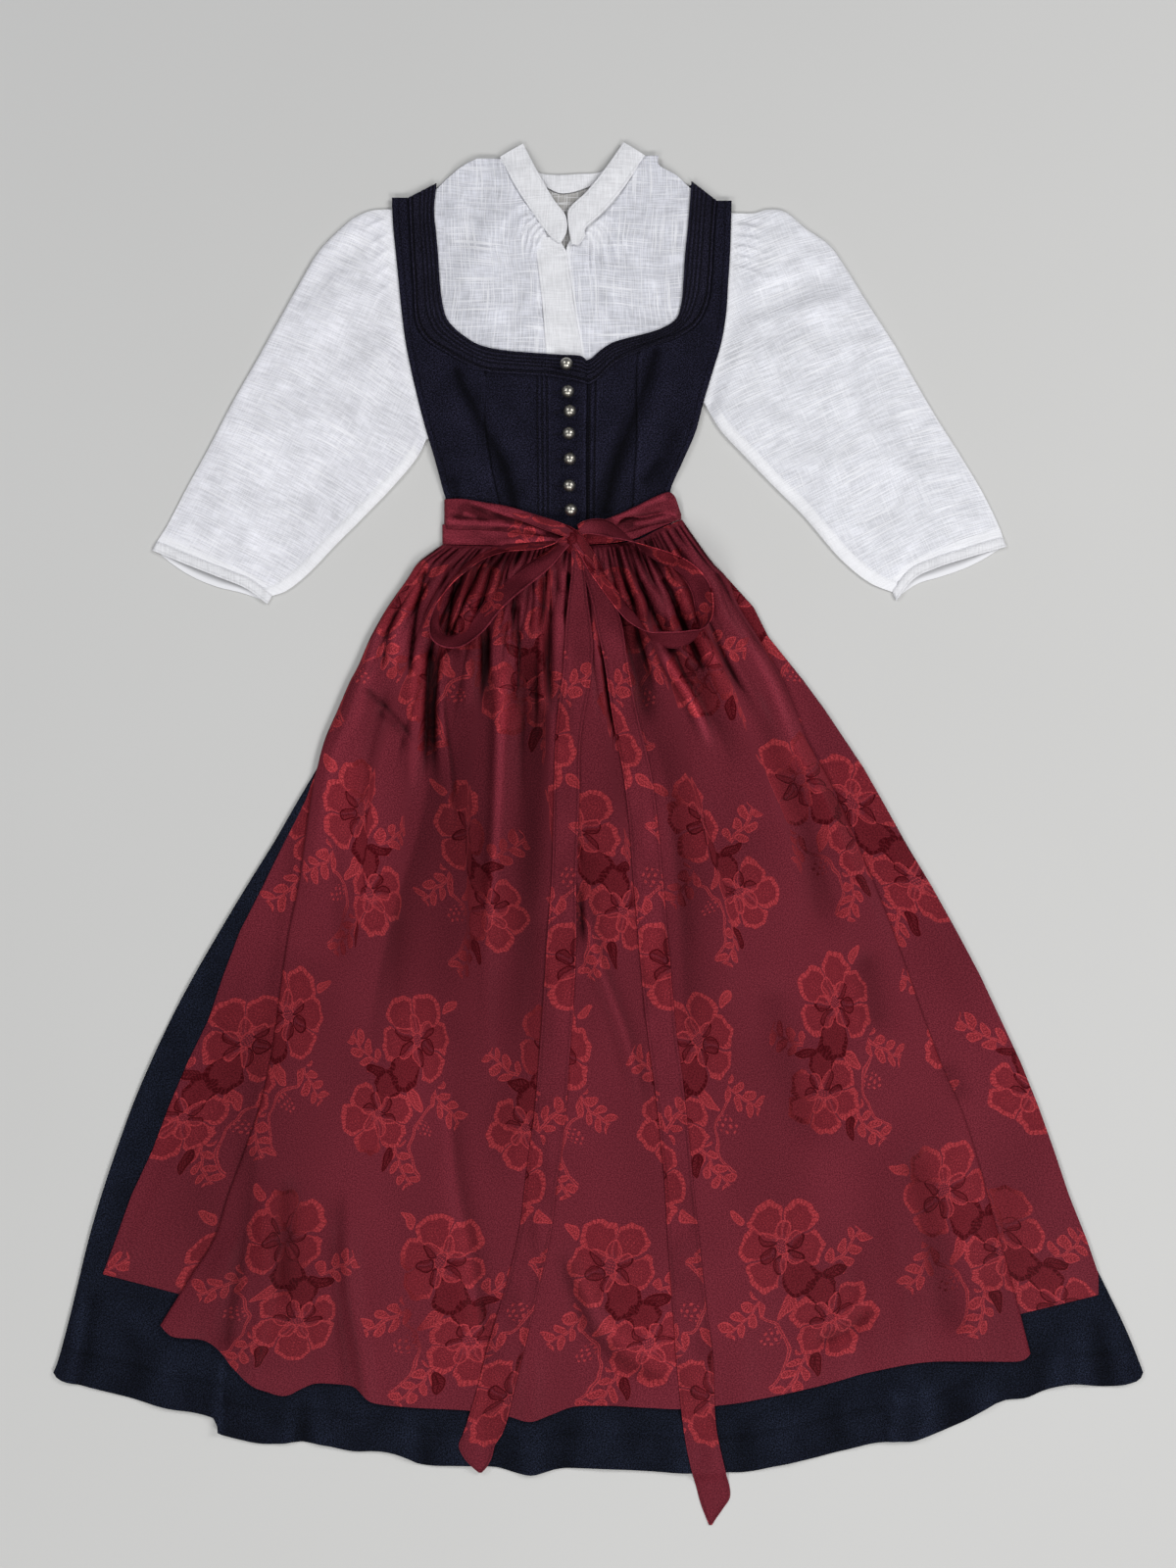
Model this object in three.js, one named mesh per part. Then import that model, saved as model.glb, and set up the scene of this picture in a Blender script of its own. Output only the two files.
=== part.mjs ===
// Dirndl laid flat: white blouse, black-navy wool dress, burgundy jacquard apron.
// Millimetres. +Z up from the surface it lies on, +Y towards the neck, +X to the
// right as seen from above. Tables are in mm from the garment's own datum, a point
// on the centre of the apron; the finished group is moved so that its origin is at
// the centre of its underside.
import * as THREE from 'three';

// ---------------------------------------------------------------- driving sizes
const WOOL = 1.2;            // dress cloth wall
const VOILE = 1.0;           // blouse cloth wall
const SATIN = 1.0;           // apron cloth wall
const GAP = 0.3;             // clearance between pieces
const FRONT_BASE = WOOL + GAP;                    // skirt front rests on skirt back
const APRON_BASE = FRONT_BASE + WOOL + GAP;       // apron rests on skirt front
const BLOUSE_BACK_Z = WOOL + GAP;                 // blouse back rests on bodice back
const BLOUSE_FRONT_Z = BLOUSE_BACK_Z + VOILE + GAP;
const BODICE_OVER_BLOUSE = BLOUSE_FRONT_Z + VOILE + GAP;
const BODICE_AT_WAIST = FRONT_BASE;
const BLOUSE_HEM_Y = 401;    // blouse ends just under the bust
const RAMP_TOP_Y = 386;      // the bodice front starts to come down here
const WAIST_FLAT_Y = 344;    // and lies on the back below here
const OVERLAP_RISE = WOOL + GAP;                  // left front over right front
const WAISTBAND_Z = BODICE_AT_WAIST + OVERLAP_RISE + WOOL + GAP;
const WRAP_Z = WAISTBAND_Z + SATIN + GAP;
const BUTTON_D = 12;         // ball buttons
const TIE_W = 34;            // apron ties, loop part
const PLY = SATIN + 0.4;     // step between plies of a folded-under edge
const FOLD_BIG = 3.0;        // tallest apron fold above the skirt
const TAIL_Z = APRON_BASE + FOLD_BIG + SATIN + GAP;

// -------------------------------------------------------------------- materials
const paint = {
  wool: { color: 0x17171f, roughness: 0.85, metalness: 0 },
  voile: { color: 0xe4e5ea, roughness: 0.8, metalness: 0 },
  satin: { color: 0x7a2a35, roughness: 0.45, metalness: 0 },
  silver: { color: 0x9a958a, roughness: 0.35, metalness: 0.9 },
};

// ---------------------------------------------------------------- small helpers
const mix = (a, b, t) => a + (b - a) * t;
const clamp01 = (t) => Math.min(1, Math.max(0, t));
const smooth = (a, b, x) => { const t = clamp01((x - a) / (b - a)); return t * t * (3 - 2 * t); };

// value of one column of a table at a place on its key column
function column(table, key, name) {
  const rows = [...table].sort((a, b) => a[key] - b[key]);
  return (k) => {
    if (k <= rows[0][key]) return rows[0][name];
    for (let i = 1; i < rows.length; i++) {
      if (k <= rows[i][key]) {
        const a = rows[i - 1], b = rows[i];
        return mix(a[name], b[name], (k - a[key]) / (b[key] - a[key]));
      }
    }
    return rows[rows.length - 1][name];
  };
}

// a line through table rows {x, y}; the result takes 0..1 along its length
function line(rows, xName = 'x', yName = 'y') {
  const p = rows.map((r) => [r[xName], r[yName]]);
  const d = [0];
  for (let i = 1; i < p.length; i++) d.push(d[i - 1] + Math.hypot(p[i][0] - p[i - 1][0], p[i][1] - p[i - 1][1]));
  const total = d[d.length - 1];
  const at = (t) => {
    const s = clamp01(t) * total;
    let i = 1;
    while (i < p.length - 1 && d[i] < s) i++;
    const k = (s - d[i - 1]) / (d[i] - d[i - 1] || 1);
    return [mix(p[i - 1][0], p[i][0], k), mix(p[i - 1][1], p[i][1], k)];
  };
  at.stations = d.map((s) => s / total);
  at.points = p;
  return at;
}

// the same line moved sideways by d, to its left as it runs
function beside(rows, d) {
  return rows.map((r, i) => {
    const a = rows[Math.max(0, i - 1)], b = rows[Math.min(rows.length - 1, i + 1)];
    const l = Math.hypot(b.x - a.x, b.y - a.y);
    return { x: r.x - ((b.y - a.y) / l) * d, y: r.y + ((b.x - a.x) / l) * d };
  });
}

// four-sided cloth patch between its edges: top and bottom run left to right,
// left and right run top to bottom
function patch(top, bottom, left, right) {
  return (u, v) => {
    const t = top(u), b = bottom(u), l = left(v), r = right(v);
    const c = [top(0), top(1), bottom(0), bottom(1)];
    return [0, 1].map((k) => (1 - v) * t[k] + v * b[k] + (1 - u) * l[k] + u * r[k]
      - ((1 - u) * (1 - v) * c[0][k] + u * (1 - v) * c[1][k] + (1 - u) * v * c[2][k] + u * v * c[3][k]));
  };
}

const evenly = (n) => Array.from({ length: n + 1 }, (_, i) => i / n);

// closed wall from two matching grids of points, upper[j][i] and lower[j][i]
function wallOf(upper, lower) {
  const nv = upper.length, nu = upper[0].length;
  const pos = [];
  for (const g of [upper, lower]) for (const row of g) for (const p of row) pos.push(p[0], p[1], p[2]);
  const U = (j, i) => j * nu + i, L = (j, i) => nu * nv + j * nu + i;
  const idx = [];
  const quad = (a, b, c, d) => idx.push(a, b, c, a, c, d);
  for (let j = 0; j + 1 < nv; j++) {
    for (let i = 0; i + 1 < nu; i++) {
      quad(U(j, i), U(j + 1, i), U(j + 1, i + 1), U(j, i + 1));
      quad(L(j, i), L(j, i + 1), L(j + 1, i + 1), L(j + 1, i));
    }
  }
  for (let i = 0; i + 1 < nu; i++) {
    quad(U(0, i), U(0, i + 1), L(0, i + 1), L(0, i));
    quad(U(nv - 1, i + 1), U(nv - 1, i), L(nv - 1, i), L(nv - 1, i + 1));
  }
  for (let j = 0; j + 1 < nv; j++) {
    quad(U(j + 1, 0), U(j, 0), L(j, 0), L(j + 1, 0));
    quad(U(j, nu - 1), U(j + 1, nu - 1), L(j + 1, nu - 1), L(j, nu - 1));
  }
  return solid(pos, idx);
}

// geometry from points and triangles, turned so that its faces point out
function solid(pos, idx) {
  let vol = 0;
  const p = (i) => [pos[3 * i], pos[3 * i + 1], pos[3 * i + 2]];
  for (let k = 0; k < idx.length; k += 3) {
    const [a, b, c] = [p(idx[k]), p(idx[k + 1]), p(idx[k + 2])];
    vol += a[0] * (b[1] * c[2] - b[2] * c[1]) - a[1] * (b[0] * c[2] - b[2] * c[0]) + a[2] * (b[0] * c[1] - b[1] * c[0]);
  }
  if (vol < 0) for (let k = 0; k < idx.length; k += 3) [idx[k + 1], idx[k + 2]] = [idx[k + 2], idx[k + 1]];
  const g = new THREE.BufferGeometry();
  g.setAttribute('position', new THREE.Float32BufferAttribute(pos, 3));
  g.setIndex(idx);
  g.computeVertexNormals();
  return g;
}

// cloth lying flat: xy(u, v) places it, under(x, y) is its underside
function flatCloth(xy, us, vs, under, t) {
  const lower = vs.map((v) => us.map((u) => { const [x, y] = xy(u, v); return [x, y, under(x, y, u, v)]; }));
  const upper = lower.map((row) => row.map(([x, y, z]) => [x, y, z + t]));
  return wallOf(upper, lower);
}

// cloth that folds back on itself: rows of [x, y, z] on its middle, thickened
// square to each row as seen along Y
function foldedCloth(rows, t) {
  const side = (s) => rows.map((row) => row.map((p, i) => {
    const a = row[Math.max(0, i - 1)], b = row[Math.min(row.length - 1, i + 1)];
    const l = Math.hypot(b[0] - a[0], b[2] - a[2]) || 1;
    return [p[0] - ((b[2] - a[2]) / l) * s, p[1], p[2] + ((b[0] - a[0]) / l) * s];
  }));
  return wallOf(side(t / 2), side(-t / 2));
}

// ribbon through stations {x, y, z, turn}: turn is the angle of its width from
// the ground, 0 flat and 90 on edge; width stands to the left of its run
function ribbon(stations, width, t, across = 1) {
  const n = stations.length, upper = [], lower = [];
  for (let j = 0; j < n; j++) {
    const s = stations[j], a = stations[Math.max(0, j - 1)], b = stations[Math.min(n - 1, j + 1)];
    const run = new THREE.Vector3(b.x - a.x, b.y - a.y, b.z - a.z).normalize();
    const left = new THREE.Vector3(-run.y, run.x, 0).normalize();
    const c = THREE.MathUtils.degToRad(s.turn);
    const w = left.multiplyScalar(Math.cos(c)).add(new THREE.Vector3(0, 0, Math.sin(c)));
    const face = new THREE.Vector3().crossVectors(run, w).normalize();
    const wide = s.width ?? width;
    const row = (k) => evenly(across).map((u) => new THREE.Vector3(s.x, s.y, s.z)
      .addScaledVector(w, (u - 0.5) * wide).addScaledVector(face, k).toArray());
    upper.push(row(t / 2));
    lower.push(row(-t / 2));
  }
  return wallOf(upper, lower);
}

// flattened tube: xy(u, k) over its width u and length k, from floor(k) to roof(k, u)
function flatTube(xy, ks, q, floor, roof, t, inset) {
  const loop = (k, shrink) => {
    const pts = [];
    const z0 = floor(k) + shrink * t, mid = (floor(k) + roof(k, 0.5)) / 2;
    const lo = shrink * inset(k), at = (u, z) => { const [x, y] = xy(mix(lo, 1 - lo, u), k, shrink); pts.push([x, y, z]); };
    at(0, mid);
    for (let i = 1; i < q; i++) at(i / q, z0);
    at(1, mid);
    for (let i = q - 1; i > 0; i--) at(i / q, roof(k, i / q) - shrink * t);
    return pts;
  };
  const outer = ks.map((k) => loop(k, 0)), inner = ks.map((k) => loop(k, 1));
  const m = outer[0].length, n = ks.length, pos = [], idx = [];
  for (const g of [outer, inner]) for (const ring of g) for (const p of ring) pos.push(...p);
  const O = (j, i) => j * m + (i % m), I = (j, i) => n * m + j * m + (i % m);
  const quad = (a, b, c, d) => idx.push(a, b, c, a, c, d);
  for (let i = 0; i < m; i++) {
    for (let j = 0; j + 1 < n; j++) {
      quad(O(j, i), O(j, i + 1), O(j + 1, i + 1), O(j + 1, i));
      quad(I(j, i), I(j + 1, i), I(j + 1, i + 1), I(j, i + 1));
    }
    quad(O(0, i), I(0, i), I(0, i + 1), O(0, i + 1));
    quad(O(n - 1, i), O(n - 1, i + 1), I(n - 1, i + 1), I(n - 1, i));
  }
  return solid(pos, idx);
}

const group = new THREE.Group();
const laid = new THREE.Group();
group.add(laid);
function piece(name, geometry, look) {
  const mesh = new THREE.Mesh(geometry, new THREE.MeshStandardMaterial(paint[look]));
  mesh.name = name;
  laid.add(mesh);
  return mesh;
}

// ------------------------------------------------------------------------ skirt
// side edges, a row for each level
const SKIRT_SIDES = [
  { y: 303, left: -150, right: 76 }, { y: 276, left: -180, right: 124 },
  { y: 201, left: -228, right: 169 }, { y: 96, left: -276, right: 247 },
  { y: 36, left: -306, right: 284 }, { y: -54, left: -360, right: 336 },
  { y: -144, left: -413, right: 385 }, { y: -234, left: -458, right: 427 },
  { y: -324, left: -493, right: 461 }, { y: -414, left: -521, right: 494 },
  { y: -504, left: -543, right: 544 }, { y: -550, left: -557, right: 556 },
];
// hem, a row for each pleat's turn
const SKIRT_HEM = [
  { x: -557, y: -550 }, { x: -552, y: -557 }, { x: -479, y: -576 }, { x: -412, y: -591 }, { x: -390, y: -606 },
  { x: -367, y: -618 }, { x: -306, y: -621 }, { x: -251, y: -630 }, { x: -181, y: -644 },
  { x: -103, y: -647 }, { x: -69, y: -655 }, { x: -41, y: -648 }, { x: 50, y: -651 },
  { x: 149, y: -652 }, { x: 213, y: -639 }, { x: 281, y: -622 }, { x: 320, y: -620 },
  { x: 375, y: -599 }, { x: 412, y: -579 }, { x: 461, y: -566 }, { x: 516, y: -564 },
  { x: 549, y: -560 }, { x: 556, y: -550 },
];
// pleats that show below the apron: from the hem up, rise above the cloth
const SKIRT_PLEATS = [
  { hem: -389, top: -381, width: 14, rise: 3.2 }, { hem: -531, top: -514, width: 12, rise: 1.6 },
  { hem: -303, top: -303, width: 12, rise: -1.2 }, { hem: -178, top: -178, width: 9, rise: -1.2 },
  { hem: 297, top: 292, width: 13, rise: 2.4 }, { hem: 120, top: 122, width: 22, rise: 1.4 },
  { hem: -20, top: -14, width: 22, rise: 1.2 }, { hem: 450, top: 448, width: 15, rise: 1.8 },
  { hem: -250, top: -252, width: 20, rise: 1.4 }, { hem: 505, top: 500, width: 13, rise: 1.4 },
];
const skirtXY = (inset) => patch(
  line([{ x: -150 + inset, y: 303 }, { x: 76 - inset, y: 303 }]),
  line(SKIRT_HEM.map((r) => ({ x: r.x * (1 - inset / 557), y: r.y + inset }))),
  line(SKIRT_SIDES.map((r) => ({ x: r.left + inset, y: r.y + (r.y < -540 ? inset : 0) }))),
  line(SKIRT_SIDES.map((r) => ({ x: r.right - inset, y: r.y + (r.y < -540 ? inset : 0) }))),
);
const hemY = column(SKIRT_HEM, 'x', 'y');
const pleatRise = (x, y) => {
  const near = smooth(120, 20, y - hemY(x));      // only in the band that shows
  let h = 0.6;
  for (const p of SKIRT_PLEATS) {
    const c = mix(p.hem, p.top, clamp01((y - hemY(x)) / 90));
    h += p.rise * Math.exp(-(((x - c) / p.width) ** 2));
  }
  return Math.max(0, h) * near;
};
piece('skirt_back', flatCloth(skirtXY(2.5), evenly(14), evenly(8), () => 0, WOOL), 'wool');

// ------------------------------------------------------------------------ apron
// front ply edges and the outer edge of the ply that shows beyond it
const APRON_SIDES = [
  { y: 295, outLeft: -152, left: -160, right: 85, outRight: 78 },
  { y: 261, outLeft: -186, left: -194, right: 138, outRight: 131 },
  { y: 231, outLeft: -207, left: -215, right: 143, outRight: 158 },
  { y: 201, outLeft: -224, left: -232, right: 162, outRight: 173 },
  { y: 156, outLeft: -245, left: -253, right: 188, outRight: 209 },
  { y: 96, outLeft: -274, left: -279, right: 212, outRight: 251 },
  { y: 36, outLeft: -299, left: -293, right: 244, outRight: 288 },
  { y: -54, outLeft: -343, left: -306, right: 282, outRight: 340 },
  { y: -144, outLeft: -383, left: -323, right: 316, outRight: 389 },
  { y: -234, outLeft: -420, left: -335, right: 349, outRight: 431 },
  { y: -324, outLeft: -456, left: -361, right: 384, outRight: 465 },
  { y: -414, outLeft: -493, left: -393, right: 409, outRight: 498 },
  { y: -449, outLeft: -506, left: -414, right: 419, outRight: 510 },
  { y: -501, outLeft: -506, left: -447, right: 432, outRight: 510 },
];
const APRON_TOP = [
  { x: -160, y: 294.5 }, { x: -119, y: 293.5 }, { x: -71, y: 293.5 }, { x: -40, y: 294.5 },
  { x: 0, y: 294.5 }, { x: 38, y: 299.5 }, { x: 59, y: 309.5 }, { x: 84.5, y: 320.5 },
];
const APRON_HEM = [
  { x: -447, y: -501 }, { x: -436, y: -511 }, { x: -401, y: -516 }, { x: -386, y: -527 },
  { x: -374, y: -543 }, { x: -352, y: -564 }, { x: -320, y: -573 }, { x: -289, y: -560 },
  { x: -249, y: -564 }, { x: -231, y: -579 }, { x: -133, y: -588 }, { x: -70, y: -599 },
  { x: -26, y: -584 }, { x: 9, y: -583 }, { x: 89, y: -586 }, { x: 147, y: -579 },
  { x: 220, y: -564 }, { x: 276, y: -549 }, { x: 329, y: -539 }, { x: 433, y: -536 }, { x: 440, y: -530 },
];
// main folds, upper end to lower end; rise is a ridge, a drop is a valley
const APRON_FOLDS = [
  { x0: -163, y0: 171, x1: -147, y1: 5, width: 11, rise: 2.4 },
  { x0: -170, y0: 187, x1: -170, y1: 51, width: 7, rise: -2.0 },
  { x0: -94, y0: 211, x1: -118, y1: -309, width: 12, rise: 2.2 },
  { x0: -66, y0: 211, x1: -66, y1: -49, width: 14, rise: -1.6 },
  { x0: -21, y0: 262, x1: -21, y1: 1, width: 16, rise: 1.8 },
  { x0: 42, y0: 206, x1: 44, y1: 106, width: 11, rise: -2.2 },
  { x0: 62, y0: 187, x1: 116, y1: 80, width: 9, rise: 2.2 },
  { x0: 124, y0: 183, x1: 175, y1: 104, width: 11, rise: -1.4 },
  { x0: -24, y0: 11, x1: 44, y1: -309, width: 10, rise: 1.6 },
  { x0: -159, y0: -266, x1: -119, y1: -525, width: 14, rise: -1.4 },
  { x0: -257, y0: -355, x1: -237, y1: -575, width: 12, rise: 1.8 },
  { x0: -343, y0: -309, x1: -374, y1: -485, width: 13, rise: -1.4 },
  { x0: -343, y0: -355, x1: -350, y1: -525, width: 13, rise: 1.6 },
  { x0: 319, y0: -309, x1: 364, y1: -519, width: 16, rise: 1.5 },
  { x0: -42, y0: -419, x1: 20, y1: -560, width: 18, rise: -1.2 },
];
const foldRise = (x, y) => {
  let h = 1.2;
  for (const f of APRON_FOLDS) {
    const dx = f.x1 - f.x0, dy = f.y1 - f.y0, l2 = dx * dx + dy * dy;
    const t = clamp01(((x - f.x0) * dx + (y - f.y0) * dy) / l2);
    const d = Math.hypot(x - f.x0 - dx * t, y - f.y0 - dy * t);
    h += f.rise * Math.exp(-((d / f.width) ** 2)) * (0.35 + 0.65 * Math.sin(Math.PI * clamp01(t * 0.9 + 0.05)));
  }
  return Math.min(FOLD_BIG, Math.max(0, h));
};
const apronFront = patch(
  line(APRON_TOP), line(APRON_HEM),
  line([{ x: -160, y: 294.5 }, ...APRON_SIDES.slice(1).map((r) => ({ x: r.left, y: r.y }))]),
  line([{ x: 84.5, y: 320.5 }, ...APRON_SIDES.slice(1, -1).map((r) => ({ x: r.right, y: r.y })), { x: 440, y: -530 }]),
);
const APRON_ROWS = 15, FRONT_COLS = 32;
// the plies that show beyond the front one end higher: share of its length at the
// outer edge and at the turn
const UNDER_LENGTH = { left: { out: 0.935, turn: 0.974 }, right: { out: 0.93, turn: 0.966 } };
// how far down the apron covers the skirt, its shorter side plies included
const coveredTo = column([
  { x: -507, y: -449 }, { x: -467, y: -478 }, { x: -447, y: -503 }, ...APRON_HEM.slice(1, -1),
  { x: 441, y: -531 }, { x: 471, y: -500 }, { x: 511, y: -474 },
], 'x', 'y');
const tuckWidth = (v) => mix(14, 46, smooth(0, 0.5, v));
const apronRows = evenly(APRON_ROWS).map((v) => {
  const z0 = APRON_BASE + SATIN / 2, row = [];
  const front = evenly(FRONT_COLS).map((u) => apronFront(u, v));
  const plies = (edge, next, name, sign) => {
    // low ply runs in from the outer edge, turns, and runs back out to the front edge
    const top = apronFront(sign < 0 ? 0 : 1, 0)[1], share = UNDER_LENGTH[name];
    const slope = ((next[1] - edge[1]) / (next[0] - edge[0])) * (1 - smooth(0, 0.1, v));
    const tuck = tuckWidth(v), pts = [];
    const yOut = mix(top, edge[1], share.out), yTurn = mix(top, edge[1], share.turn);
    const out = column(APRON_SIDES, 'y', name === 'left' ? 'outLeft' : 'outRight')(yOut);
    const turn = column(APRON_SIDES, 'y', name)(yTurn) - sign * tuck;
    const at = (x, y, z) => pts.push([x, y + slope * (x - edge[0]), z]);
    for (const k of [0, 0.45, 1]) at(mix(out, turn, k), mix(yOut, yTurn, k), z0);
    at(turn - sign * PLY / 2, yTurn, z0 + PLY / 2);
    for (const k of [0, 0.5, 1]) at(mix(turn, edge[0] - sign * 1.2, k), mix(yTurn, edge[1], k), z0 + PLY);
    at(edge[0] + sign * 0.1, edge[1], z0 + PLY * 1.5);
    return pts;
  };
  const L = front[0], R = front[FRONT_COLS];
  row.push(...plies(L, front[3], 'left', -1));
  front.forEach(([x, y], i) => {
    const u = i / FRONT_COLS;
    const inL = x - L[0], inR = R[0] - x, reach = tuckWidth(v) + 6;
    const lift = Math.max(1 - smooth(reach, reach + 40, inL), 1 - smooth(reach, reach + 40, inR));
    const h = foldRise(x, y) * (1 - lift) * smooth(0, 0.06, v);
    const edge = i === 0 ? 1.2 : i === FRONT_COLS ? -1.2 : 0;
    const head = (WAISTBAND_Z - APRON_BASE) * (1 - smooth(0, 0.07, v));
    row.push([x + edge, y, z0 + Math.max(2 * PLY * lift, head) + h]);
  });
  row.push(...plies(R, front[FRONT_COLS - 3], 'right', 1).reverse());
  return row;
});
piece('apron_panel', foldedCloth(apronRows, SATIN), 'satin');

piece('skirt_front', flatCloth(skirtXY(0), evenly(34), [0, 0.2, 0.4, 0.55, 0.68, 0.78, 0.86, 0.93, 1],
  (x, y) => FRONT_BASE + pleatRise(x, y) * smooth(coveredTo(x) - 1, coveredTo(x) - 40, y), WOOL), 'wool');

// ----------------------------------------------------------------------- bodice
// armhole and side edge, a row for each level
const BODICE_SIDES = [
  { y: 639, left: -211, right: 135.5 }, { y: 591, left: -207, right: 134 },
  { y: 531, left: -201, right: 130 }, { y: 501, left: -197, right: 125 },
  { y: 471, left: -191, right: 116 }, { y: 441, left: -184, right: 107 },
  { y: 411, left: -176, right: 99 }, { y: 381, left: -167, right: 86 },
  { y: 351, left: -159, right: 73 }, { y: 341, left: -156, right: 72 }, { y: 303.5, left: -150, right: 76 },
];
// neckline edge and the seam under its band, strap top to centre front
const NECK_LEFT = [
  { x: -165.5, y: 664 }, { x: -168, y: 636 }, { x: -164, y: 591 }, { x: -162, y: 561 },
  { x: -159, y: 539 }, { x: -155, y: 526 }, { x: -147, y: 516 }, { x: -126, y: 501 },
  { x: -111, y: 496 }, { x: -91, y: 493 }, { x: -41, y: 489 }, { x: -17, y: 487 }, { x: -12.5, y: 483 },
];
const SEAM_LEFT = [
  { x: -194, y: 649 }, { x: -191.5, y: 596 }, { x: -189, y: 559 }, { x: -186, y: 521 },
  { x: -176, y: 504 }, { x: -156, y: 491 }, { x: -134, y: 479 }, { x: -116, y: 472 },
  { x: -81, y: 469 }, { x: -51, y: 467 }, { x: -21, y: 461 }, { x: -12.5, y: 459 },
];
const NECK_RIGHT = [
  { x: 94.5, y: 666 }, { x: 91, y: 621 }, { x: 88, y: 591 }, { x: 86, y: 561 },
  { x: 84, y: 541 }, { x: 79, y: 526 }, { x: 64, y: 516 }, { x: 29, y: 506 },
  { x: 13, y: 501 }, { x: 1, y: 493 }, { x: -10.5, y: 484 },
];
const SEAM_RIGHT = [
  { x: 120, y: 646 }, { x: 117, y: 609 }, { x: 115, y: 571 }, { x: 111, y: 541 },
  { x: 99, y: 519 }, { x: 79, y: 506 }, { x: 41, y: 492 }, { x: 16, y: 480 },
  { x: -1, y: 464 }, { x: -10.5, y: 459 },
];
const PRINCESS_LEFT = [
  { x: -116, y: 472 }, { x: -116, y: 419 }, { x: -112.5, y: 396 }, { x: -108, y: 368 }, { x: -102, y: 341 }, { x: -97, y: 303.5 },
];
const PRINCESS_RIGHT = [
  { x: 36, y: 490 }, { x: 38, y: 446 }, { x: 38, y: 396 }, { x: 36, y: 366 }, { x: 33, y: 303.5 },
];
const BODICE_BACK_TOP = [
  { x: -211, y: 639 }, { x: -194, y: 649 }, { x: -167, y: 663 }, { x: -150, y: 625 },
  { x: -120, y: 606 }, { x: -80, y: 598 }, { x: -36, y: 596 }, { x: 8, y: 598 },
  { x: 48, y: 606 }, { x: 76, y: 625 }, { x: 93, y: 665 }, { x: 120, y: 646 }, { x: 135.5, y: 641 },
];
const bodiceFloor = (x, y, overlap) => {
  const base = mix(BODICE_AT_WAIST, BODICE_OVER_BLOUSE, smooth(WAIST_FLAT_Y, RAMP_TOP_Y, y));
  return base + (overlap ? OVERLAP_RISE * smooth(-53, -40, x) : 0);
};
const sideLeft = column(BODICE_SIDES, 'y', 'left'), sideRight = column(BODICE_SIDES, 'y', 'right');
const seamLine = (rows, d) => line(beside(rows, d));

const backTop = line(BODICE_BACK_TOP);
piece('bodice_back', flatCloth(
  patch(backTop, line([{ x: -150, y: 304.5 }, { x: 76, y: 304.5 }]),
    line(BODICE_SIDES.map((r) => ({ x: r.left, y: r.y < 304 ? 304.5 : r.y }))),
    line(BODICE_SIDES.map((r, i) => ({ x: r.right, y: i ? (r.y < 304 ? 304.5 : r.y) : 641 })))),
  backTop.stations, evenly(9), () => 0, WOOL), 'wool');

// side panels run between the side edge and the band seam, then the princess seam
function sidePanel(name, sideAt, seam, princess, sign) {
  const inner = line([...beside(seam, sign * 0.35), ...beside(princess, sign * 0.35).slice(1)]);
  const rows = inner.stations.map((s) => inner(s));
  const keep = rows.filter(([x, y], i) => i < 2 || y < rows[i - 1][1] - 1);
  const upper = [], lower = [];
  for (const [x, y] of keep) {
    const edge = sideAt(y), n = 3;
    const pts = evenly(n).map((u) => { const px = mix(edge, x, u); return [px, y, bodiceFloor(px, y, false)]; });
    lower.push(sign < 0 ? pts : pts.reverse());
    upper.push(lower[lower.length - 1].map(([a, b, c]) => [a, b, c + WOOL]));
  }
  return piece(name, wallOf(upper, lower), 'wool');
}
const bandEnd = (rows, n) => rows.slice(0, n);
sidePanel('bodice_side_left', sideLeft, bandEnd(SEAM_LEFT, 8), PRINCESS_LEFT, -1);
sidePanel('bodice_side_right', sideRight, bandEnd(SEAM_RIGHT, 7), PRINCESS_RIGHT, 1);

// centre panels hang from the band seam; the left one laps over the right
const FRONT_EDGE_LEFT = [{ x: -12.5, y: 458.5 }, { x: -13, y: 400 }, { x: -13, y: 303.5 }];
const UNDERLAP = [{ x: -36, y: 458.5 }, { x: -36, y: 303.5 }];
const centreTopLeft = line(SEAM_LEFT.slice(7).map((r) => ({ x: r.x + 0.35, y: r.y - 0.4 })));
piece('bodice_centre_left', flatCloth(
  patch(centreTopLeft,
    line([{ x: -96.6, y: 303.5 }, { x: -66, y: 303.5 }, { x: -13, y: 303.5 }]),
    line(PRINCESS_LEFT.map((r) => ({ x: r.x + 0.35, y: r.y - (r.y > 460 ? 0.4 : 0) }))),
    line(FRONT_EDGE_LEFT)),
  [...centreTopLeft.stations.slice(0, 2), 0.595, 0.75, ...centreTopLeft.stations.slice(3)], evenly(8),
  (x, y) => bodiceFloor(x, y, true), WOOL), 'wool');
const centreTopRight = line([{ x: -36, y: 458.4 }, { x: -10.4, y: 458.4 }, { x: -0.7, y: 463.4 }, { x: 16.3, y: 479.4 }, { x: 35.6, y: 489.2 }]);
piece('bodice_centre_right', flatCloth(
  patch(centreTopRight,
    line([{ x: -36, y: 303.5 }, { x: 32.6, y: 303.5 }]), line(UNDERLAP),
    line(PRINCESS_RIGHT.map((r) => ({ x: r.x - 0.4, y: r.y - (r.y > 460 ? 0.8 : 0) })))),
  centreTopRight.stations, evenly(8), (x, y) => bodiceFloor(x, y, false), WOOL), 'wool');

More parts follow.
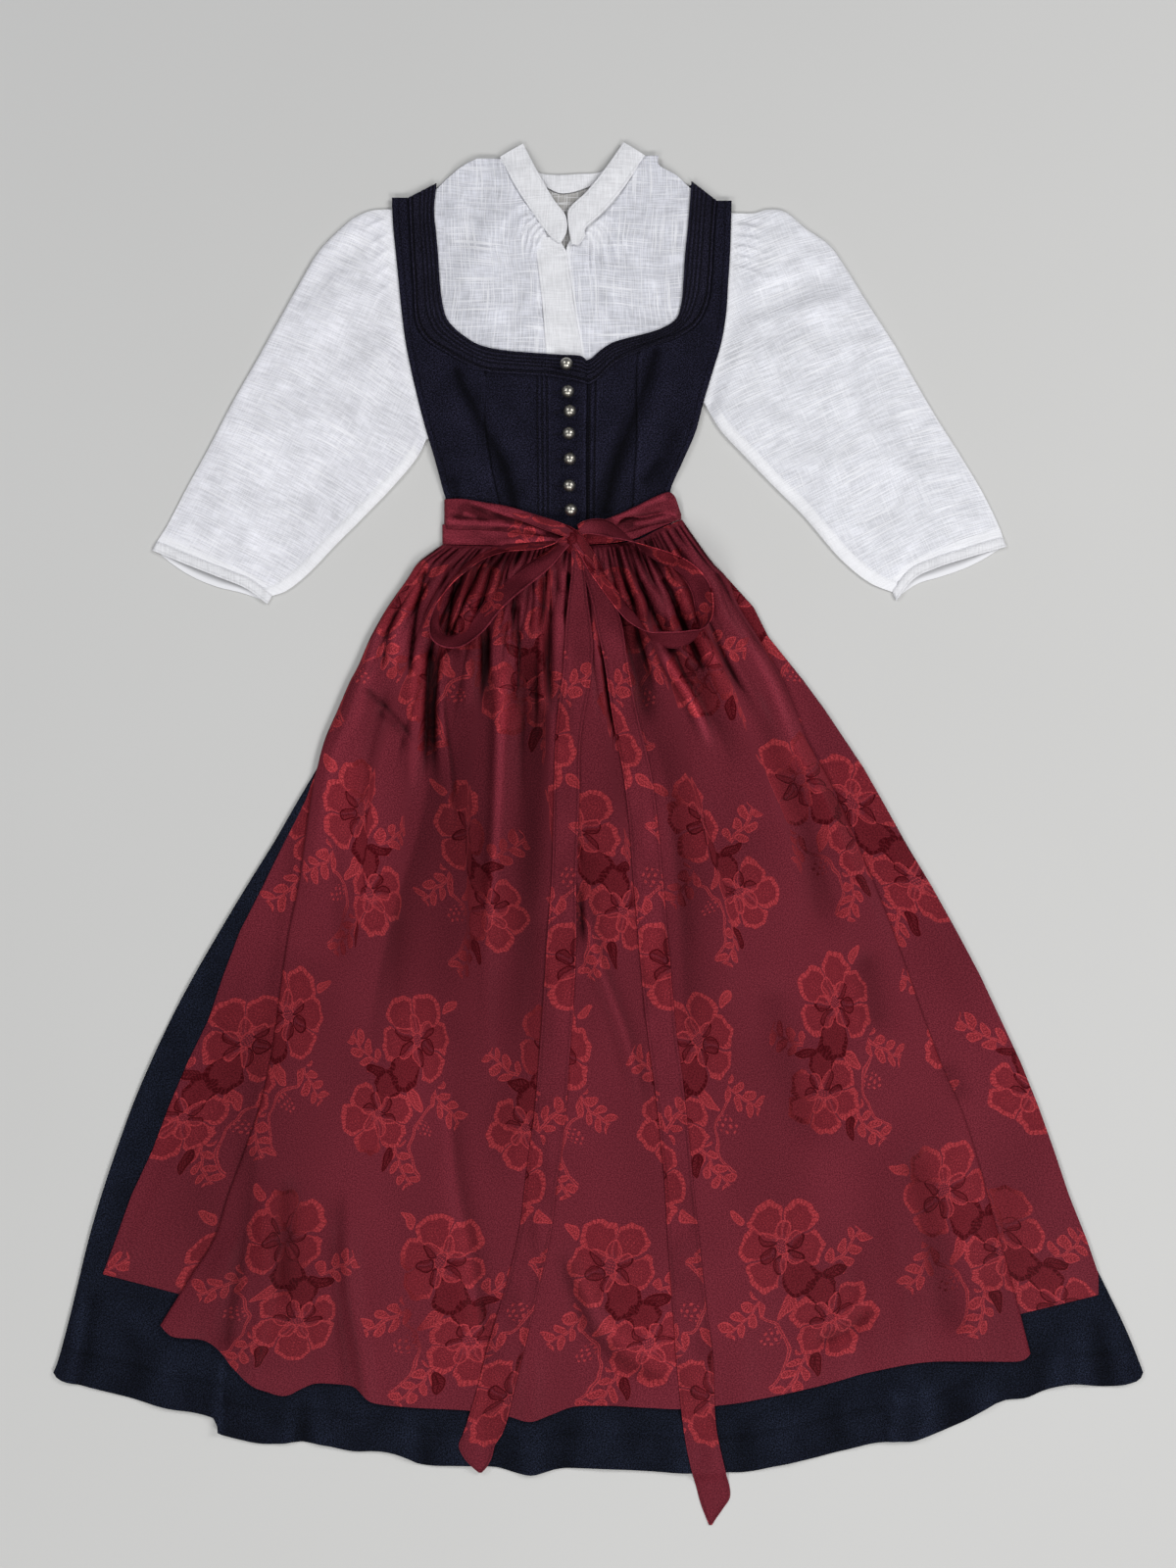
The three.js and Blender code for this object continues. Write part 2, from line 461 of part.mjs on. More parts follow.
// stitched neckline bands, strap top to centre front
function neckBand(name, neck, seam, overlap) {
  const a = line(neck), b = line(seam);
  const marks = [...a.stations, ...b.stations].sort((p, q) => p - q).filter((m, i, all) => !i || m - all[i - 1] > 0.004);
  const lower = marks.map((v) => evenly(1).map((u) => {
    const [x, y] = [0, 1].map((k) => mix(a(v)[k], b(v)[k], u));
    return [x, y, bodiceFloor(x, y, overlap)];
  }));
  piece(name, wallOf(lower.map((r) => r.map(([x, y, z]) => [x, y, z + WOOL])), lower), 'wool');
}
neckBand('neck_band_left', NECK_LEFT, SEAM_LEFT, true);
neckBand('neck_band_right', NECK_RIGHT, SEAM_RIGHT, false);

// ball buttons down the left front, each a sphere on a short shank
const BUTTONS = [
  { x: -33, y: 478 }, { x: -31.5, y: 450 }, { x: -29.5, y: 430 }, { x: -30.5, y: 407.5 },
  { x: -29.5, y: 381.5 }, { x: -30, y: 354.5 }, { x: -28.5, y: 330 },
];
BUTTONS.forEach((b, i) => {
  const r = BUTTON_D / 2, shank = 1.0, foot = 2.2, a0 = Math.asin(foot / r), ring = [];
  ring.push(new THREE.Vector2(0, 0), new THREE.Vector2(foot, 0));
  for (const k of evenly(7)) {
    const a = mix(a0, Math.PI, k);
    ring.push(new THREE.Vector2(k === 1 ? 0 : r * Math.sin(a), shank + r * Math.cos(a0) - r * Math.cos(a)));
  }
  const lathe = new THREE.LatheGeometry(ring, 12);
  const pos = [], idx = [], seen = new Map();
  const src = lathe.getAttribute('position'), id = [];
  for (let k = 0; k < src.count; k++) {
    const p = [src.getX(k), -src.getZ(k), src.getY(k)];
    const key = p.map((c) => Math.round(c * 1e4)).join();
    if (!seen.has(key)) { seen.set(key, pos.length / 3); pos.push(...p); }
    id.push(seen.get(key));
  }
  const f = lathe.getIndex().array;
  for (let k = 0; k < f.length; k += 3) {
    const t = [id[f[k]], id[f[k + 1]], id[f[k + 2]]];
    if (t[0] !== t[1] && t[1] !== t[2] && t[0] !== t[2]) idx.push(...t);
  }
  const m = piece(`button_${i + 1}`, solid(pos, idx), 'silver');
  m.position.set(b.x, b.y, bodiceFloor(b.x, b.y + 9, true) + WOOL + GAP);
});

// ----------------------------------------------------------------------- blouse
const ARM_IN = 9;                                 // the blouse body ends inside the armhole
const BLOUSE_LEFT = [                             // shoulder to hem: outer edge, neck edge
  { y: 689, outer: -124, neck: -102 }, { y: 682, outer: -138, neck: -98 }, { y: 669, outer: -155, neck: -91 },
  { y: 657, outer: -168, neck: -85 }, { y: 646, outer: -186, neck: -79 }, { y: 638, outer: -200.5, neck: -75 },
  { y: 612, outer: -199.5, neck: -60 }, { y: 594.5, outer: -197.8, neck: -63.8 }, { y: 531, outer: -191.5, neck: -57 },
  { y: 471, outer: -181.5, neck: -53 }, { y: 411, outer: -166.5, neck: -50 }, { y: 402, outer: -164, neck: -50 },
];
const BLOUSE_RIGHT = [
  { y: 692, outer: 61, neck: 48.5 }, { y: 683, outer: 61, neck: 43 }, { y: 672, outer: 80, neck: 36 },
  { y: 661, outer: 92, neck: 29 }, { y: 647, outer: 112, neck: 21 }, { y: 637, outer: 125, neck: 15 },
  { y: 612, outer: 124.5, neck: -3 }, { y: 594, outer: 124, neck: -21 }, { y: 531, outer: 120.5, neck: -17 },
  { y: 471, outer: 106.5, neck: -12.5 }, { y: 444, outer: 99, neck: -11.5 }, { y: 402, outer: 88, neck: -10 },
];
function rowsPanel(name, table, z, n) {
  const lower = table.map((r) => {
    const [a, b] = r.outer < r.neck ? [r.outer, r.neck] : [r.neck, r.outer];
    return evenly(n).map((u) => [mix(a, b, u), r.y, z]);
  });
  piece(name, wallOf(lower.map((r) => r.map(([x, y, zz]) => [x, y, zz + VOILE])), lower), 'voile');
}
rowsPanel('blouse_front_left', BLOUSE_LEFT, BLOUSE_FRONT_Z, 4);
rowsPanel('blouse_front_right', BLOUSE_RIGHT, BLOUSE_FRONT_Z, 4);
// placket between the two fronts
rowsPanel('blouse_placket', [
  { y: 594, outer: -63.1, neck: -32.5 }, { y: 561, outer: -59.5, neck: -28.5 }, { y: 531, outer: -56.6, neck: -24 },
  { y: 493, outer: -54, neck: -18 }, { y: 471, outer: -52.6, neck: -15 }, { y: 402, outer: -49.6, neck: -13 },
], BLOUSE_FRONT_Z, 1);
// back: its neck edge is the collar seam
const BLOUSE_BACK_TOP = [
  { x: -199, y: 638 }, { x: -168, y: 655 }, { x: -138, y: 680 }, { x: -103, y: 687 }, { x: -56, y: 660.5 },
  { x: -38, y: 653.5 }, { x: -10, y: 660 }, { x: 46, y: 690 }, { x: 80, y: 670 }, { x: 96, y: 656 }, { x: 124, y: 638 },
];
const blouseBackTop = line(BLOUSE_BACK_TOP);
piece('blouse_back', flatCloth(patch(blouseBackTop, line([{ x: -164, y: 402 }, { x: 88, y: 402 }]),
  line(BODICE_SIDES.filter((r) => r.y > 405).map((r, i) => ({ x: r.left + 12, y: i ? r.y : 638 })).concat({ x: -164, y: 402 })),
  line(BODICE_SIDES.filter((r) => r.y > 430).map((r, i) => ({ x: r.right - 11.5, y: i ? r.y : 638 })).concat({ x: 88, y: 402 }))),
blouseBackTop.stations, evenly(6), () => BLOUSE_BACK_Z, VOILE), 'voile');

// stand collar: two front lengths and the back length between them
const COLLAR_LEFT_OUT = [
  { x: -101.5, y: 690.5 }, { x: -84, y: 658 }, { x: -67.6, y: 630.5 }, { x: -57, y: 611.5 }, { x: -46, y: 598 }, { x: -36, y: 595.5 },
];
const COLLAR_LEFT_IN = [
  { x: -77, y: 704.5 }, { x: -63.3, y: 677 }, { x: -43, y: 647 }, { x: -33.5, y: 630 }, { x: -33.2, y: 614 }, { x: -34.6, y: 602 },
];
const COLLAR_RIGHT_IN = [
  { x: 25, y: 706 }, { x: 5.3, y: 677 }, { x: -12.5, y: 655 }, { x: -30.4, y: 638.5 }, { x: -31.2, y: 625 }, { x: -29, y: 611 },
];
const COLLAR_RIGHT_OUT = [
  { x: 48, y: 692 }, { x: 26, y: 658 }, { x: 4, y: 630.5 }, { x: -12.5, y: 611 }, { x: -19.4, y: 600.5 }, { x: -26, y: 603 },
];
function strip(name, a, b, z, t, look, n) {
  const p = line(a), q = line(b);
  const lower = evenly(n).map((v) => [[...p(v), z], [...q(v), z]]);
  piece(name, wallOf(lower.map((r) => r.map(([x, y, zz]) => [x, y, zz + t])), lower), look);
}
strip('collar_left', COLLAR_LEFT_OUT.map((r) => ({ x: r.x + 0.5, y: r.y + 0.3 })), COLLAR_LEFT_IN, BLOUSE_FRONT_Z, VOILE, 'voile', 7);
strip('collar_right', COLLAR_RIGHT_IN, COLLAR_RIGHT_OUT.map((r) => ({ x: r.x - 0.8, y: r.y + 0.3 })), BLOUSE_FRONT_Z, VOILE, 'voile', 7);
strip('collar_back',
  [{ x: -76, y: 702 }, { x: -63.3, y: 677 }, { x: -49.6, y: 673.8 }, { x: -23.5, y: 674.4 }, { x: 4, y: 677.7 }, { x: 24, y: 703 }],
  [{ x: -90, y: 682 }, { x: -56, y: 662 }, { x: -38, y: 654.5 }, { x: -10, y: 661 }, { x: 8, y: 671 }, { x: 38, y: 690 }],
  BLOUSE_BACK_Z, VOILE, 'voile', 8);

// sleeves: flattened tubes from inside the armhole to the cuff
const SLEEVES = {
  left: {
    out: [{ x: -203, y: 638 }, { x: -213, y: 638 }, { x: -233, y: 636 }, { x: -251, y: 628.5 }, { x: -268, y: 614 },
      { x: -286, y: 595 }, { x: -303, y: 567 }, { x: -327, y: 524 }, { x: -350, y: 483 }, { x: -374, y: 441 },
      { x: -397, y: 397 }, { x: -421, y: 353 }, { x: -441, y: 315 }, { x: -452, y: 298 }],
    under: [{ x: -168.5, y: 405 }, { x: -176, y: 403 }, { x: -186, y: 384 }, { x: -212, y: 353 }, { x: -242, y: 322 },
      { x: -268, y: 296 }, { x: -299, y: 264 }, { x: -320, y: 248 }, { x: -334, y: 243 }],
    arm: [{ x: -203, y: 638 }, { x: -199, y: 591 }, { x: -193, y: 531 }, { x: -183.4, y: 471 }, { x: -168.5, y: 405 }],
    hole: [{ x: -213, y: 638 }, { x: -210, y: 591 }, { x: -204, y: 531 }, { x: -194, y: 471 }, { x: -176, y: 403 }],
    cuff: [{ x: -452, y: 298 }, { x: -416, y: 283 }, { x: -383, y: 270 }, { x: -356, y: 259 }, { x: -334, y: 243 }],
    down: { x: -4.6, y: -8.6 },
  },
  right: {
    out: [{ x: 126.5, y: 636 }, { x: 137, y: 634 }, { x: 159, y: 634 }, { x: 189, y: 636 }, { x: 212, y: 618 },
      { x: 236, y: 601 }, { x: 253, y: 577 }, { x: 271, y: 548 }, { x: 303, y: 498 }, { x: 324, y: 461 },
      { x: 347, y: 422 }, { x: 371, y: 384 }, { x: 394, y: 345 }, { x: 411, y: 309 }, { x: 413, y: 302 }],
    under: [{ x: 101, y: 447 }, { x: 109, y: 438 }, { x: 124, y: 413 }, { x: 148, y: 387 }, { x: 177, y: 357 },
      { x: 209, y: 325 }, { x: 249, y: 279 }, { x: 278, y: 256 }, { x: 300, y: 247 }],
    arm: [{ x: 126.5, y: 636 }, { x: 125.5, y: 591 }, { x: 122, y: 531 }, { x: 108.5, y: 474 }, { x: 101, y: 447 }],
    hole: [{ x: 137, y: 634 }, { x: 137, y: 591 }, { x: 133, y: 531 }, { x: 119, y: 471 }, { x: 109, y: 438 }],
    cuff: [{ x: 413, y: 302 }, { x: 375, y: 291 }, { x: 341, y: 280 }, { x: 318, y: 269 }, { x: 300, y: 247 }],
    down: { x: 4.2, y: -8.8 },
  },
};
const SLEEVE_KS = [0, 0.045, 0.09, 0.16, 0.26, 0.4, 0.55, 0.7, 0.85, 1];
const PUFF = [                                    // tube height along the sleeve
  { k: 0, floor: 1.5, roof: 3.8 }, { k: 0.045, floor: 1.5, roof: 3.8 }, { k: 0.09, floor: 0, roof: 5.2 }, { k: 0.26, floor: 0, roof: 5.6 },
  { k: 0.7, floor: 0, roof: 5.0 }, { k: 1, floor: 0, roof: 3.6 },
];
for (const [side, s] of Object.entries(SLEEVES)) {
  const split = (rows) => [line(rows.slice(0, 2)), line(rows.slice(1))];
  const [o0, o1] = split(s.out), [n0, n1] = split(s.under);
  const K1 = SLEEVE_KS[1];
  const inArm = patch(line(s.arm), line(s.hole), o0, n0), free = patch(line(s.hole), line(s.cuff), o1, n1);
  const xy = (u, k) => (k <= K1 ? inArm(u, k / K1) : free(u, (k - K1) / (1 - K1)));
  const floor = column(PUFF, 'k', 'floor'), roofAt = column(PUFF, 'k', 'roof');
  const roof = (k, u) => roofAt(k) - (k > 0.1 && k < 0.95 ? 0.9 * Math.sin(u * 17 + k * 5) ** 2 : 0);
  piece(`sleeve_${side}`, flatTube(xy, SLEEVE_KS, 8, floor, roof, VOILE, () => 0.018), 'voile');
  // cuff binding: a short tube past the sleeve end, its under side longer
  const end = line(s.cuff), d = s.down;
  const cuffXY = (u, k, shrink) => {
    const [x, y] = end(u), f = 0.07 + 0.93 * k;
    return [x + d.x * f, y + d.y * f];
  };
  piece(`cuff_${side}`, flatTube(cuffXY, [0, 0.5, 1], 8, () => 0, () => 3.4, VOILE, () => 0.018), 'voile');
}

// ------------------------------------------------------------ waistband and bow
// bands across the waist, a row for each place along them
const WAISTBAND = [
  { x: -160, top: 316, low: 295.4 }, { x: -119, top: 318, low: 294.4 }, { x: -71, top: 316, low: 294.4 },
  { x: -40, top: 311, low: 295.4 }, { x: 0, top: 311, low: 295.8 }, { x: 34, top: 318, low: 300.4 },
  { x: 57, top: 328, low: 310.4 }, { x: 84.5, top: 339, low: 321.6 },
];
const WRAP_LEFT = [
  { x: -158, top: 341.6, low: 311 }, { x: -119, top: 338.6, low: 310 }, { x: -94, top: 334.5, low: 308 },
  { x: -66, top: 326.3, low: 305 }, { x: -43, top: 319.2, low: 302 }, { x: -31, top: 314.5, low: 299 },
];
const WRAP_RIGHT = [
  { x: -14, top: 316, low: 302 }, { x: 10, top: 322.2, low: 304 }, { x: 38.5, top: 334.5, low: 310 },
  { x: 59, top: 344.7, low: 318 }, { x: 75, top: 349.2, low: 323 }, { x: 84, top: 324, low: 321.5 },
];
function acrossBand(name, table, z, rows) {
  const lower = evenly(rows).map((v) => table.map((r) => [r.x, mix(r.top, r.low, v), z]));
  piece(name, wallOf(lower.map((r) => r.map(([x, y, zz]) => [x, y, zz + SATIN])), lower), 'satin');
}
acrossBand('apron_waistband', WAISTBAND, WAISTBAND_Z, 1);
acrossBand('tie_wrap_left', WRAP_LEFT, WRAP_Z, 2);
acrossBand('tie_wrap_right', WRAP_RIGHT, WRAP_Z, 2);

// knot: a rounded bunch of cloth with a flattened underside
const KNOT = { x: -24, y: 300, across: 27, along: 33, low: WRAP_Z + SATIN + GAP, high: 19 };
{
  const n = 14, m = 8, pos = [], idx = [];
  const h = (KNOT.high - KNOT.low) / 2, zc = KNOT.low + h;
  const ringAt = (j, i) => {
    const a = (Math.PI * j) / m, b = (2 * Math.PI * i) / n;
    const r = Math.sin(a) ** 0.7;
    return [KNOT.x + (KNOT.across / 2) * r * Math.cos(b), KNOT.y + (KNOT.along / 2) * r * Math.sin(b), zc + h * Math.cos(a)];
  };
  pos.push(...ringAt(0, 0));
  for (let j = 1; j < m; j++) for (let i = 0; i < n; i++) pos.push(...ringAt(j, i));
  pos.push(...ringAt(m, 0));
  const V = (j, i) => 1 + (j - 1) * n + (i % n), last = 1 + (m - 1) * n;
  for (let i = 0; i < n; i++) {
    idx.push(0, V(1, i), V(1, i + 1));
    for (let j = 1; j < m - 1; j++) idx.push(V(j, i), V(j + 1, i), V(j + 1, i + 1), V(j, i), V(j + 1, i + 1), V(j, i + 1));
    idx.push(V(m - 1, i), last, V(m - 1, i + 1));
  }
  piece('bow_knot', solid(pos, idx), 'satin');
}

// bow loops: ribbons that stand on edge round their far end and lie flat on the way back
const LOOP_LEFT = [
  { x: -40, y: 299, z: 21, turn: 62 }, { x: -62, y: 294, z: 23, turn: 78 }, { x: -94, y: 288, z: 24, turn: 86 },
  { x: -120, y: 276, z: 24, turn: 92 }, { x: -143, y: 257, z: 24, turn: 98 }, { x: -161, y: 233, z: 23.5, turn: 105 },
  { x: -168, y: 211, z: 23, turn: 112 }, { x: -163, y: 197, z: 22, turn: 122 }, { x: -149, y: 191, z: 21, turn: 132 },
  { x: -133, y: 198, z: 19, turn: 142 }, { x: -118, y: 215, z: 17, turn: 152 }, { x: -103, y: 234, z: 15.5, turn: 158 },
  { x: -84, y: 254, z: 14.5, turn: 160 }, { x: -65, y: 269, z: 14.5, turn: 156 }, { x: -45, y: 281, z: 15, turn: 150 },
];
const LOOP_RIGHT = [
  { x: -7, y: 306, z: 17, turn: 140 }, { x: 12, y: 303, z: 18.6, turn: 128 }, { x: 36, y: 293, z: 21, turn: 108 },
  { x: 62, y: 283, z: 23, turn: 98 }, { x: 84, y: 272, z: 24, turn: 90 }, { x: 102, y: 256, z: 24, turn: 82 },
  { x: 111, y: 235, z: 23, turn: 70 }, { x: 107, y: 213, z: 23, turn: 76 }, { x: 92, y: 200, z: 23, turn: 96 },
  { x: 70, y: 195, z: 22, turn: 112 }, { x: 51, y: 200, z: 20, turn: 128 }, { x: 35, y: 214, z: 17.5, turn: 145 },
  { x: 20, y: 236, z: 15.5, turn: 158 }, { x: 6, y: 259, z: 15, turn: 160 }, { x: -6, y: 277, z: 15, turn: 152 },
];
const loopWidth = (rows) => rows.map((r, i) => ({ ...r, width: i === 0 || i === rows.length - 1 ? 14 : TIE_W * 0.82 }));
piece('bow_loop_left', ribbon(loopWidth(LOOP_LEFT), TIE_W, SATIN), 'satin');
piece('bow_loop_right', ribbon(loopWidth(LOOP_RIGHT), TIE_W, SATIN), 'satin');

// tie tails down the apron, past its hem and the skirt's
const TAIL_LEFT = [
  { y: 279, left: -34, right: -14 }, { y: 231, left: -38, right: -12 }, { y: 100, left: -44, right: -18 },
  { y: -43, left: -48, right: -23 }, { y: -177, left: -57, right: -26 }, { y: -289, left: -66, right: -34 },
  { y: -400, left: -80, right: -48 }, { y: -534, left: -115, right: -79 }, { y: -596, left: -132, right: -94 },
  { y: -624, left: -143, right: -107 }, { y: -651, left: -125, right: -119 },
];
const TAIL_RIGHT = [
  { y: 276, left: -11, right: 5 }, { y: 231, left: -2, right: 19 }, { y: 179, left: 5, right: 27 },
  { y: 61, left: 25, right: 53 }, { y: -43, left: 35, right: 65 }, { y: -204, left: 50, right: 79 },
  { y: -311, left: 63, right: 92 }, { y: -422, left: 71, right: 103 }, { y: -534, left: 79, right: 116 },
  { y: -609, left: 87, right: 120 }, { y: -654, left: 96, right: 130 }, { y: -669, left: 100, right: 134 },
  { y: -679, left: 104, right: 134 }, { y: -707, left: 112, right: 117 },
];
const TAIL_LIE = [                                // underside of a tail along its fall
  { y: 279, z: TAIL_Z + 1 }, { y: 200, z: TAIL_Z }, { y: -585, z: TAIL_Z }, { y: -630, z: 6.4 },
  { y: -656, z: 6.4 }, { y: -672, z: 1.6 }, { y: -707, z: 0 },
];
const tailZ = column(TAIL_LIE, 'y', 'z');
for (const [name, table] of [['tie_tail_left', TAIL_LEFT], ['tie_tail_right', TAIL_RIGHT]]) {
  const lower = table.map((r) => [0, 1].map((u) => [mix(r.left, r.right, u), r.y, tailZ(r.y)]));
  piece(name, wallOf(lower.map((r) => r.map(([x, y, z]) => [x, y, z + SATIN])), lower), 'satin');
}

// origin at the centre of the underside
group.updateMatrixWorld(true);
const bounds = new THREE.Box3().setFromObject(group, true);
laid.position.set(-(bounds.min.x + bounds.max.x) / 2, -(bounds.min.y + bounds.max.y) / 2, -bounds.min.z);
group.updateMatrixWorld(true);

export default group;
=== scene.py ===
import math
import bpy
import numpy as np
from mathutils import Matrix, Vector


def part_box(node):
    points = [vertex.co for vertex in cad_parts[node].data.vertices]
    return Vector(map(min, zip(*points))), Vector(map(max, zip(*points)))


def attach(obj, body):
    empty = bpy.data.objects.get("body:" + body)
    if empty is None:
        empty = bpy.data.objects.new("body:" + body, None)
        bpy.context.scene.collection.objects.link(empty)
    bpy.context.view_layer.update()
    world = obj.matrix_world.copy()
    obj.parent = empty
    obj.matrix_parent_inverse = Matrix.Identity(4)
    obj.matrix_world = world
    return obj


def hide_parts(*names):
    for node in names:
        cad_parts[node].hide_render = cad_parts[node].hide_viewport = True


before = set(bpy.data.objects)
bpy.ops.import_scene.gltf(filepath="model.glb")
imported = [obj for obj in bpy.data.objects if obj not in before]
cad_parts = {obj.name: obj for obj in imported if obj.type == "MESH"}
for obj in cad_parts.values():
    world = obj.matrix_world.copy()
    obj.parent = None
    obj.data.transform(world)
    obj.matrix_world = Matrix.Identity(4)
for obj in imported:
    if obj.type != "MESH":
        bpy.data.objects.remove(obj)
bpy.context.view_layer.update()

# --------------------------------------------------------------------------
# Datum: the same millimetre tables as the CAD source, moved to the row frame.
# --------------------------------------------------------------------------
MM = 0.001
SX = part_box("skirt_front")[0].x / MM + 557.0
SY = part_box("tie_tail_right")[0].y / MM + 707.0

WOOL, VOILE, SATIN, GAP = 1.2, 1.0, 1.0, 0.3
FRONT_BASE = WOOL + GAP
APRON_BASE = FRONT_BASE + WOOL + GAP
BLOUSE_BACK_Z = WOOL + GAP
BLOUSE_FRONT_Z = BLOUSE_BACK_Z + VOILE + GAP
BODICE_OVER_BLOUSE = BLOUSE_FRONT_Z + VOILE + GAP
BODICE_AT_WAIST = FRONT_BASE
OVERLAP_RISE = WOOL + GAP
WAISTBAND_Z = BODICE_AT_WAIST + OVERLAP_RISE + WOOL + GAP
WRAP_Z = WAISTBAND_Z + SATIN + GAP
PLY = SATIN + 0.4

rng = np.random.default_rng(11)


# ------------------------------------------------------------------ maths
def sstep(a, b, x):
    t = np.clip((np.asarray(x, float) - a) / (b - a), 0, 1)
    return t * t * (3 - 2 * t)


def mix(a, b, t):
    return a + (b - a) * t


class Noise2:
    """Smooth value noise, one lattice per seed."""

    def __init__(self, seed):
        self.g = np.random.default_rng(seed).uniform(-1, 1, (64, 64))

    def __call__(self, x, y):
        x, y = np.asarray(x, float), np.asarray(y, float)
        xi, yi = np.floor(x).astype(int), np.floor(y).astype(int)
        fx, fy = x - xi, y - yi
        fx, fy = fx * fx * fx * (fx * (fx * 6 - 15) + 10), fy * fy * fy * (fy * (fy * 6 - 15) + 10)
        a, b = xi % 64, (xi + 1) % 64
        c, d = yi % 64, (yi + 1) % 64
        g = self.g
        return mix(mix(g[a, c], g[b, c], fx), mix(g[a, d], g[b, d], fx), fy)


N1, N2, N3, N4 = Noise2(1), Noise2(2), Noise2(3), Noise2(4)


def fbm(x, y, n=3, noise=N1):
    s, a = 0, 1
    for k in range(n):
        s = s + a * noise(x * 2 ** k + 7.3 * k, y * 2 ** k - 3.1 * k)
        a *= 0.5
    return s


def interp(rows, key, col):
    r = sorted(rows, key=lambda q: q[key])
    xs, ys = [q[key] for q in r], [q[col] for q in r]
    return lambda x: np.interp(x, xs, ys)


def smooth_points(pts, n=500, corners=()):
    """Centripetal Catmull-Rom through the points, resampled by length. corners are
    indices that stay sharp."""
    p = np.asarray(pts, float)
    if len(p) < 3:
        out = [p[0] + (p[-1] - p[0]) * t for t in np.linspace(0, 1, n)]
        return np.array(out)
    cuts = [0] + sorted(c % len(p) for c in corners) + [len(p) - 1]
    dense = []
    for a, b in zip(cuts, cuts[1:]):
        q = p[a:b + 1]
        if len(q) < 2:
            continue
        q = np.vstack([2 * q[0] - q[1], q, 2 * q[-1] - q[-2]])
        for i in range(1, len(q) - 2):
            p0, p1, p2, p3 = q[i - 1], q[i], q[i + 1], q[i + 2]
            t0 = 0.0
            t1 = t0 + max(1e-6, np.linalg.norm(p1 - p0)) ** 0.5
            t2 = t1 + max(1e-6, np.linalg.norm(p2 - p1)) ** 0.5
            t3 = t2 + max(1e-6, np.linalg.norm(p3 - p2)) ** 0.5
            t = np.linspace(t1, t2, 24, endpoint=False)[:, None]
            a1 = (t1 - t) / (t1 - t0) * p0 + (t - t0) / (t1 - t0) * p1
            a2 = (t2 - t) / (t2 - t1) * p1 + (t - t1) / (t2 - t1) * p2
            a3 = (t3 - t) / (t3 - t2) * p2 + (t - t2) / (t3 - t2) * p3
            b1 = (t2 - t) / (t2 - t0) * a1 + (t - t0) / (t2 - t0) * a2
            b2 = (t3 - t) / (t3 - t1) * a2 + (t - t1) / (t3 - t1) * a3
            dense.append((t2 - t) / (t2 - t1) * b1 + (t - t1) / (t2 - t1) * b2)
    dense.append(p[-1:])
    d = np.vstack(dense)
    s = np.concatenate([[0], np.cumsum(np.linalg.norm(np.diff(d, axis=0), axis=1))])
    t = np.linspace(0, s[-1], n)
    return np.stack([np.interp(t, s, d[:, k]) for k in range(d.shape[1])], 1)


class Line:
    """A smooth line through table rows; called with 0..1 along its length."""

    def __init__(self, pts, corners=(), n=700, smooth=True):
        pts = np.asarray(pts, float)
        self.p = smooth_points(pts, n, corners) if smooth else pts
        s = np.concatenate([[0], np.cumsum(np.linalg.norm(np.diff(self.p, axis=0), axis=1))])
        self.length = s[-1]
        self.s = s / s[-1]

    def __call__(self, t):
        return np.stack([np.interp(t, self.s, self.p[:, k]) for k in range(self.p.shape[1])], -1)


def patch(top, bottom, left, right, us, vs):
    """Coons patch: rows follow vs (top to bottom), columns follow us."""
    T, B, L, R = top(us), bottom(us), left(vs), right(vs)
    U, V = us[None, :, None], vs[:, None, None]
    c00, c10, c01, c11 = T[0], T[-1], B[0], B[-1]
    xy = ((1 - V) * T[None] + V * B[None] + (1 - U) * L[:, None] + U * R[:, None]
          - ((1 - U) * (1 - V) * c00 + U * (1 - V) * c10 + (1 - U) * V * c01 + U * V * c11))
    return xy[..., 0], xy[..., 1]


def seg_dist(x, y, pts):
    """Distance to a polyline, the fraction along it, and the side (+ is left of its run)."""
    pts = np.asarray(pts, float)
    seg = np.linalg.norm(np.diff(pts, axis=0), axis=1)
    tot, best, tt, side, acc = seg.sum(), None, None, None, 0.0
    for i in range(len(pts) - 1):
        ax, ay = pts[i]
        bx, by = pts[i + 1]
        dx, dy = bx - ax, by - ay
        l2 = dx * dx + dy * dy
        t = np.clip(((x - ax) * dx + (y - ay) * dy) / l2, 0, 1)
        ex, ey = x - ax - dx * t, y - ay - dy * t
        d = np.hypot(ex, ey)
        sg = np.sign(dx * ey - dy * ex)
        f = (acc + t * seg[i]) / tot
        if best is None:
            best, tt, side = d, f, sg
        else:
            m = d < best
            best, tt, side = np.where(m, d, best), np.where(m, f, tt), np.where(m, sg, side)
        acc += seg[i]
    return best, tt, side


def folds(x, y, table):
    """Sum of listed creases. kind R ridge, V sharp valley, G soft valley, W wide trough,
    L lap (high on the left of its run, dropping sharply on the right)."""
    h = np.zeros_like(x)
    for f in table:
        pts = f["line"]
        if len(pts) > 2:
            pts = smooth_points(pts, 14)
        d, t, side = seg_dist(x, y, pts)
        e = f.get("ends", 0.22)
        e0, e1 = f.get("start", e), f.get("end", e)
        fade = (sstep(0, e0, t) if e0 > 0 else 1) * (1 - sstep(1 - e1, 1, t) if e1 > 0 else 1)
        w, r = f["w"], f["rise"]
        k = f["kind"]
        if k == "R":
            h = h + r * np.exp(-(d / w) ** 2) * fade
        elif k == "G":
            h = h - r * np.exp(-(d / w) ** 2) * fade
        elif k == "V":
            h = h - r * np.exp(-(np.sqrt(d * d + 0.6) - 0.77) / w) * fade
        elif k == "W":
            h = h - r * (1 - sstep(0.5 * w, 1.3 * w, d)) * fade
        elif k == "L":
            sd = d * side
            h = h + r * np.where(sd > 0, np.exp(-sd / (w * 3.2)), np.exp(-(sd / (w * 0.35)) ** 2)) * fade
    return h


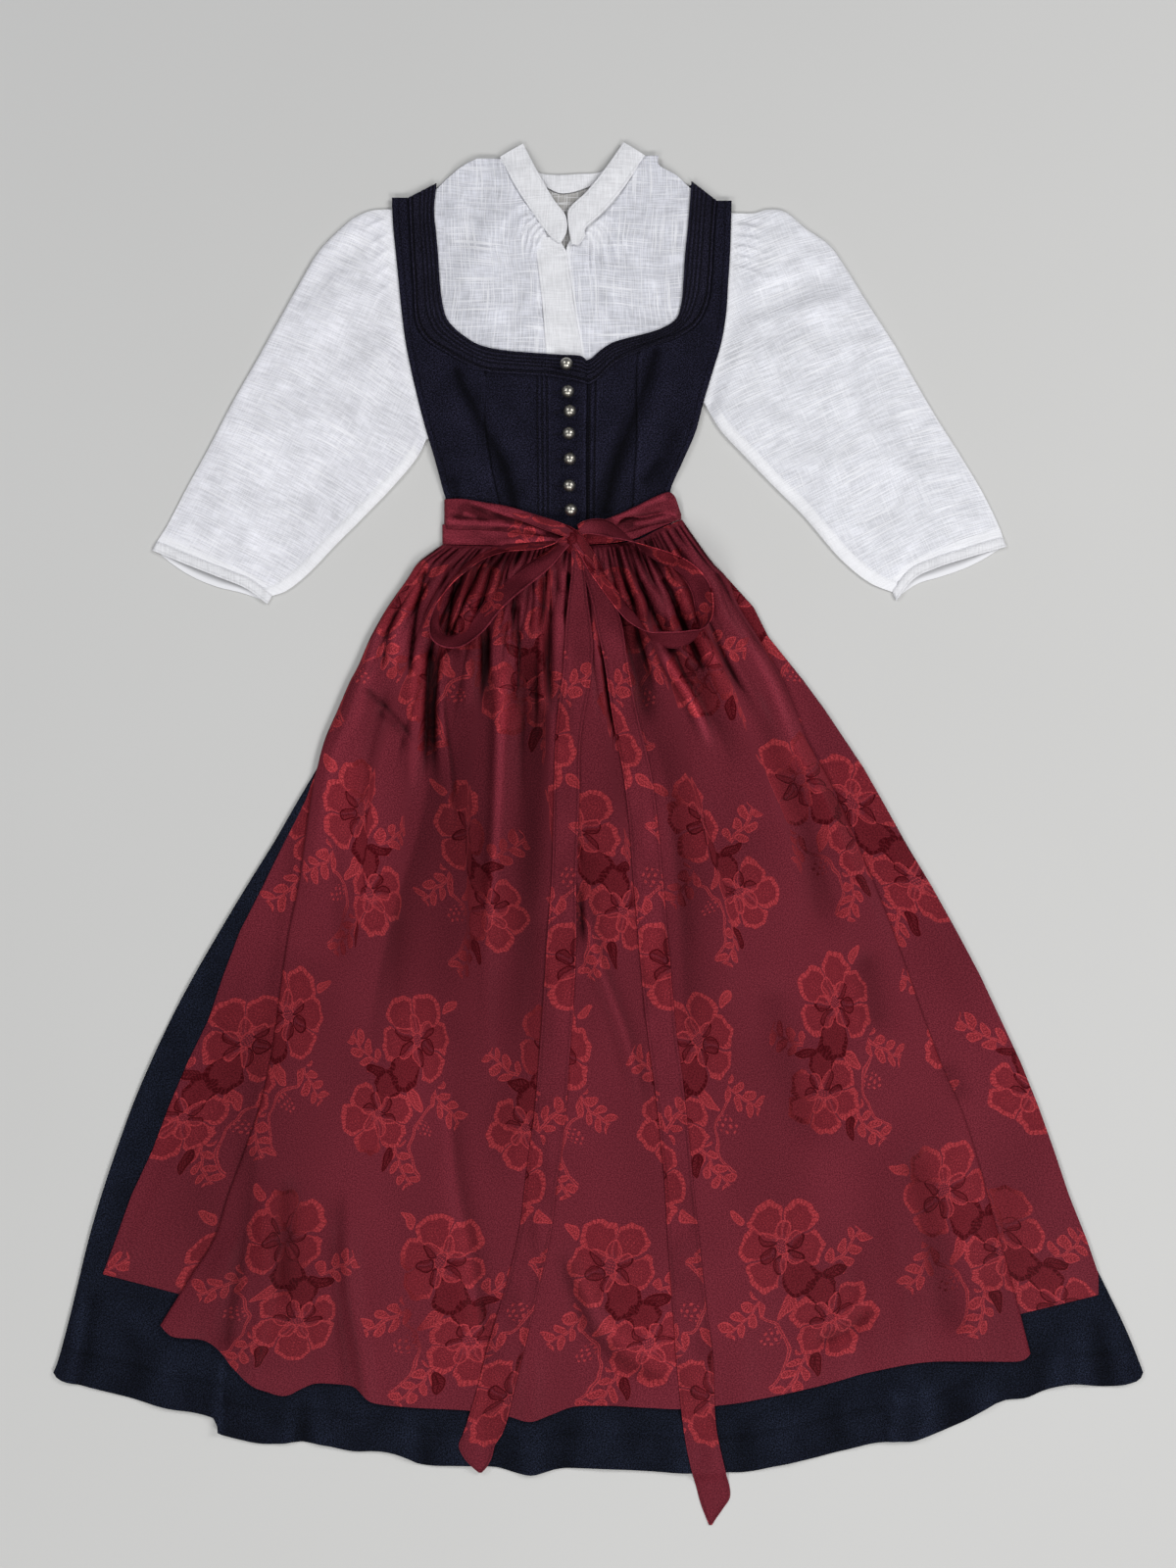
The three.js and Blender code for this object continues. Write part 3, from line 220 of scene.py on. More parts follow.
# ------------------------------------------------------------------ meshes
def make_object(name, verts_mm, quads, tris=None, uv=None, smooth=True, sharp=55):
    v = np.asarray(verts_mm, float).copy()
    v[:, 0] = (v[:, 0] + SX) * MM
    v[:, 1] = (v[:, 1] + SY) * MM
    v[:, 2] *= MM
    quads = np.asarray(quads, np.int32).reshape(-1, 4) if quads is not None and len(quads) else np.zeros((0, 4), np.int32)
    tris = np.asarray(tris, np.int32).reshape(-1, 3) if tris is not None and len(tris) else np.zeros((0, 3), np.int32)
    me = bpy.data.meshes.new(name)
    me.vertices.add(len(v))
    me.vertices.foreach_set("co", v.astype(np.float32).ravel())
    nl = quads.size + tris.size
    me.loops.add(nl)
    me.loops.foreach_set("vertex_index", np.concatenate([quads.ravel(), tris.ravel()]))
    npoly = len(quads) + len(tris)
    me.polygons.add(npoly)
    starts = np.concatenate([np.arange(len(quads)) * 4, quads.size + np.arange(len(tris)) * 3])
    me.polygons.foreach_set("loop_start", starts.astype(np.int32))
    me.update(calc_edges=True)
    me.validate()
    if uv is not None:
        lay = me.uv_layers.new(name="cloth")
        idx = np.empty(len(me.loops), np.int32)
        me.loops.foreach_get("vertex_index", idx)
        lay.data.foreach_set("uv", np.asarray(uv, np.float32)[idx].ravel())
    if smooth:
        me.polygons.foreach_set("use_smooth", np.ones(len(me.polygons), bool))
        me.set_sharp_from_angle(angle=math.radians(sharp))
    o = bpy.data.objects.new(name, me)
    bpy.context.scene.collection.objects.link(o)
    return o


def grid_faces(nv, nu, off=0, flip=False, js=None, is_=None):
    js = np.arange(nv) if js is None else js
    is_ = np.arange(nu) if is_ is None else is_
    a = off + js[:-1, None] * nu + is_[None, :-1]
    b = off + js[1:, None] * nu + is_[None, :-1]
    c = off + js[1:, None] * nu + is_[None, 1:]
    d = off + js[:-1, None] * nu + is_[None, 1:]
    q = np.stack([a, b, c, d] if not flip else [a, d, c, b], -1)
    return q.reshape(-1, 4)


def shell(name, top, bot, uv=None, step=2, sharp=55, attrs=None):
    """Closed wall: a fine upper grid and a coarser lower grid, joined round the rim."""
    nv, nu = top.shape[:2]
    js = np.unique(np.concatenate([np.arange(0, nv, step), [nv - 1]]))
    is_ = np.unique(np.concatenate([np.arange(0, nu, step), [nu - 1]]))
    nb_v, nb_u = len(js), len(is_)
    low = bot[np.ix_(js, is_)]
    verts = np.vstack([top.reshape(-1, 3), low.reshape(-1, 3)])
    off = nv * nu
    quads = [grid_faces(nv, nu), grid_faces(nb_v, nb_u, off, flip=True)]
    tris = []

    def rim(line_top, marks, line_low, rev):
        # line_top: indices of the fine rim; marks: positions in it of the coarse rim
        for m in range(len(marks) - 1):
            a, b = marks[m], marks[m + 1]
            la, lb = line_low[m], line_low[m + 1]
            mid = (a + b) // 2
            for k in range(a, b):
                t = [line_top[k], line_top[k + 1], la if k < mid or b - a == 1 else lb]
                tris.append(t[::-1] if rev else t)
            t = [line_top[mid if b - a > 1 else b], lb, la]
            tris.append(t[::-1] if rev else t)

    topi = np.arange(nv * nu).reshape(nv, nu)
    lowi = off + np.arange(nb_v * nb_u).reshape(nb_v, nb_u)
    rim(topi[0], is_, lowi[0], False)
    rim(topi[-1], is_, lowi[-1], True)
    rim(topi[:, 0], js, lowi[:, 0], True)
    rim(topi[:, -1], js, lowi[:, -1], False)
    uvs = None
    if uv is not None:
        uvs = np.vstack([uv.reshape(-1, 2), uv[np.ix_(js, is_)].reshape(-1, 2)])
    o = make_object(name, verts, np.vstack(quads), tris, uvs, sharp=sharp)
    for key, val in (attrs or {}).items():
        at = o.data.attributes.new(key, "FLOAT", "POINT")
        full = np.concatenate([val.ravel(), val[np.ix_(js, is_)].ravel()])
        at.data.foreach_set("value", full.astype(np.float32))
    return o


def paint(o, key, val):
    """Write a point value on a mesh's first vertices, zero on the rest."""
    at = o.data.attributes.new(key, "FLOAT", "POINT")
    full = np.zeros(len(o.data.vertices), np.float32)
    full[:val.size] = val.ravel()
    at.data.foreach_set("value", full)


def normals(P):
    du = np.gradient(P, axis=1)
    dv = np.gradient(P, axis=0)
    n = np.cross(dv, du)
    n /= np.maximum(1e-9, np.linalg.norm(n, axis=-1, keepdims=True))
    return n


def edge_steps(n, width, first=0.35, extra=(0.35, 0.9, 1.8)):
    """0..1 with n even cells and a few closer ones near both ends, for rounded edges."""
    u = np.linspace(0, 1, n + 1)
    e = np.array(extra) / width
    u = np.unique(np.concatenate([u, e, 1 - e]))
    keep = [0]
    for x in u[1:-1]:
        if x - u[keep[-1]] > 0.2 / width if False else True:
            keep.append(int(np.where(u == x)[0][0]))
    keep.append(len(u) - 1)
    u = u[keep]
    if len(u) % 2 == 0:      # an even number of cells
        k = len(u) // 2
        u = np.insert(u, k, (u[k - 1] + u[k]) / 2)
    return u


def round_rim(us, vs, wu, wv, t, edges="lrtb"):
    """How far the upper face drops near the rim so that the cloth's edge is rounded."""
    r = 1.5
    big = np.full((len(vs), len(us)), 1e3)
    du_l, du_r = us[None, :] * wu, (1 - us[None, :]) * wu
    dv_t, dv_b = vs[:, None] * wv, (1 - vs[:, None]) * wv
    for key, d in (("l", du_l), ("r", du_r), ("t", dv_t), ("b", dv_b)):
        if key in edges:
            big = np.minimum(big, d + np.zeros_like(big))
    q = np.clip(1 - big / r, 0, 1)
    return t * 0.62 * (1 - np.sqrt(np.clip(1 - q * q, 0, 1)))


def flat_piece(name, X, Y, Z, t, uv=None, rim=None, step=2, sharp=55, attrs=None):
    top = np.stack([X, Y, Z + t - (rim if rim is not None else 0)], -1)
    bot = np.stack([X, Y, Z], -1)
    return shell(name, top, bot, uv, step, sharp, attrs)


def soften(A, r, axis):
    k = np.exp(-0.5 * (np.arange(-3 * r, 3 * r + 1) / r) ** 2)
    k /= k.sum()
    B = np.pad(A, [(3 * r, 3 * r) if i == axis else (0, 0) for i in (0, 1)], mode="edge")
    return np.apply_along_axis(lambda q: np.convolve(q, k, "valid"), axis, B)


def strokes(x, y, table):
    """Darkness of shade strokes: (line, width left of its run, width right, amount,
    start, end); each is soft, and the strokes multiply."""
    lit = np.ones_like(x)
    for line, wl, wr, amount, e0, e1 in table:
        pts = smooth_points(line, 14) if len(line) > 2 else line
        d, t, side = seg_dist(x, y, pts)
        w = np.where(side > 0, wl, wr)
        fade = (sstep(0, e0, t) if e0 > 0 else 1) * (1 - sstep(1 - e1, 1, t) if e1 > 0 else 1)
        lit = lit * (1 - amount * fade * np.exp(-(d / w) ** 2))
    return 1 - lit


def ring_mesh(name, outer, inner=None, uv=None, caps=False, sharp=60):
    """Tube from closed rings (rows). With inner rings it is a wall open at both ends."""
    n, m = outer.shape[:2]
    idx = np.arange(n * m).reshape(n, m)
    nxt = np.roll(idx, -1, axis=1)
    quads = [np.stack([idx[:-1], nxt[:-1], nxt[1:], idx[1:]], -1).reshape(-1, 4)]
    verts = [outer.reshape(-1, 3)]
    tris = []
    uvs = [uv.reshape(-1, 2)] if uv is not None else None
    if inner is not None:
        k, mi = inner.shape[:2]
        off = n * m
        ii = off + np.arange(k * mi).reshape(k, mi)
        ni = np.roll(ii, -1, axis=1)
        quads.append(np.stack([ii[:-1], ii[1:], ni[1:], ni[:-1]], -1).reshape(-1, 4))
        verts.append(inner.reshape(-1, 3))
        step = m // mi
        for row, rin, rev in ((idx[0], ii[0], True), (idx[-1], ii[-1], False)):
            for a in range(mi):
                b = (a + 1) % mi
                for s in range(step):
                    f0, f1 = row[(a * step + s) % m], row[(a * step + s + 1) % m]
                    anchor = rin[a] if s < (step + 1) // 2 else rin[b]
                    t = [f0, f1, anchor]
                    tris.append(t if rev is False else t[::-1])
                midf = row[(a * step + (step + 1) // 2) % m]
                t = [midf, rin[b], rin[a]]
                tris.append(t if rev is False else t[::-1])
        if uvs is not None:
            uvs.append(np.zeros((k * mi, 2)))
    elif caps:
        v = np.vstack(verts)
        for row, rev in ((idx[0], False), (idx[-1], True)):
            c = len(v)
            v = np.vstack([v, v[row].mean(0)])
            for a in range(m):
                t = [row[(a + 1) % m], row[a], c]
                tris.append(t[::-1] if rev else t)
        verts = [v]
        if uvs is not None:
            uvs.append(np.zeros((2, 2)))
    return make_object(name, np.vstack(verts), np.vstack(quads), tris,
                       np.vstack(uvs) if uvs is not None else None, sharp=sharp)


def fix_normals(o):
    import bmesh
    bm = bmesh.new()
    bm.from_mesh(o.data)
    bmesh.ops.recalc_face_normals(bm, faces=bm.faces)
    bm.to_mesh(o.data)
    bm.free()
    o.data.set_sharp_from_angle(angle=math.radians(60))


# ------------------------------------------------------------------ shader kit
class Mat:
    def __init__(self, name):
        self.m = bpy.data.materials.new(name)
        self.m.use_nodes = True
        self.t = self.m.node_tree
        self.t.nodes.clear()
        self.out = self.node("ShaderNodeOutputMaterial")
        self.b = self.node("ShaderNodeBsdfPrincipled")
        self.t.links.new(self.b.outputs[0], self.out.inputs[0])

    def node(self, kind, **kw):
        n = self.t.nodes.new(kind)
        for k, v in kw.items():
            setattr(n, k, v)
        return n

    def put(self, sock, v):
        if isinstance(v, bpy.types.NodeSocket):
            self.t.links.new(v, sock)
        elif v is not None:
            sock.default_value = v

    def math(self, op, a, b=None, c=None, clamp=False):
        n = self.node("ShaderNodeMath", operation=op, use_clamp=clamp)
        for s, v in zip(n.inputs, (a, b, c)):
            self.put(s, v)
        return n.outputs[0]

    def add(self, a, b): return self.math("ADD", a, b)
    def sub(self, a, b): return self.math("SUBTRACT", a, b)
    def mul(self, a, b, clamp=False): return self.math("MULTIPLY", a, b, clamp=clamp)
    def div(self, a, b): return self.math("DIVIDE", a, b)
    def mad(self, a, b, c): return self.math("MULTIPLY_ADD", a, b, c)
    def mx(self, a, b): return self.math("MAXIMUM", a, b)
    def mn(self, a, b): return self.math("MINIMUM", a, b)
    def ab(self, a): return self.math("ABSOLUTE", a)

    def ramp(self, x, a, b, lo=0.0, hi=1.0, smooth=True):
        n = self.node("ShaderNodeMapRange", interpolation_type="SMOOTHSTEP" if smooth else "LINEAR")
        self.put(n.inputs["Value"], x)
        for k, v in (("From Min", a), ("From Max", b), ("To Min", lo), ("To Max", hi)):
            n.inputs[k].default_value = v
        return n.outputs["Result"]

    def uv(self):
        n = self.node("ShaderNodeUVMap", uv_map="cloth")
        return n.outputs[0]

    def obj(self):
        return self.node("ShaderNodeTexCoord").outputs["Object"]

    def attr(self, name):
        return self.node("ShaderNodeAttribute", attribute_name=name).outputs["Fac"]

    def sep(self, v):
        n = self.node("ShaderNodeSeparateXYZ")
        self.put(n.inputs[0], v)
        return n.outputs[0], n.outputs[1], n.outputs[2]

    def vec(self, x=0.0, y=0.0, z=0.0):
        n = self.node("ShaderNodeCombineXYZ")
        for s, v in zip(n.inputs, (x, y, z)):
            self.put(s, v)
        return n.outputs[0]

    def scale(self, v, s):
        n = self.node("ShaderNodeVectorMath", operation="MULTIPLY")
        self.put(n.inputs[0], v)
        n.inputs[1].default_value = s
        return n.outputs[0]

    def noise(self, v, scale=1.0, detail=2.0, rough=0.5, dist=0.0, out="Fac"):
        n = self.node("ShaderNodeTexNoise")
        self.put(n.inputs["Vector"], v)
        n.inputs["Scale"].default_value = scale
        n.inputs["Detail"].default_value = detail
        n.inputs["Roughness"].default_value = rough
        n.inputs["Distortion"].default_value = dist
        return n.outputs[out]

    def noise2(self, x, y, seed=0.0, detail=1.0, rough=0.5, out="Fac"):
        n = self.node("ShaderNodeTexNoise", noise_dimensions="2D")
        self.put(n.inputs["Vector"], self.vec(self.add(x, 17.31 * seed), self.add(y, 5.77 * seed), 0.0))
        n.inputs["Scale"].default_value = 1.0
        n.inputs["Detail"].default_value = detail
        n.inputs["Roughness"].default_value = rough
        return n.outputs[out]

    def shaded(self, col, key, strength):
        """Colour times 1 + strength * a point value (0 where the mesh has none): painted light and shade."""
        f = self.mx(self.mad(self.attr(key), strength, 1.0), 0.05)
        return self.mixc(1.0, col, self.vec(f, f, f), "MULTIPLY")

    def mixc(self, f, a, b, mode="MIX"):
        n = self.node("ShaderNodeMix", data_type="RGBA", blend_type=mode)
        self.put(n.inputs[0], f)
        for s, v in ((n.inputs[6], a), (n.inputs[7], b)):
            if isinstance(v, (tuple, list)):
                s.default_value = (*v[:3], 1.0)
            else:
                self.put(s, v)
        return n.outputs[2]

    def mixf(self, f, a, b):
        n = self.node("ShaderNodeMix", data_type="FLOAT")
        self.put(n.inputs[0], f)
        self.put(n.inputs[2], a)
        self.put(n.inputs[3], b)
        return n.outputs[0]

    def bump(self, h, strength=1.0, dist=0.0005):
        n = self.node("ShaderNodeBump")
        n.inputs["Strength"].default_value = strength
        n.inputs["Distance"].default_value = dist
        self.put(n.inputs["Height"], h)
        self.t.links.new(n.outputs[0], self.b.inputs["Normal"])

    def set(self, **kw):
        names = dict(color="Base Color", rough="Roughness", metal="Metallic", spec="Specular IOR Level",
                     sheen="Sheen Weight", sheen_rough="Sheen Roughness", sheen_tint="Sheen Tint",
                     aniso="Anisotropic", coat="Coat Weight", coat_rough="Coat Roughness", ior="IOR",
                     alpha="Alpha", spec_tint="Specular Tint")
        for k, v in kw.items():
            s = self.b.inputs[names[k]]
            if isinstance(v, (tuple, list)):
                s.default_value = (*v[:3], 1.0)
            else:
                self.put(s, v)


def mat_wool(name, tint=(0.0047, 0.0061, 0.0120), seed=0.0):
    """Matte worsted twill: fine mottled yarns with a faint diagonal rib."""
    m = Mat(name)
    mm = m.scale(m.obj(), (1000, 1000, 1000))
    x, y, z = m.sep(mm)
    diag = m.add(m.mul(x, 0.78), m.mul(y, 0.62))
    cross = m.sub(m.mul(y, 0.78), m.mul(x, 0.62))
    grain = m.noise2(m.mul(diag, 1.05), m.mul(cross, 0.62), seed, 2.0, 0.8)
    speck = m.noise2(m.mul(x, 0.62), m.mul(y, 0.62), seed + 1.0, 2.0, 0.8)
    cloudy = m.noise2(m.mul(x, 0.03), m.mul(y, 0.03), seed + 2.0, 2.0, 0.6)
    lum = m.add(m.mul(m.ramp(grain, 0.42, 0.66), 0.55), m.mul(m.ramp(speck, 0.42, 0.68), 0.60))
    lum = m.mul(lum, m.ramp(cloudy, 0.3, 0.7, 0.85, 1.15))
    col = m.mixc(m.math("MULTIPLY", lum, 0.9, clamp=True), tuple(c * 0.10 for c in tint), tuple(c * 3.10 for c in tint))
    # painted light and shade from the mesh's 'shade' values: darker in fold hollows, seams and stitch grooves, lighter
    # on ridges
    col = m.shaded(col, "shade", 1.0)
    m.set(color=col, rough=m.mixf(grain, 0.84, 0.96), spec=0.07, sheen=0.02, sheen_rough=0.5,
          sheen_tint=(0.55, 0.6, 0.85))
    rib = m.math("SINE", m.mad(diag, 2 * math.pi / 1.9, m.mul(speck, 4.0)))
    m.bump(m.add(m.mul(rib, 0.14), m.add(m.mul(speck, 0.6), m.mul(grain, 0.9))), 0.42, 0.0003)
    return m.m


def mat_thread(name, color, rough=0.7, spec=0.2):
    m = Mat(name)
    o = m.scale(m.obj(), (1500, 1500, 1500))
    n = m.noise(o, 1.0, 2.0)
    m.set(color=m.mixc(n, tuple(c * 0.7 for c in color), tuple(c * 1.25 for c in color)), rough=rough, spec=spec)
    m.bump(n, 0.4, 0.0001)
    return m.m


def mat_voile(name, base=(0.72, 0.725, 0.79), weft=1.0, warp=1.0, depth=1.0):
    """White slub voile: an open plain weave, thick and thin yarns both ways, closer and looser
    places, and whiter wherever the cloth lies double."""
    m = Mat(name)
    u, v, _ = m.sep(m.uv())            # millimetres of cloth
    a = m.mad(m.noise2(m.mul(u, 0.012), m.mul(v, 0.012), 3.0, 0.0), 9.0, u)
    b = m.mad(m.noise2(m.mul(u, 0.013), m.mul(v, 0.011), 9.0, 0.0), 9.0, v)

    def yarns(across, along, z, run):
        fine = m.noise2(m.mul(across, 0.80), m.mul(along, 1 / run), z, 1.0, 0.7)
        slub = m.noise2(m.mul(across, 0.74), m.mul(along, 0.30 / run), z + 20.0, 0.0)
        return m.ramp(fine, 0.30, 0.70), m.ramp(slub, 0.61, 0.74)

    f1, s1 = yarns(b, a, 1.0, 22.0)
    f2, s2 = yarns(a, b, 5.0, 18.0)
    cloud = m.ramp(m.noise2(m.mul(a, 0.022 + 0.02 * warp), m.mul(b, 0.055), 11.0, 1.0, 0.55), 0.30, 0.70)
    total = weft + warp
    weave = m.add(m.mul(f1, weft / total), m.mul(f2, warp / total))
    slubs = m.mx(m.mul(s1, min(1.0, weft)), m.mul(s2, min(1.0, warp)))
    close = m.add(m.mul(weave, 0.78), m.mul(cloud, 0.22))
    dark = tuple(c * (1 - 0.30 * depth) for c in base)
    light = tuple(min(0.93, c * (1 + 0.14 * depth)) for c in base)
    col = m.mixc(close, dark, light)
    col = m.mixc(m.mul(slubs, 0.60 * min(1.0, depth)), col, (0.90, 0.905, 0.94))
    col = m.mixc(m.mul(m.attr("dense"), 0.72), col, (0.86, 0.865, 0.895))
    # painted light and shade from the mesh's 'shade' values on the folds
    col = m.shaded(col, "shade", 1.0)
    m.set(color=col, rough=0.85, spec=0.15, sheen=0.08, sheen_rough=0.6)
    m.bump(m.add(m.mul(slubs, 0.8), m.mul(weave, 0.7)), 0.55, 0.0005)
    return m.m


def jacquard(m, u, v):
    """A half-drop bouquet in millimetres of cloth: two open blossoms with leaf pairs, buds, berries
    and double-line stems on clear ground. Returns the bright thread cover and the figures' mask."""
    W, H = 178.0, 222.0
    row = m.math("FLOOR", m.div(v, H))
    odd = m.math("FLOORED_MODULO", row, 2.0)
    us = m.mad(odd, W * 0.5, u)
    px = m.sub(m.math("FLOORED_MODULO", us, W), W * 0.5)
    py = m.sub(m.math("FLOORED_MODULO", v, H), H * 0.5)
    px = m.mul(px, m.sub(1.0, m.mul(odd, 2.0)))
    wn = m.noise2(m.mul(u, 0.06), m.mul(v, 0.06), 1.7, 0.0, out="Color")
    wx, wy, _ = m.sep(wn)
    px = m.mad(m.sub(wx, 0.5), 7.0, px)
    py = m.mad(m.sub(wy, 0.5), 7.0, py)
    threads, petals, darks = [], [], []

    def local(cx, cy, rot, sx=1.0):
        dx, dy = m.sub(px, cx), m.sub(py, cy)
        c, s = math.cos(rot), math.sin(rot)
        return m.add(m.mul(dx, c * sx), m.mul(dy, s * sx)), m.sub(m.mul(dy, c), m.mul(dx, s))

    def hyp(a, b):
        return m.math("SQRT", m.add(m.mul(a, a), m.mul(b, b)))

    def blossom(cx, cy, R, n, rot, squash=1.0):
        p, q = local(cx, cy, rot, squash)
        r = hyp(p, q)
        a = m.mul(m.math("ARCTAN2", q, p), n / (2 * math.pi))
        k = m.math("FLOOR", a)
        vary = m.math("SINE", m.mad(k, 2.4, rot))
        t = m.sub(m.sub(a, k), m.mad(vary, 0.045, 0.5))
        size = m.mad(vary, 0.11, 1.0)
        ph = m.mul(t, 2 * math.pi / n)
        X = m.div(m.mul(r, m.math("COSINE", ph)), size)
        Y = m.mul(r, m.math("SINE", ph))
        ex = m.div(m.sub(X, R * 0.61), R * 0.39)
        wide = R * math.tan(math.pi / n) * 0.53
        ey = m.div(Y, m.mad(X, 0.13, wide))
        ang = m.math("ARCTAN2", ey, ex)
        # softly scalloped edge, and the line where a petal meets its neighbour
        d = m.mul(m.sub(hyp(ex, ey), 1.0), R * 0.37)
        d = m.mad(m.math("SINE", m.mad(ang, 8.0, m.mul(k, 1.7))), 0.6, d)
        meet = m.mul(m.mul(m.sub(m.ab(m.mul(t, 2.0)), 1.0), r), math.pi / n)
        body = m.mul(m.ramp(d, -0.4, 0.4, 1.0, 0.0), m.ramp(meet, -0.9, -0.4, 1.0, 0.0))
        petals.append(body)
        hatch = m.ramp(m.math("SINE", m.mul(ang, 26.0)), -0.9, 0.3, 0.40, 1.0)
        rim = m.mx(m.mul(m.ramp(d, -4.9, -3.9), hatch), m.ramp(meet, -2.3, -1.4, 0.0, 0.75))
        rows = m.mul(m.ramp(m.math("SINE", m.mul(Y, 2 * math.pi / 3.6)), 0.1, 0.8),
                     m.ramp(m.math("SINE", m.mul(X, 2 * math.pi / 3.2)), -0.1, 0.6))
        rows = m.mul(rows, m.ramp(d, -R * 0.27, -R * 0.18, 0.50, 0.0))
        t2 = m.sub(m.math("FRACT", m.add(a, 0.52)), 0.5)
        ph2 = m.mul(t2, 2 * math.pi / n)
        ex2 = m.div(m.sub(m.mul(r, m.math("COSINE", ph2)), R * 0.33), R * 0.21)
        ey2 = m.div(m.mul(r, m.math("SINE", ph2)), R * 0.145)
        d2 = m.mul(m.sub(hyp(ex2, ey2), 1.0), R * 0.18)
        cup = m.ramp(d2, -0.3, 0.4, 1.0, 0.0)
        rim2 = m.mx(m.ramp(d2, -2.0, -1.3), m.ramp(m.math("SINE", m.mul(ey2, 9.0)), 0.0, 0.7, 0.0, 0.55))
        th1 = m.mul(m.mul(m.mx(rim, rows), body), m.sub(1.0, cup))
        threads.append(m.mx(th1, m.mul(cup, rim2)))
        darks.append(m.mul(m.mul(body, m.math("GREATER_THAN", vary, 0.45)), m.sub(1.0, cup)))
        darks.append(m.mul(cup, m.math("LESS_THAN", vary, -0.35)))
        fan = m.mul(m.ramp(m.math("SINE", m.mul(ph, 9.0 * n)), -0.3, 0.6), m.ramp(r, R * 0.18, R * 0.30, 0.6, 0.0))
        c0 = m.sub(hyp(m.mul(p, 1.2), m.sub(q, R * 0.03)), R * 0.15)
        seed = m.mul(m.ramp(m.mul(m.math("SINE", m.mul(p, 1.9)), m.math("SINE", m.mul(q, 1.9))), 0.1, 0.4), 0.8)
        return c0, seed, fan

    def leaf_body(x, y, L, Wd, weight=1.0):
        t = m.div(x, L)
        tt = m.mx(m.mul(t, m.sub(1.0, t)), 0.0)
        half = m.mul(m.mul(m.math("SQRT", tt), m.mad(t, -0.5, 1.15)), Wd)
        ay = m.ab(y)
        d = m.sub(ay, half)
        body = m.mul(m.ramp(d, -0.4, 0.4, 1.0, 0.0), m.ramp(tt, 0.0, 0.004))
        petals.append(body)
        vein = m.ramp(m.math("SINE", m.mul(m.sub(x, m.mul(ay, 1.1)), 2 * math.pi / 3.3)), -0.3, 0.6, 0.15, 0.85)
        edge = m.mx(m.ramp(d, -2.2, -1.4), m.ramp(ay, 0.35, 0.9, 0.9, 0.0))
        threads.append(m.mul(body, m.mx(edge, vein)))
        if weight < 1:
            darks.append(body)

    def leaf(cx, cy, L, Wd, rot, bend=0.0, weight=1.0):
        p, q = local(cx, cy, rot)
        t = m.div(p, L)
        q = m.sub(q, m.mul(m.mul(t, m.sub(1.0, t)), bend))
        leaf_body(p, q, L, Wd, weight)

    def sprig(cx, cy, L, rot, bend, pitch, leafL, leafW, alpha=0.9):
        """A curved double-line stem with leaves in alternation."""
        p, q = local(cx, cy, rot)
        t = m.div(p, L)
        q = m.sub(q, m.mul(m.mul(t, m.sub(1.0, t)), bend))
        inside = m.mul(m.ramp(t, 0.0, 0.02), m.ramp(t, 0.97, 0.99, 1.0, 0.0))
        threads.append(m.mul(m.ramp(m.ab(m.sub(m.ab(q), 0.85)), 0.35, 0.85, 0.9, 0.0), inside))
        low = m.math("LESS_THAN", q, 0.0)
        pc = m.math("FLOORED_MODULO", m.mad(low, pitch * 0.5, p), pitch)
        aq = m.sub(m.ab(q), 0.6)
        c, s = math.cos(alpha), math.sin(alpha)
        x = m.sub(m.add(m.mul(pc, c), m.mul(aq, s)), 0.4)
        y = m.sub(m.mul(aq, c), m.mul(pc, s))
        tl = m.div(x, leafL)
        tt = m.mx(m.mul(tl, m.sub(1.0, tl)), 0.0)
        half = m.mul(m.math("SQRT", tt), leafW)
        d = m.sub(m.ab(y), half)
        body = m.mul(m.mul(m.ramp(d, -0.4, 0.3, 1.0, 0.0), m.ramp(tt, 0.0, 0.004)), inside)
        petals.append(body)
        vein = m.ramp(m.math("SINE", m.mul(m.sub(x, m.ab(y)), 2 * math.pi / 3.0)), -0.3, 0.6, 0.1, 0.8)
        threads.append(m.mul(body, m.mx(m.ramp(d, -2.0, -1.2), vein)))

    def berries(cx, cy, a, b, rot, pitch=5.6):
        p, q = local(cx, cy, rot)
        mask = m.ramp(hyp(m.div(p, a), m.div(q, b)), 0.88, 1.0, 1.0, 0.0)
        f = m.sub(m.math("FLOORED_MODULO", p, pitch), pitch / 2)
        g = m.sub(m.math("FLOORED_MODULO", m.mad(m.math("FLOOR", m.div(p, pitch)), pitch * 0.5, q), pitch), pitch / 2)
        threads.append(m.mul(m.ramp(hyp(f, g), 1.1, 1.9, 0.9, 0.0), mask))

    def stem(cx, cy, R, rot, open_):
        """Double-line stem along part of a ring; open_ is where the ring is cut, as a share of R."""
        p, q = local(cx, cy, rot)
        d = m.ab(m.sub(hyp(p, q), R))
        line = m.ramp(m.ab(m.sub(d, 1.0)), 0.35, 0.85, 0.9, 0.0)
        threads.append(m.mul(line, m.ramp(p, R * open_, R * open_ + 1.5)))

    c1 = blossom(-15, 42, 50, 6, 0.35)
    c2 = blossom(28, -38, 44, 6, 1.25, 1.05)
    sprig(-42, -6, 46, 3.85, 12, 14.0, 16.0, 9.0)
    sprig(34, 14, 44, 0.62, -12, 14.0, 16.0, 9.0)
    sprig(0, -68, 46, -2.15, 14, 14.0, 15.0, 8.5)
    leaf(-8, -6, 30, 14.0, -2.2, 6)
    leaf(22, 6, 26, 12.0, 0.1, -5, 0.5)
    leaf(6, -70, 26, 12.0, -1.35, 4, 0.5)
    leaf(-50, 74, 22, 11.0, 2.5, -4)
    berries(-32, -46, 12, 9, 0.5)
    stem(-58, -62, 42, 0.1, 0.45)

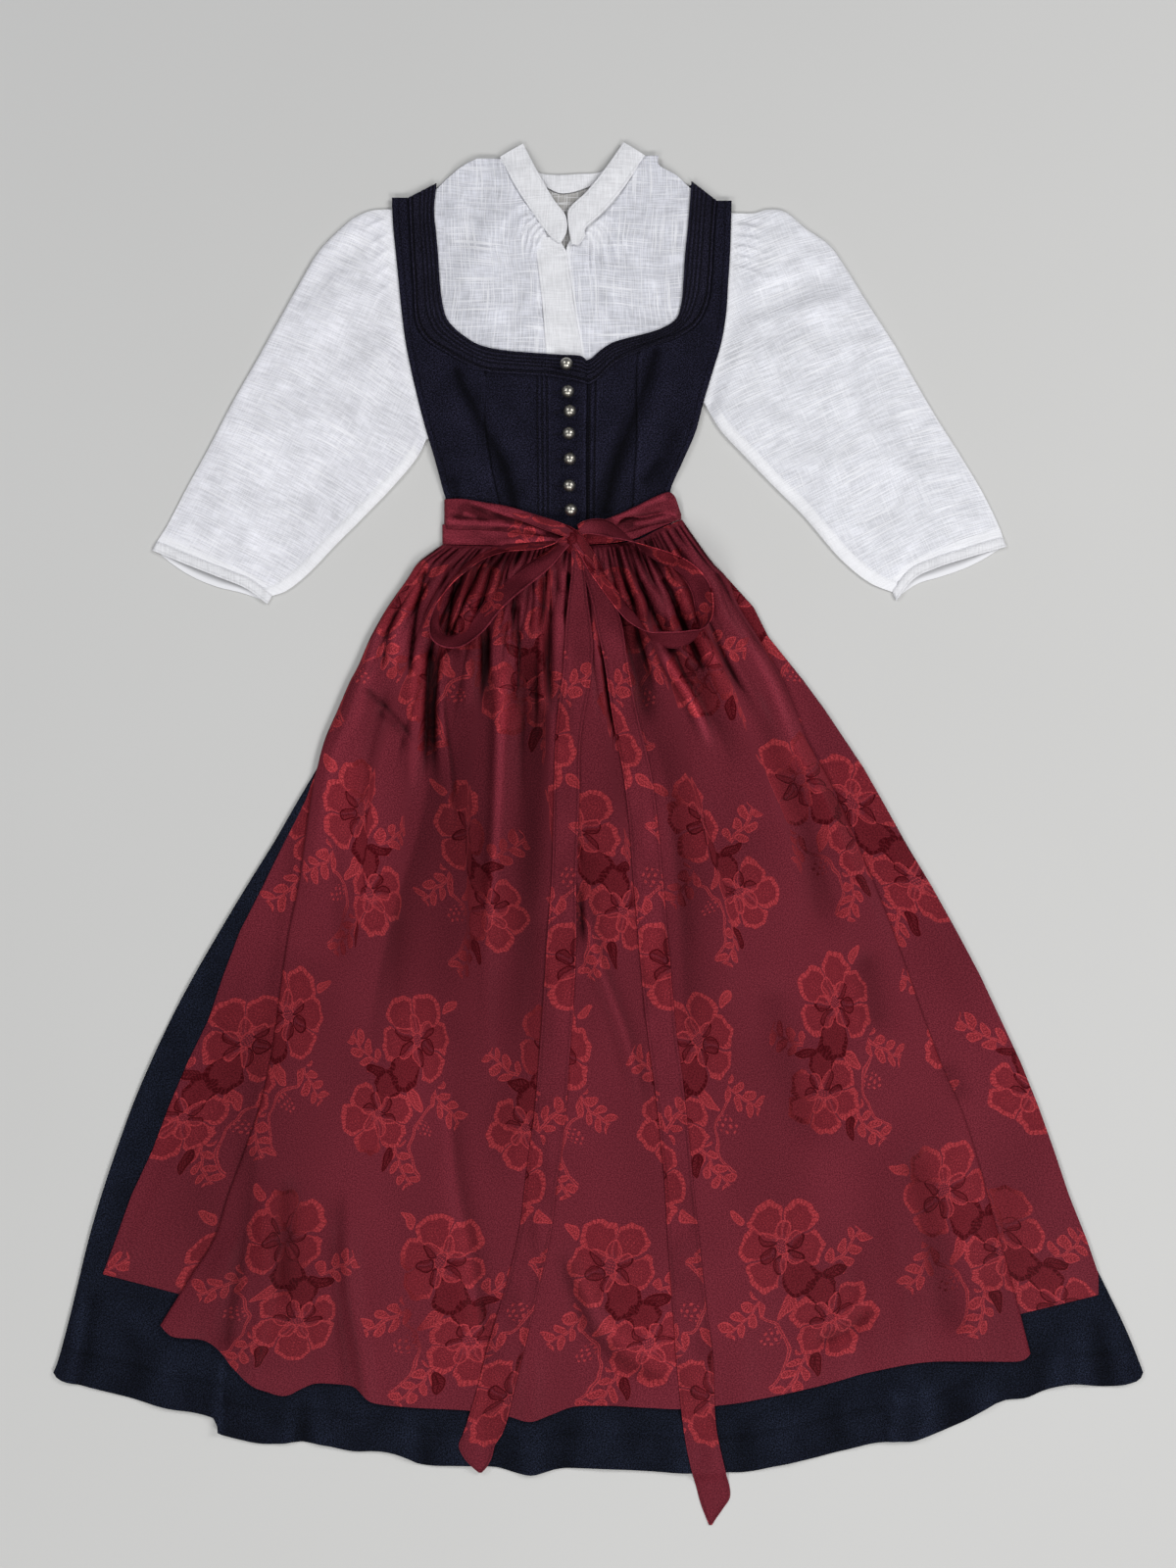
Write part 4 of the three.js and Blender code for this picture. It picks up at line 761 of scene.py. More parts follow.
    def union(xs):
        r = xs[0]
        for k in xs[1:]:
            r = m.mx(r, k)
        return r
    th, pe, dk = union(threads), union(petals), union(darks)
    for c0, seed, fan in (c1, c2):
        open_ = m.ramp(c0, -0.3, 0.4)
        th = m.mx(m.mul(m.mx(th, fan), open_), m.mx(m.mul(m.sub(1.0, open_), seed), m.ramp(m.ab(c0), 0.5, 1.1, 1.0, 0.0)))
    return th, pe, dk


def mat_satin(name, seed=0.0, dim=1.0, offset=(0.0, 0.0), rot=0.0, painted_shading=False):
    m = Mat(name)
    u, v, _ = m.sep(m.uv())
    if rot:
        c, s = math.cos(rot), math.sin(rot)
        u, v = m.add(m.mul(u, c), m.mul(v, s)), m.sub(m.mul(v, c), m.mul(u, s))
    u = m.add(u, offset[0])
    v = m.add(v, offset[1])
    th, pe, dk = jacquard(m, u, v)
    grain = m.noise2(m.mul(u, 0.72), m.mul(v, 0.72), seed, 2.0, 0.85)
    k = dim
    g = m.ramp(grain, 0.33, 0.70)
    ground = m.mixc(g, (0.074 * k, 0.0076 * k, 0.0140 * k), (0.176 * k, 0.0240 * k, 0.0365 * k))
    petal = m.mixc(g, (0.100 * k, 0.0072 * k, 0.0120 * k), (0.225 * k, 0.0210 * k, 0.0290 * k))
    bright = m.mixc(g, (0.205 * k, 0.0140 * k, 0.0200 * k), (0.480 * k, 0.0580 * k, 0.0680 * k))
    dark = m.mixc(g, (0.020 * k, 0.0004 * k, 0.0014 * k), (0.070 * k, 0.0022 * k, 0.0050 * k))
    if painted_shading:
        # painted sheen: where the mesh's 'flip' value is set the bright figure is painted dark, as satin turned from
        # the light shows
        th_col = m.mixc(m.math("MAXIMUM", m.attr("flip"), dk, clamp=True), bright, dark)
    else:
        th_col = m.mixc(dk, bright, dark)
    col = m.mixc(m.mul(pe, 0.72), ground, petal)
    col = m.mixc(m.mul(m.mul(dk, pe), 0.32), col, dark)
    col = m.mixc(m.mul(th, 0.86), col, th_col)
    if painted_shading:
        # painted shade: darkened towards deep red where the mesh's 'deep' value is high, then painted light and shade
        # from its 'shade' value
        col = m.mixc(1.0, col, m.mixc(m.math("MULTIPLY", m.attr("deep"), 1.0, clamp=True), (1.0, 1.0, 1.0), (0.14, 0.06, 0.08)), "MULTIPLY")
        col = m.shaded(col, "shade", 1.0)
    m.set(color=col, rough=m.mixf(th, 0.44, 0.36), spec=0.065, sheen=0.012, sheen_rough=0.35, sheen_tint=(0.9, 0.25, 0.4), spec_tint=(1.0, 0.5, 0.58))
    m.bump(m.add(m.mul(grain, 0.8), m.mul(th, 0.5)), 0.45, 0.0003)
    return m.m


def mat_silver(name):
    m = Mat(name)
    o = m.scale(m.obj(), (1000, 1000, 1000))
    n = m.noise(o, 0.7, 3.0, 0.6)
    fine = m.noise(o, 4.0, 2.0, 0.6)
    col = m.mixc(m.ramp(n, 0.30, 0.7), (0.29, 0.272, 0.235), (0.52, 0.505, 0.46))
    m.set(color=col, metal=1.0, rough=m.mixf(n, 0.40, 0.32), spec=0.5)
    m.bump(m.add(m.mul(n, 0.4), m.mul(fine, 0.3)), 0.10, 0.0001)
    return m.m


def mat_floor():
    m = Mat("floor_paper")
    o = m.scale(m.obj(), (1, 1, 1))
    n = m.noise(o, 1.1, 3.0, 0.55)
    f = m.noise(o, 900.0, 2.0, 0.6)
    m.set(color=m.mixc(n, (0.555, 0.555, 0.548), (0.600, 0.602, 0.598)), rough=0.92, spec=0.12)
    m.bump(f, 0.12, 0.0002)
    return m.m


WOOL_M = mat_wool("wool_twill")
WOOL_BODICE = mat_wool("wool_twill_bodice", (0.0066, 0.0064, 0.0134), 3.0)
WOOL_BAND = mat_wool("wool_twill_band", (0.0070, 0.0066, 0.0130), 6.0)
SATIN_M = mat_satin("jacquard_apron", 0.0, offset=(0.0, 4.0), painted_shading=True)
SATIN_TIE = mat_satin("jacquard_ties", 4.0, offset=(38.0, 22.0), rot=0.0, painted_shading=True)
SATIN_BAND = mat_satin("jacquard_band", 7.0, offset=(20.0, 62.0), rot=math.pi / 2, painted_shading=True)
VOILE_BODY = mat_voile("voile_body", base=(0.645, 0.655, 0.72), weft=0.8, warp=0.8, depth=1.05)
VOILE_L = mat_voile("voile_sleeve_left", base=(0.765, 0.77, 0.83), weft=1.0, warp=0.45, depth=0.85)
# the right sleeve is the same voile as the left, painted darker: painted shade
VOILE_R_SHADED = mat_voile("voile_sleeve_right_shaded", base=(0.725, 0.735, 0.79), weft=1.0, warp=0.45, depth=0.85)
VOILE_BAND = mat_voile("voile_band", base=(0.765, 0.77, 0.805), weft=0.6, warp=0.8, depth=0.6)
SILVER = mat_silver("antique_silver")
THREAD_K = mat_thread("thread_black", (0.012, 0.011, 0.017))
THREAD_W = mat_thread("thread_white", (0.75, 0.76, 0.78))
THREAD_R = mat_thread("thread_burgundy", (0.20, 0.02, 0.035))

PIECES = {}


def finish_piece(o, mat, nodes=()):
    o.data.materials.clear()
    o.data.materials.append(mat)
    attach(o, "root")
    if nodes:
        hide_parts(*nodes)
    PIECES[o.name] = o
    return o


# --------------------------------------------------------------------------
# Height map of what lies below, so that later layers rest on earlier ones
# --------------------------------------------------------------------------
GX0, GY0, GX1, GY1 = -600, -730, 620, 730
HM = np.zeros((GY1 - GY0 + 1, GX1 - GX0 + 1))


def lay_down(X, Y, Z):
    """Record upper surface heights of a piece in the height map."""
    ix = np.round(X - GX0).astype(int).ravel()
    iy = np.round(Y - GY0).astype(int).ravel()
    ok = (ix >= 0) & (ix < HM.shape[1]) & (iy >= 0) & (iy < HM.shape[0])
    np.maximum.at(HM, (iy[ok], ix[ok]), Z.ravel()[ok])


def close_gaps(r=2):
    global HM
    out = HM.copy()
    for dy in range(-r, r + 1):
        for dx in range(-r, r + 1):
            if dx * dx + dy * dy <= r * r + 1:
                out = np.maximum(out, np.roll(np.roll(HM, dy, 0), dx, 1))
    HM = out


def blur(A, r):
    k = np.exp(-0.5 * (np.arange(-3 * r, 3 * r + 1) / r) ** 2)
    k /= k.sum()
    A = np.apply_along_axis(lambda q: np.convolve(q, k, "same"), 0, A)
    return np.apply_along_axis(lambda q: np.convolve(q, k, "same"), 1, A)


def sample(M, X, Y):
    fx, fy = np.clip(X - GX0, 0, M.shape[1] - 1.001), np.clip(Y - GY0, 0, M.shape[0] - 1.001)
    ix, iy = fx.astype(int), fy.astype(int)
    tx, ty = fx - ix, fy - iy
    return (M[iy, ix] * (1 - tx) * (1 - ty) + M[iy, ix + 1] * tx * (1 - ty)
            + M[iy + 1, ix] * (1 - tx) * ty + M[iy + 1, ix + 1] * tx * ty)


# --------------------------------------------------------------------------
# Skirt
# --------------------------------------------------------------------------
SKIRT_LEFT = [(-150, 303), (-180, 276), (-201, 246), (-228, 201), (-249, 156), (-276, 96), (-306, 36), (-332, -9),
              (-360, -54), (-387, -99), (-413, -144), (-437, -189), (-458, -234), (-477, -279), (-493, -324),
              (-508, -369), (-521, -414), (-532, -459), (-543, -504), (-553, -540), (-557, -550)]
SKIRT_RIGHT = [(76, 303), (124, 276), (143, 246), (169, 201), (205, 156), (247, 96), (284, 36), (309, -9), (336, -54),
               (361, -99), (385, -144), (406, -189), (427, -234), (445, -279), (461, -324), (476, -369), (494, -414),
               (516, -459), (532, -492), (544, -519), (553, -542), (556, -550)]
SKIRT_HEM = [(-557, -550), (-552, -557), (-524, -564.5), (-479, -576), (-440, -587), (-412, -591), (-389, -597),
             (-388.5, -613), (-367, -618.6), (-346.5, -622.7), (-324, -622.7), (-306, -620.6), (-279, -624.7),
             (-251, -630.5), (-227, -630.5), (-211, -632.8), (-195, -638), (-181.5, -644), (-133, -645.6),
             (-103.4, -647), (-87, -652), (-69, -655), (-55, -652), (-41.4, -648.4), (4, -648.4), (50, -650.7),
             (89, -653), (129, -652), (149, -652), (179, -646), (213, -639), (262, -626.6), (280.6, -622),
             (302, -620.4), (320, -620.4), (333, -616), (357, -607), (375.5, -599), (391, -590), (412, -579),
             (437, -576), (461, -566), (486, -562), (516, -564.4), (544, -561), (553, -557), (556, -550)]
SKIRT_FOLDS = [
    # the stepped pleat on the left: its edge lies over the next panel
    dict(kind="L", line=[(-389, -625), (-386, -590), (-380, -530), (-372, -480)], w=5, rise=5.5, start=0, end=0.5),
    dict(kind="G", line=[(-402, -640), (-396, -560), (-388, -500)], w=7, rise=1.2, start=0),
    dict(kind="V", line=[(-531, -560), (-524, -530), (-514, -454)], w=5, rise=2.2, start=0),
    dict(kind="R", line=[(-540, -560), (-534, -520), (-523, -454)], w=5, rise=1.6, start=0),
    dict(kind="G", line=[(-479, -590), (-470, -500)], w=16, rise=1.3, start=0),
    dict(kind="R", line=[(-448, -595), (-430, -500)], w=15, rise=1.4, start=0),
    dict(kind="V", line=[(-303, -630), (-303, -574)], w=5, rise=3.0, start=0),
    dict(kind="R", line=[(-318, -630), (-314, -570)], w=8, rise=1.8, start=0),
    dict(kind="R", line=[(-284, -630), (-288, -570)], w=9, rise=1.6, start=0),
    dict(kind="V", line=[(-178, -650), (-179, -595)], w=3.5, rise=2.0, start=0),
    dict(kind="R", line=[(-196, -645), (-194, -585)], w=10, rise=1.6, start=0),
    dict(kind="R", line=[(-135, -650), (-140, -590)], w=14, rise=1.3, start=0),
    dict(kind="G", line=[(-92, -660), (-98, -590)], w=9, rise=1.5, start=0),
    dict(kind="R", line=[(-68, -662), (-70, -600)], w=10, rise=2.0, start=0),
    dict(kind="G", line=[(-35, -655), (-32, -590)], w=10, rise=1.3, start=0),
    dict(kind="R", line=[(12, -655), (10, -590)], w=16, rise=1.2, start=0),
    dict(kind="R", line=[(90, -658), (86, -590)], w=18, rise=1.4, start=0),
    dict(kind="G", line=[(150, -655), (146, -585)], w=12, rise=1.4, start=0),
    dict(kind="R", line=[(190, -650), (186, -575)], w=14, rise=1.3, start=0),
    dict(kind="G", line=[(240, -640), (236, -565)], w=12, rise=1.4, start=0),
    dict(kind="L", line=[(301, -560), (299, -600), (295, -630)], w=4, rise=3.0, start=0.3, end=0),
    dict(kind="R", line=[(330, -630), (334, -555)], w=12, rise=1.8, start=0),
    dict(kind="G", line=[(365, -620), (368, -545)], w=12, rise=1.6, start=0),
    dict(kind="R", line=[(396, -600), (398, -540)], w=11, rise=1.5, start=0),
    dict(kind="V", line=[(449, -580), (446, -520), (440, -500)], w=6, rise=1.8, start=0),
    dict(kind="R", line=[(470, -575), (464, -505)], w=12, rise=1.6, start=0),
    dict(kind="R", line=[(492, -572), (486, -500)], w=9, rise=1.4, start=0),
    dict(kind="G", line=[(515, -570), (506, -480)], w=8, rise=1.4, start=0),
    dict(kind="R", line=[(536, -565), (520, -470)], w=8, rise=1.5, start=0),
]
APRON_COVER = [(-600, -452), (-506, -449), (-493, -456), (-467, -476), (-449, -505), (-436, -511), (-401, -516),
               (-386, -527), (-374, -543), (-352, -564), (-320, -573), (-289, -560), (-249, -564), (-231, -579),
               (-133, -588), (-70, -599), (-26, -584), (9, -583), (89, -586), (147, -579), (220, -564), (276, -549),
               (329, -539), (433, -536), (441, -531), (471, -500), (511, -474), (620, -474)]


def build_skirt():
    us = edge_steps(196, 1100)
    vs0 = np.linspace(0, 1, 129)
    vs = np.unique(np.concatenate([vs0 ** 0.62, [0.9985, 0.9992]]))
    if len(vs) % 2 == 0:
        vs = np.insert(vs, 1, vs[1] / 2)
    top = Line([(-150, 303), (76, 303)])
    hem = Line(SKIRT_HEM, corners=(6, 7))
    tuck = lambda y: 16 * float(sstep(60, 150, y))
    left = Line([(x + tuck(y), y) for x, y in SKIRT_LEFT])
    right = Line([(x - tuck(y) - 14 * float(sstep(170, 240, y)), y) for x, y in SKIRT_RIGHT])
    top = Line([(-134, 303), (60, 303)])
    X, Y = patch(top, hem, left, right, us, vs)
    cover = np.interp(X, [c[0] for c in APRON_COVER], [c[1] for c in APRON_COVER])
    show = sstep(cover + 6, cover - 42, Y)
    side = 1 - sstep(0, 20, Y - (-452) + 0 * X)
    left_sliver = sstep(-40, 0, -X) * (1 - sstep(0, 26, X - np.interp(Y, [q[1] for q in SKIRT_LEFT][::-1], [q[0] for q in SKIRT_LEFT][::-1])))
    h = 1.2 + folds(X, Y, SKIRT_FOLDS) + 0.5 * fbm(X / 55, Y / 90) + 0.15 * fbm(X / 12, Y / 16, 2, N2)
    # long soft pleats showing along the left edge
    soft = 0.9 + 0.7 * fbm(X / 30 + Y / 140, Y / 220, 2, N3)
    H = np.maximum(h, 0) * show + soft * left_sliver * (1 - show)
    H = np.maximum(H, 0)
    rim = round_rim(us, vs, 1100, 940, WOOL)
    # turned hem: a faint ridge where the hem is folded up, 32 mm from its edge
    dv = (1 - vs[:, None]) * 930
    H = H + 0.35 * show * np.exp(-((dv - 34) / 1.6) ** 2) * (0.6 + 0.4 * fbm(X / 40, Y / 40)) * 0.6
    Z = FRONT_BASE + H
    # painted light and shade: crests lighter, hollows darker, slopes rising to the right darker, and a painted shadow
    # line beside the turned hem's ridge
    shade = np.clip(0.30 * (H - soften(soften(H, 6, 1), 2, 0)), -0.5, 0.5) - 0.10 * np.clip(np.gradient(H, axis=1) / np.gradient(X, axis=1) * 6, -1.5, 1.5)
    shade = shade - 0.35 * np.exp(-((dv - 31) / 1.4) ** 2) * show
    o = flat_piece("skirt_front_cloth", X, Y, Z, WOOL, np.stack([X, Y], -1), rim, attrs={"shade": np.clip(shade, -0.7, 0.7)})
    finish_piece(o, WOOL_M, ["skirt_front"])
    lay_down(X, Y, Z + WOOL)
    # back
    us, vs = edge_steps(70, 1100), edge_steps(60, 930)
    ins = 2.6
    X, Y = patch(Line([(-150 + ins, 303), (60 - ins, 303)]),
                 Line([(x * (1 - ins / 557), y + ins) for x, y in SKIRT_HEM], corners=(6, 7)),
                 Line([(x + ins, y + (ins if y < -540 else 0)) for x, y in SKIRT_LEFT]),
                 Line([(x - ins - 16 * float(sstep(150, 230, y)), y + (ins if y < -540 else 0)) for x, y in SKIRT_RIGHT]), us, vs)
    o = flat_piece("skirt_back_cloth", X, Y, np.zeros_like(X), WOOL, np.stack([X, Y], -1), round_rim(us, vs, 1100, 930, WOOL))
    finish_piece(o, WOOL_M, ["skirt_back"])


# --------------------------------------------------------------------------
# Apron
# --------------------------------------------------------------------------
APRON_SIDES = [  # y, outer left, front left, front right, outer right
    (295, -152, -160, 85, 78), (276, -180, -184, 116, 112), (261, -186, -194, 130, 131), (231, -207, -215, 143, 158),
    (201, -224, -232, 162, 173), (171, -243, -245, 180, 197), (156, -245, -253, 188, 209), (126, -262, -266, 200, 231),
    (96, -274, -279, 212, 251), (66, -288, -287, 229, 271), (36, -299, -293, 244, 288), (-9, -321, -299.5, 263, 313),
    (-54, -343, -306, 282, 340), (-99, -366, -315.5, 300, 365), (-144, -383, -322.5, 316, 389), (-189, -398, -328.5, 332, 410),
    (-234, -420, -335.5, 349, 431), (-279, -439, -346, 369, 449), (-324, -456, -361.5, 384, 465), (-369, -477, -378, 396.5, 480),
    (-414, -493, -392.5, 409, 498), (-449, -506, -414.5, 419, 510), (-501, -506, -447, 432, 510),
]
APRON_TOP = [(-160, 294.5), (-119, 293.5), (-71, 293.5), (-40, 294.5), (0, 294.5), (38, 299.5), (59, 309.5), (84.5, 320.5)]
APRON_HEM = [(-447, -501), (-436, -511), (-401, -516), (-386, -527), (-374, -543), (-352, -564), (-343, -567.5), (-320, -573),
             (-302, -565), (-289, -560), (-261, -562), (-249, -564), (-231, -579), (-182, -585), (-133, -588), (-92, -594),
             (-70, -599), (-48, -592), (-26, -584), (9, -583), (50, -585), (89, -586), (147, -579), (220, -564), (276, -549),
             (329, -539), (380, -537), (433, -536), (440, -530)]

APRON_FOLDS = [
    # pleats below the gathers
    dict(kind="V", line=[(-176, 272), (-188, 210), (-193, 150)], w=5, rise=8.5, start=0.05),
    dict(kind="V", line=[(-198, 262), (-214, 205), (-222, 160)], w=6, rise=6.0, start=0.05),
    dict(kind="W", line=[(-163, 215), (-170, 150), (-172, 90), (-171, 40)], w=8, rise=6.5, start=0.25, end=0.45),
    dict(kind="L", line=[(-147, -10), (-152, 60), (-160, 130), (-163, 180)], w=5, rise=4.5, start=0.3, end=0.3),
    dict(kind="R", line=[(-186, 200), (-188, 110), (-190, 30)], w=7, rise=3.6),
    dict(kind="W", line=[(-120, 245), (-116, 200), (-115, 130)], w=6, rise=4.5, start=0.15, end=0.5),
    dict(kind="R", line=[(-134, 240), (-135, 190), (-130, 120)], w=8, rise=3.4),
    dict(kind="R", line=[(-94, 232), (-98, 150), (-102, 84), (-106, -7), (-114, -149), (-117, -309), (-126, -345)], w=8, rise=6.0, end=0.6),
    dict(kind="W", line=[(-84, 240), (-86, 180)], w=5, rise=4.5, start=0.2, end=0.4),
    dict(kind="W", line=[(-66, 226), (-66, 140), (-68, 60), (-72, -30)], w=17, rise=5.5, start=0.12, end=0.6),
    dict(kind="R", line=[(-62, 242), (-60, 180), (-57, 120)], w=4.5, rise=6.0),
    dict(kind="V", line=[(-49, 262), (-49, 180), (-47, 110)], w=4.5, rise=7.0, start=0.1, end=0.4),
    dict(kind="R", line=[(-40, 250), (-44, 200), (-44, 150)], w=6, rise=3.6),
    dict(kind="W", line=[(-29, 268), (-32, 240), (-33, 205)], w=4, rise=5.0, start=0.1, end=0.4),
    dict(kind="V", line=[(4, 205), (10, 150), (18, 96)], w=3.4, rise=8.0, start=0.15, end=0.3),
    dict(kind="V", line=[(-20, 10), (-18, -60), (-16, -115)], w=2.8, rise=5.0, start=0.2),
    dict(kind="W", line=[(22, 262), (30, 215), (44, 160), (54, 100)], w=11, rise=6.5, start=0.1, end=0.6),
    dict(kind="R", line=[(52, 212), (72, 170), (92, 140), (118, 78)], w=5, rise=7.0, start=0.15, end=0.35),
    dict(kind="V", line=[(42, 262), (56, 225), (76, 178)], w=4.5, rise=7.0, start=0.1),
    dict(kind="R", line=[(52, 258), (74, 214), (96, 172)], w=6, rise=4.0),
    dict(kind="V", line=[(64, 262), (86, 214), (110, 160)], w=5, rise=7.0, start=0.05),
    dict(kind="R", line=[(76, 262), (100, 210), (124, 162)], w=6, rise=3.6),
    dict(kind="V", line=[(92, 266), (118, 205), (136, 165), (176, 104)], w=7, rise=7.5, start=0.05, end=0.45),
    dict(kind="R", line=[(100, 250), (128, 195), (150, 150), (176, 100)], w=7, rise=3.6),
    dict(kind="V", line=[(118, 268), (150, 214), (170, 180)], w=5, rise=6.0, start=0.05),
    dict(kind="R", line=[(128, 250), (165, 180), (205, 110), (240, 40)], w=9, rise=3.4, end=0.5),
    dict(kind="V", line=[(-240, 151), (-226, 138), (-207, 120), (-185, 92)], w=4, rise=3.6),
    dict(kind="G", line=[(-226, 128), (-204, 108)], w=5, rise=2.0),
    dict(kind="R", line=[(-236, 142), (-205, 114), (-180, 82)], w=5, rise=2.8),
    dict(kind="R", line=[(-225, 205), (-245, 130), (-262, 60)], w=9, rise=2.8, end=0.5),
    dict(kind="G", line=[(-205, 180), (-228, 95), (-240, 20), (-250, -80)], w=9, rise=3.0, end=0.5),
    dict(kind="V", line=[(-146, 262), (-152, 225), (-158, 190)], w=4, rise=6.5, start=0.1),
    dict(kind="R", line=[(-158, 262), (-168, 225), (-176, 190)], w=5, rise=3.0),
    # the middle
    dict(kind="R", line=[(-24, 11), (-6, -109), (11, -159), (29, -209), (42, -266), (44, -309)], w=6, rise=3.2),
    dict(kind="G", line=[(-34, 0), (-20, -110), (0, -165), (18, -215), (30, -280)], w=7, rise=1.8),
    dict(kind="G", line=[(74, 51), (86, -50), (96, -134)], w=12, rise=2.6),
    dict(kind="G", line=[(194, 81), (218, -20), (239, -109)], w=17, rise=3.4),
    dict(kind="R", line=[(165, 80), (190, -10), (205, -100)], w=13, rise=2.0),
    dict(kind="G", line=[(174, -139), (196, -240), (214, -329)], w=18, rise=2.8),
    dict(kind="R", line=[(238, -60), (256, -160), (270, -260)], w=14, rise=1.8),
    dict(kind="G", line=[(259, -119), (286, -165), (294, -209)], w=14, rise=2.6),
    dict(kind="G", line=[(350, -225), (364, -260), (372, -300)], w=10, rise=2.2),
    dict(kind="G", line=[(300, -20), (318, -70), (330, -120)], w=9, rise=1.6),
    dict(kind="G", line=[(-262, 20), (-266, -60), (-262, -150)], w=13, rise=2.4),
    dict(kind="R", line=[(-236, -20), (-238, -110), (-232, -200)], w=13, rise=1.8),
    dict(kind="G", line=[(-205, -60), (-204, -150), (-196, -240)], w=12, rise=1.8),
    dict(kind="G", line=[(-60, -60), (-66, -160), (-70, -260)], w=12, rise=2.0),
    dict(kind="R", line=[(110, 20), (124, -80), (132, -180)], w=13, rise=1.6),
    # towards the hem
    dict(kind="L", line=[(-119, -525), (-133, -422), (-146, -355), (-159, -266)], w=6, rise=3.4, start=0.15, end=0.4),
    dict(kind="G", line=[(-168, -260), (-158, -350), (-144, -430), (-132, -540)], w=10, rise=1.6),
    dict(kind="R", line=[(-258, -355), (-253, -467), (-242, -529), (-235, -585)], w=9, rise=4.0, start=0.3, end=0),
    dict(kind="G", line=[(-272, -390), (-268, -470), (-258, -570)], w=9, rise=2.2, end=0),
    dict(kind="G", line=[(-42, -419), (-24, -467), (-2, -516), (52, -552), (83, -558)], w=12, rise=2.6),
    dict(kind="R", line=[(-28, -400), (-4, -450), (24, -500), (70, -530)], w=10, rise=1.4),
    dict(kind="G", line=[(217, -520), (253, -507), (281, -481)], w=7, rise=2.2),
    dict(kind="R", line=[(222, -508), (250, -494), (272, -470)], w=6, rise=1.4),
    dict(kind="G", line=[(319, -309), (345, -410), (364, -519)], w=16, rise=3.6),
    dict(kind="R", line=[(286, -320), (306, -420), (318, -530)], w=14, rise=2.0, end=0.1),
    dict(kind="G", line=[(389, -299), (405, -350), (429, -409)], w=11, rise=2.6),
    dict(kind="G", line=[(364, -240), (368, -262)], w=8, rise=1.6),
    dict(kind="G", line=[(-316, -339), (-322, -410), (-322, -479)], w=11, rise=2.6),
    dict(kind="V", line=[(-343, -309), (-349, -338), (-356, -400), (-365, -445), (-374, -485), (-378, -530)], w=7, rise=4.2, end=0.1),
    dict(kind="R", line=[(-343, -345), (-338, -463), (-351, -525), (-354, -564)], w=9, rise=3.2, end=0.05),
    dict(kind="R", line=[(-372, -400), (-388, -460), (-402, -516)], w=9, rise=2.0, end=0.05),
    dict(kind="R", line=[(-190, -480), (-186, -590)], w=13, rise=1.6, start=0.4, end=0),
    dict(kind="R", line=[(-70, -500), (-70, -602)], w=12, rise=2.2, start=0.4, end=0),
    dict(kind="R", line=[(140, -470), (146, -585)], w=16, rise=1.5, start=0.4, end=0),
    dict(kind="R", line=[(-290, -470), (-289, -565)], w=8, rise=1.0, start=0.4, end=0),
    dict(kind="G", line=[(400, -420), (410, -540)], w=12, rise=1.4, start=0.4, end=0),
    dict(kind="G", line=[(240, -360), (262, -450), (268, -555)], w=12, rise=1.5, start=0.4, end=0),
]
SIDE_FOLDS = [
    dict(kind="R", line=[(-300, 10), (-329, -88), (-369, -186), (-414, -302), (-463, -400), (-480, -450)], w=7, rise=2.6, start=0.2, end=0.1),
    dict(kind="G", line=[(-330, -40), (-352, -150), (-392, -280), (-432, -400)], w=7, rise=1.6),
    dict(kind="R", line=[(190, 170), (260, 40), (330, -80), (400, -230), (470, -420)], w=9, rise=2.0),
    dict(kind="G", line=[(240, 60), (310, -60), (372, -190), (432, -340), (462, -460)], w=8, rise=2.0),
]
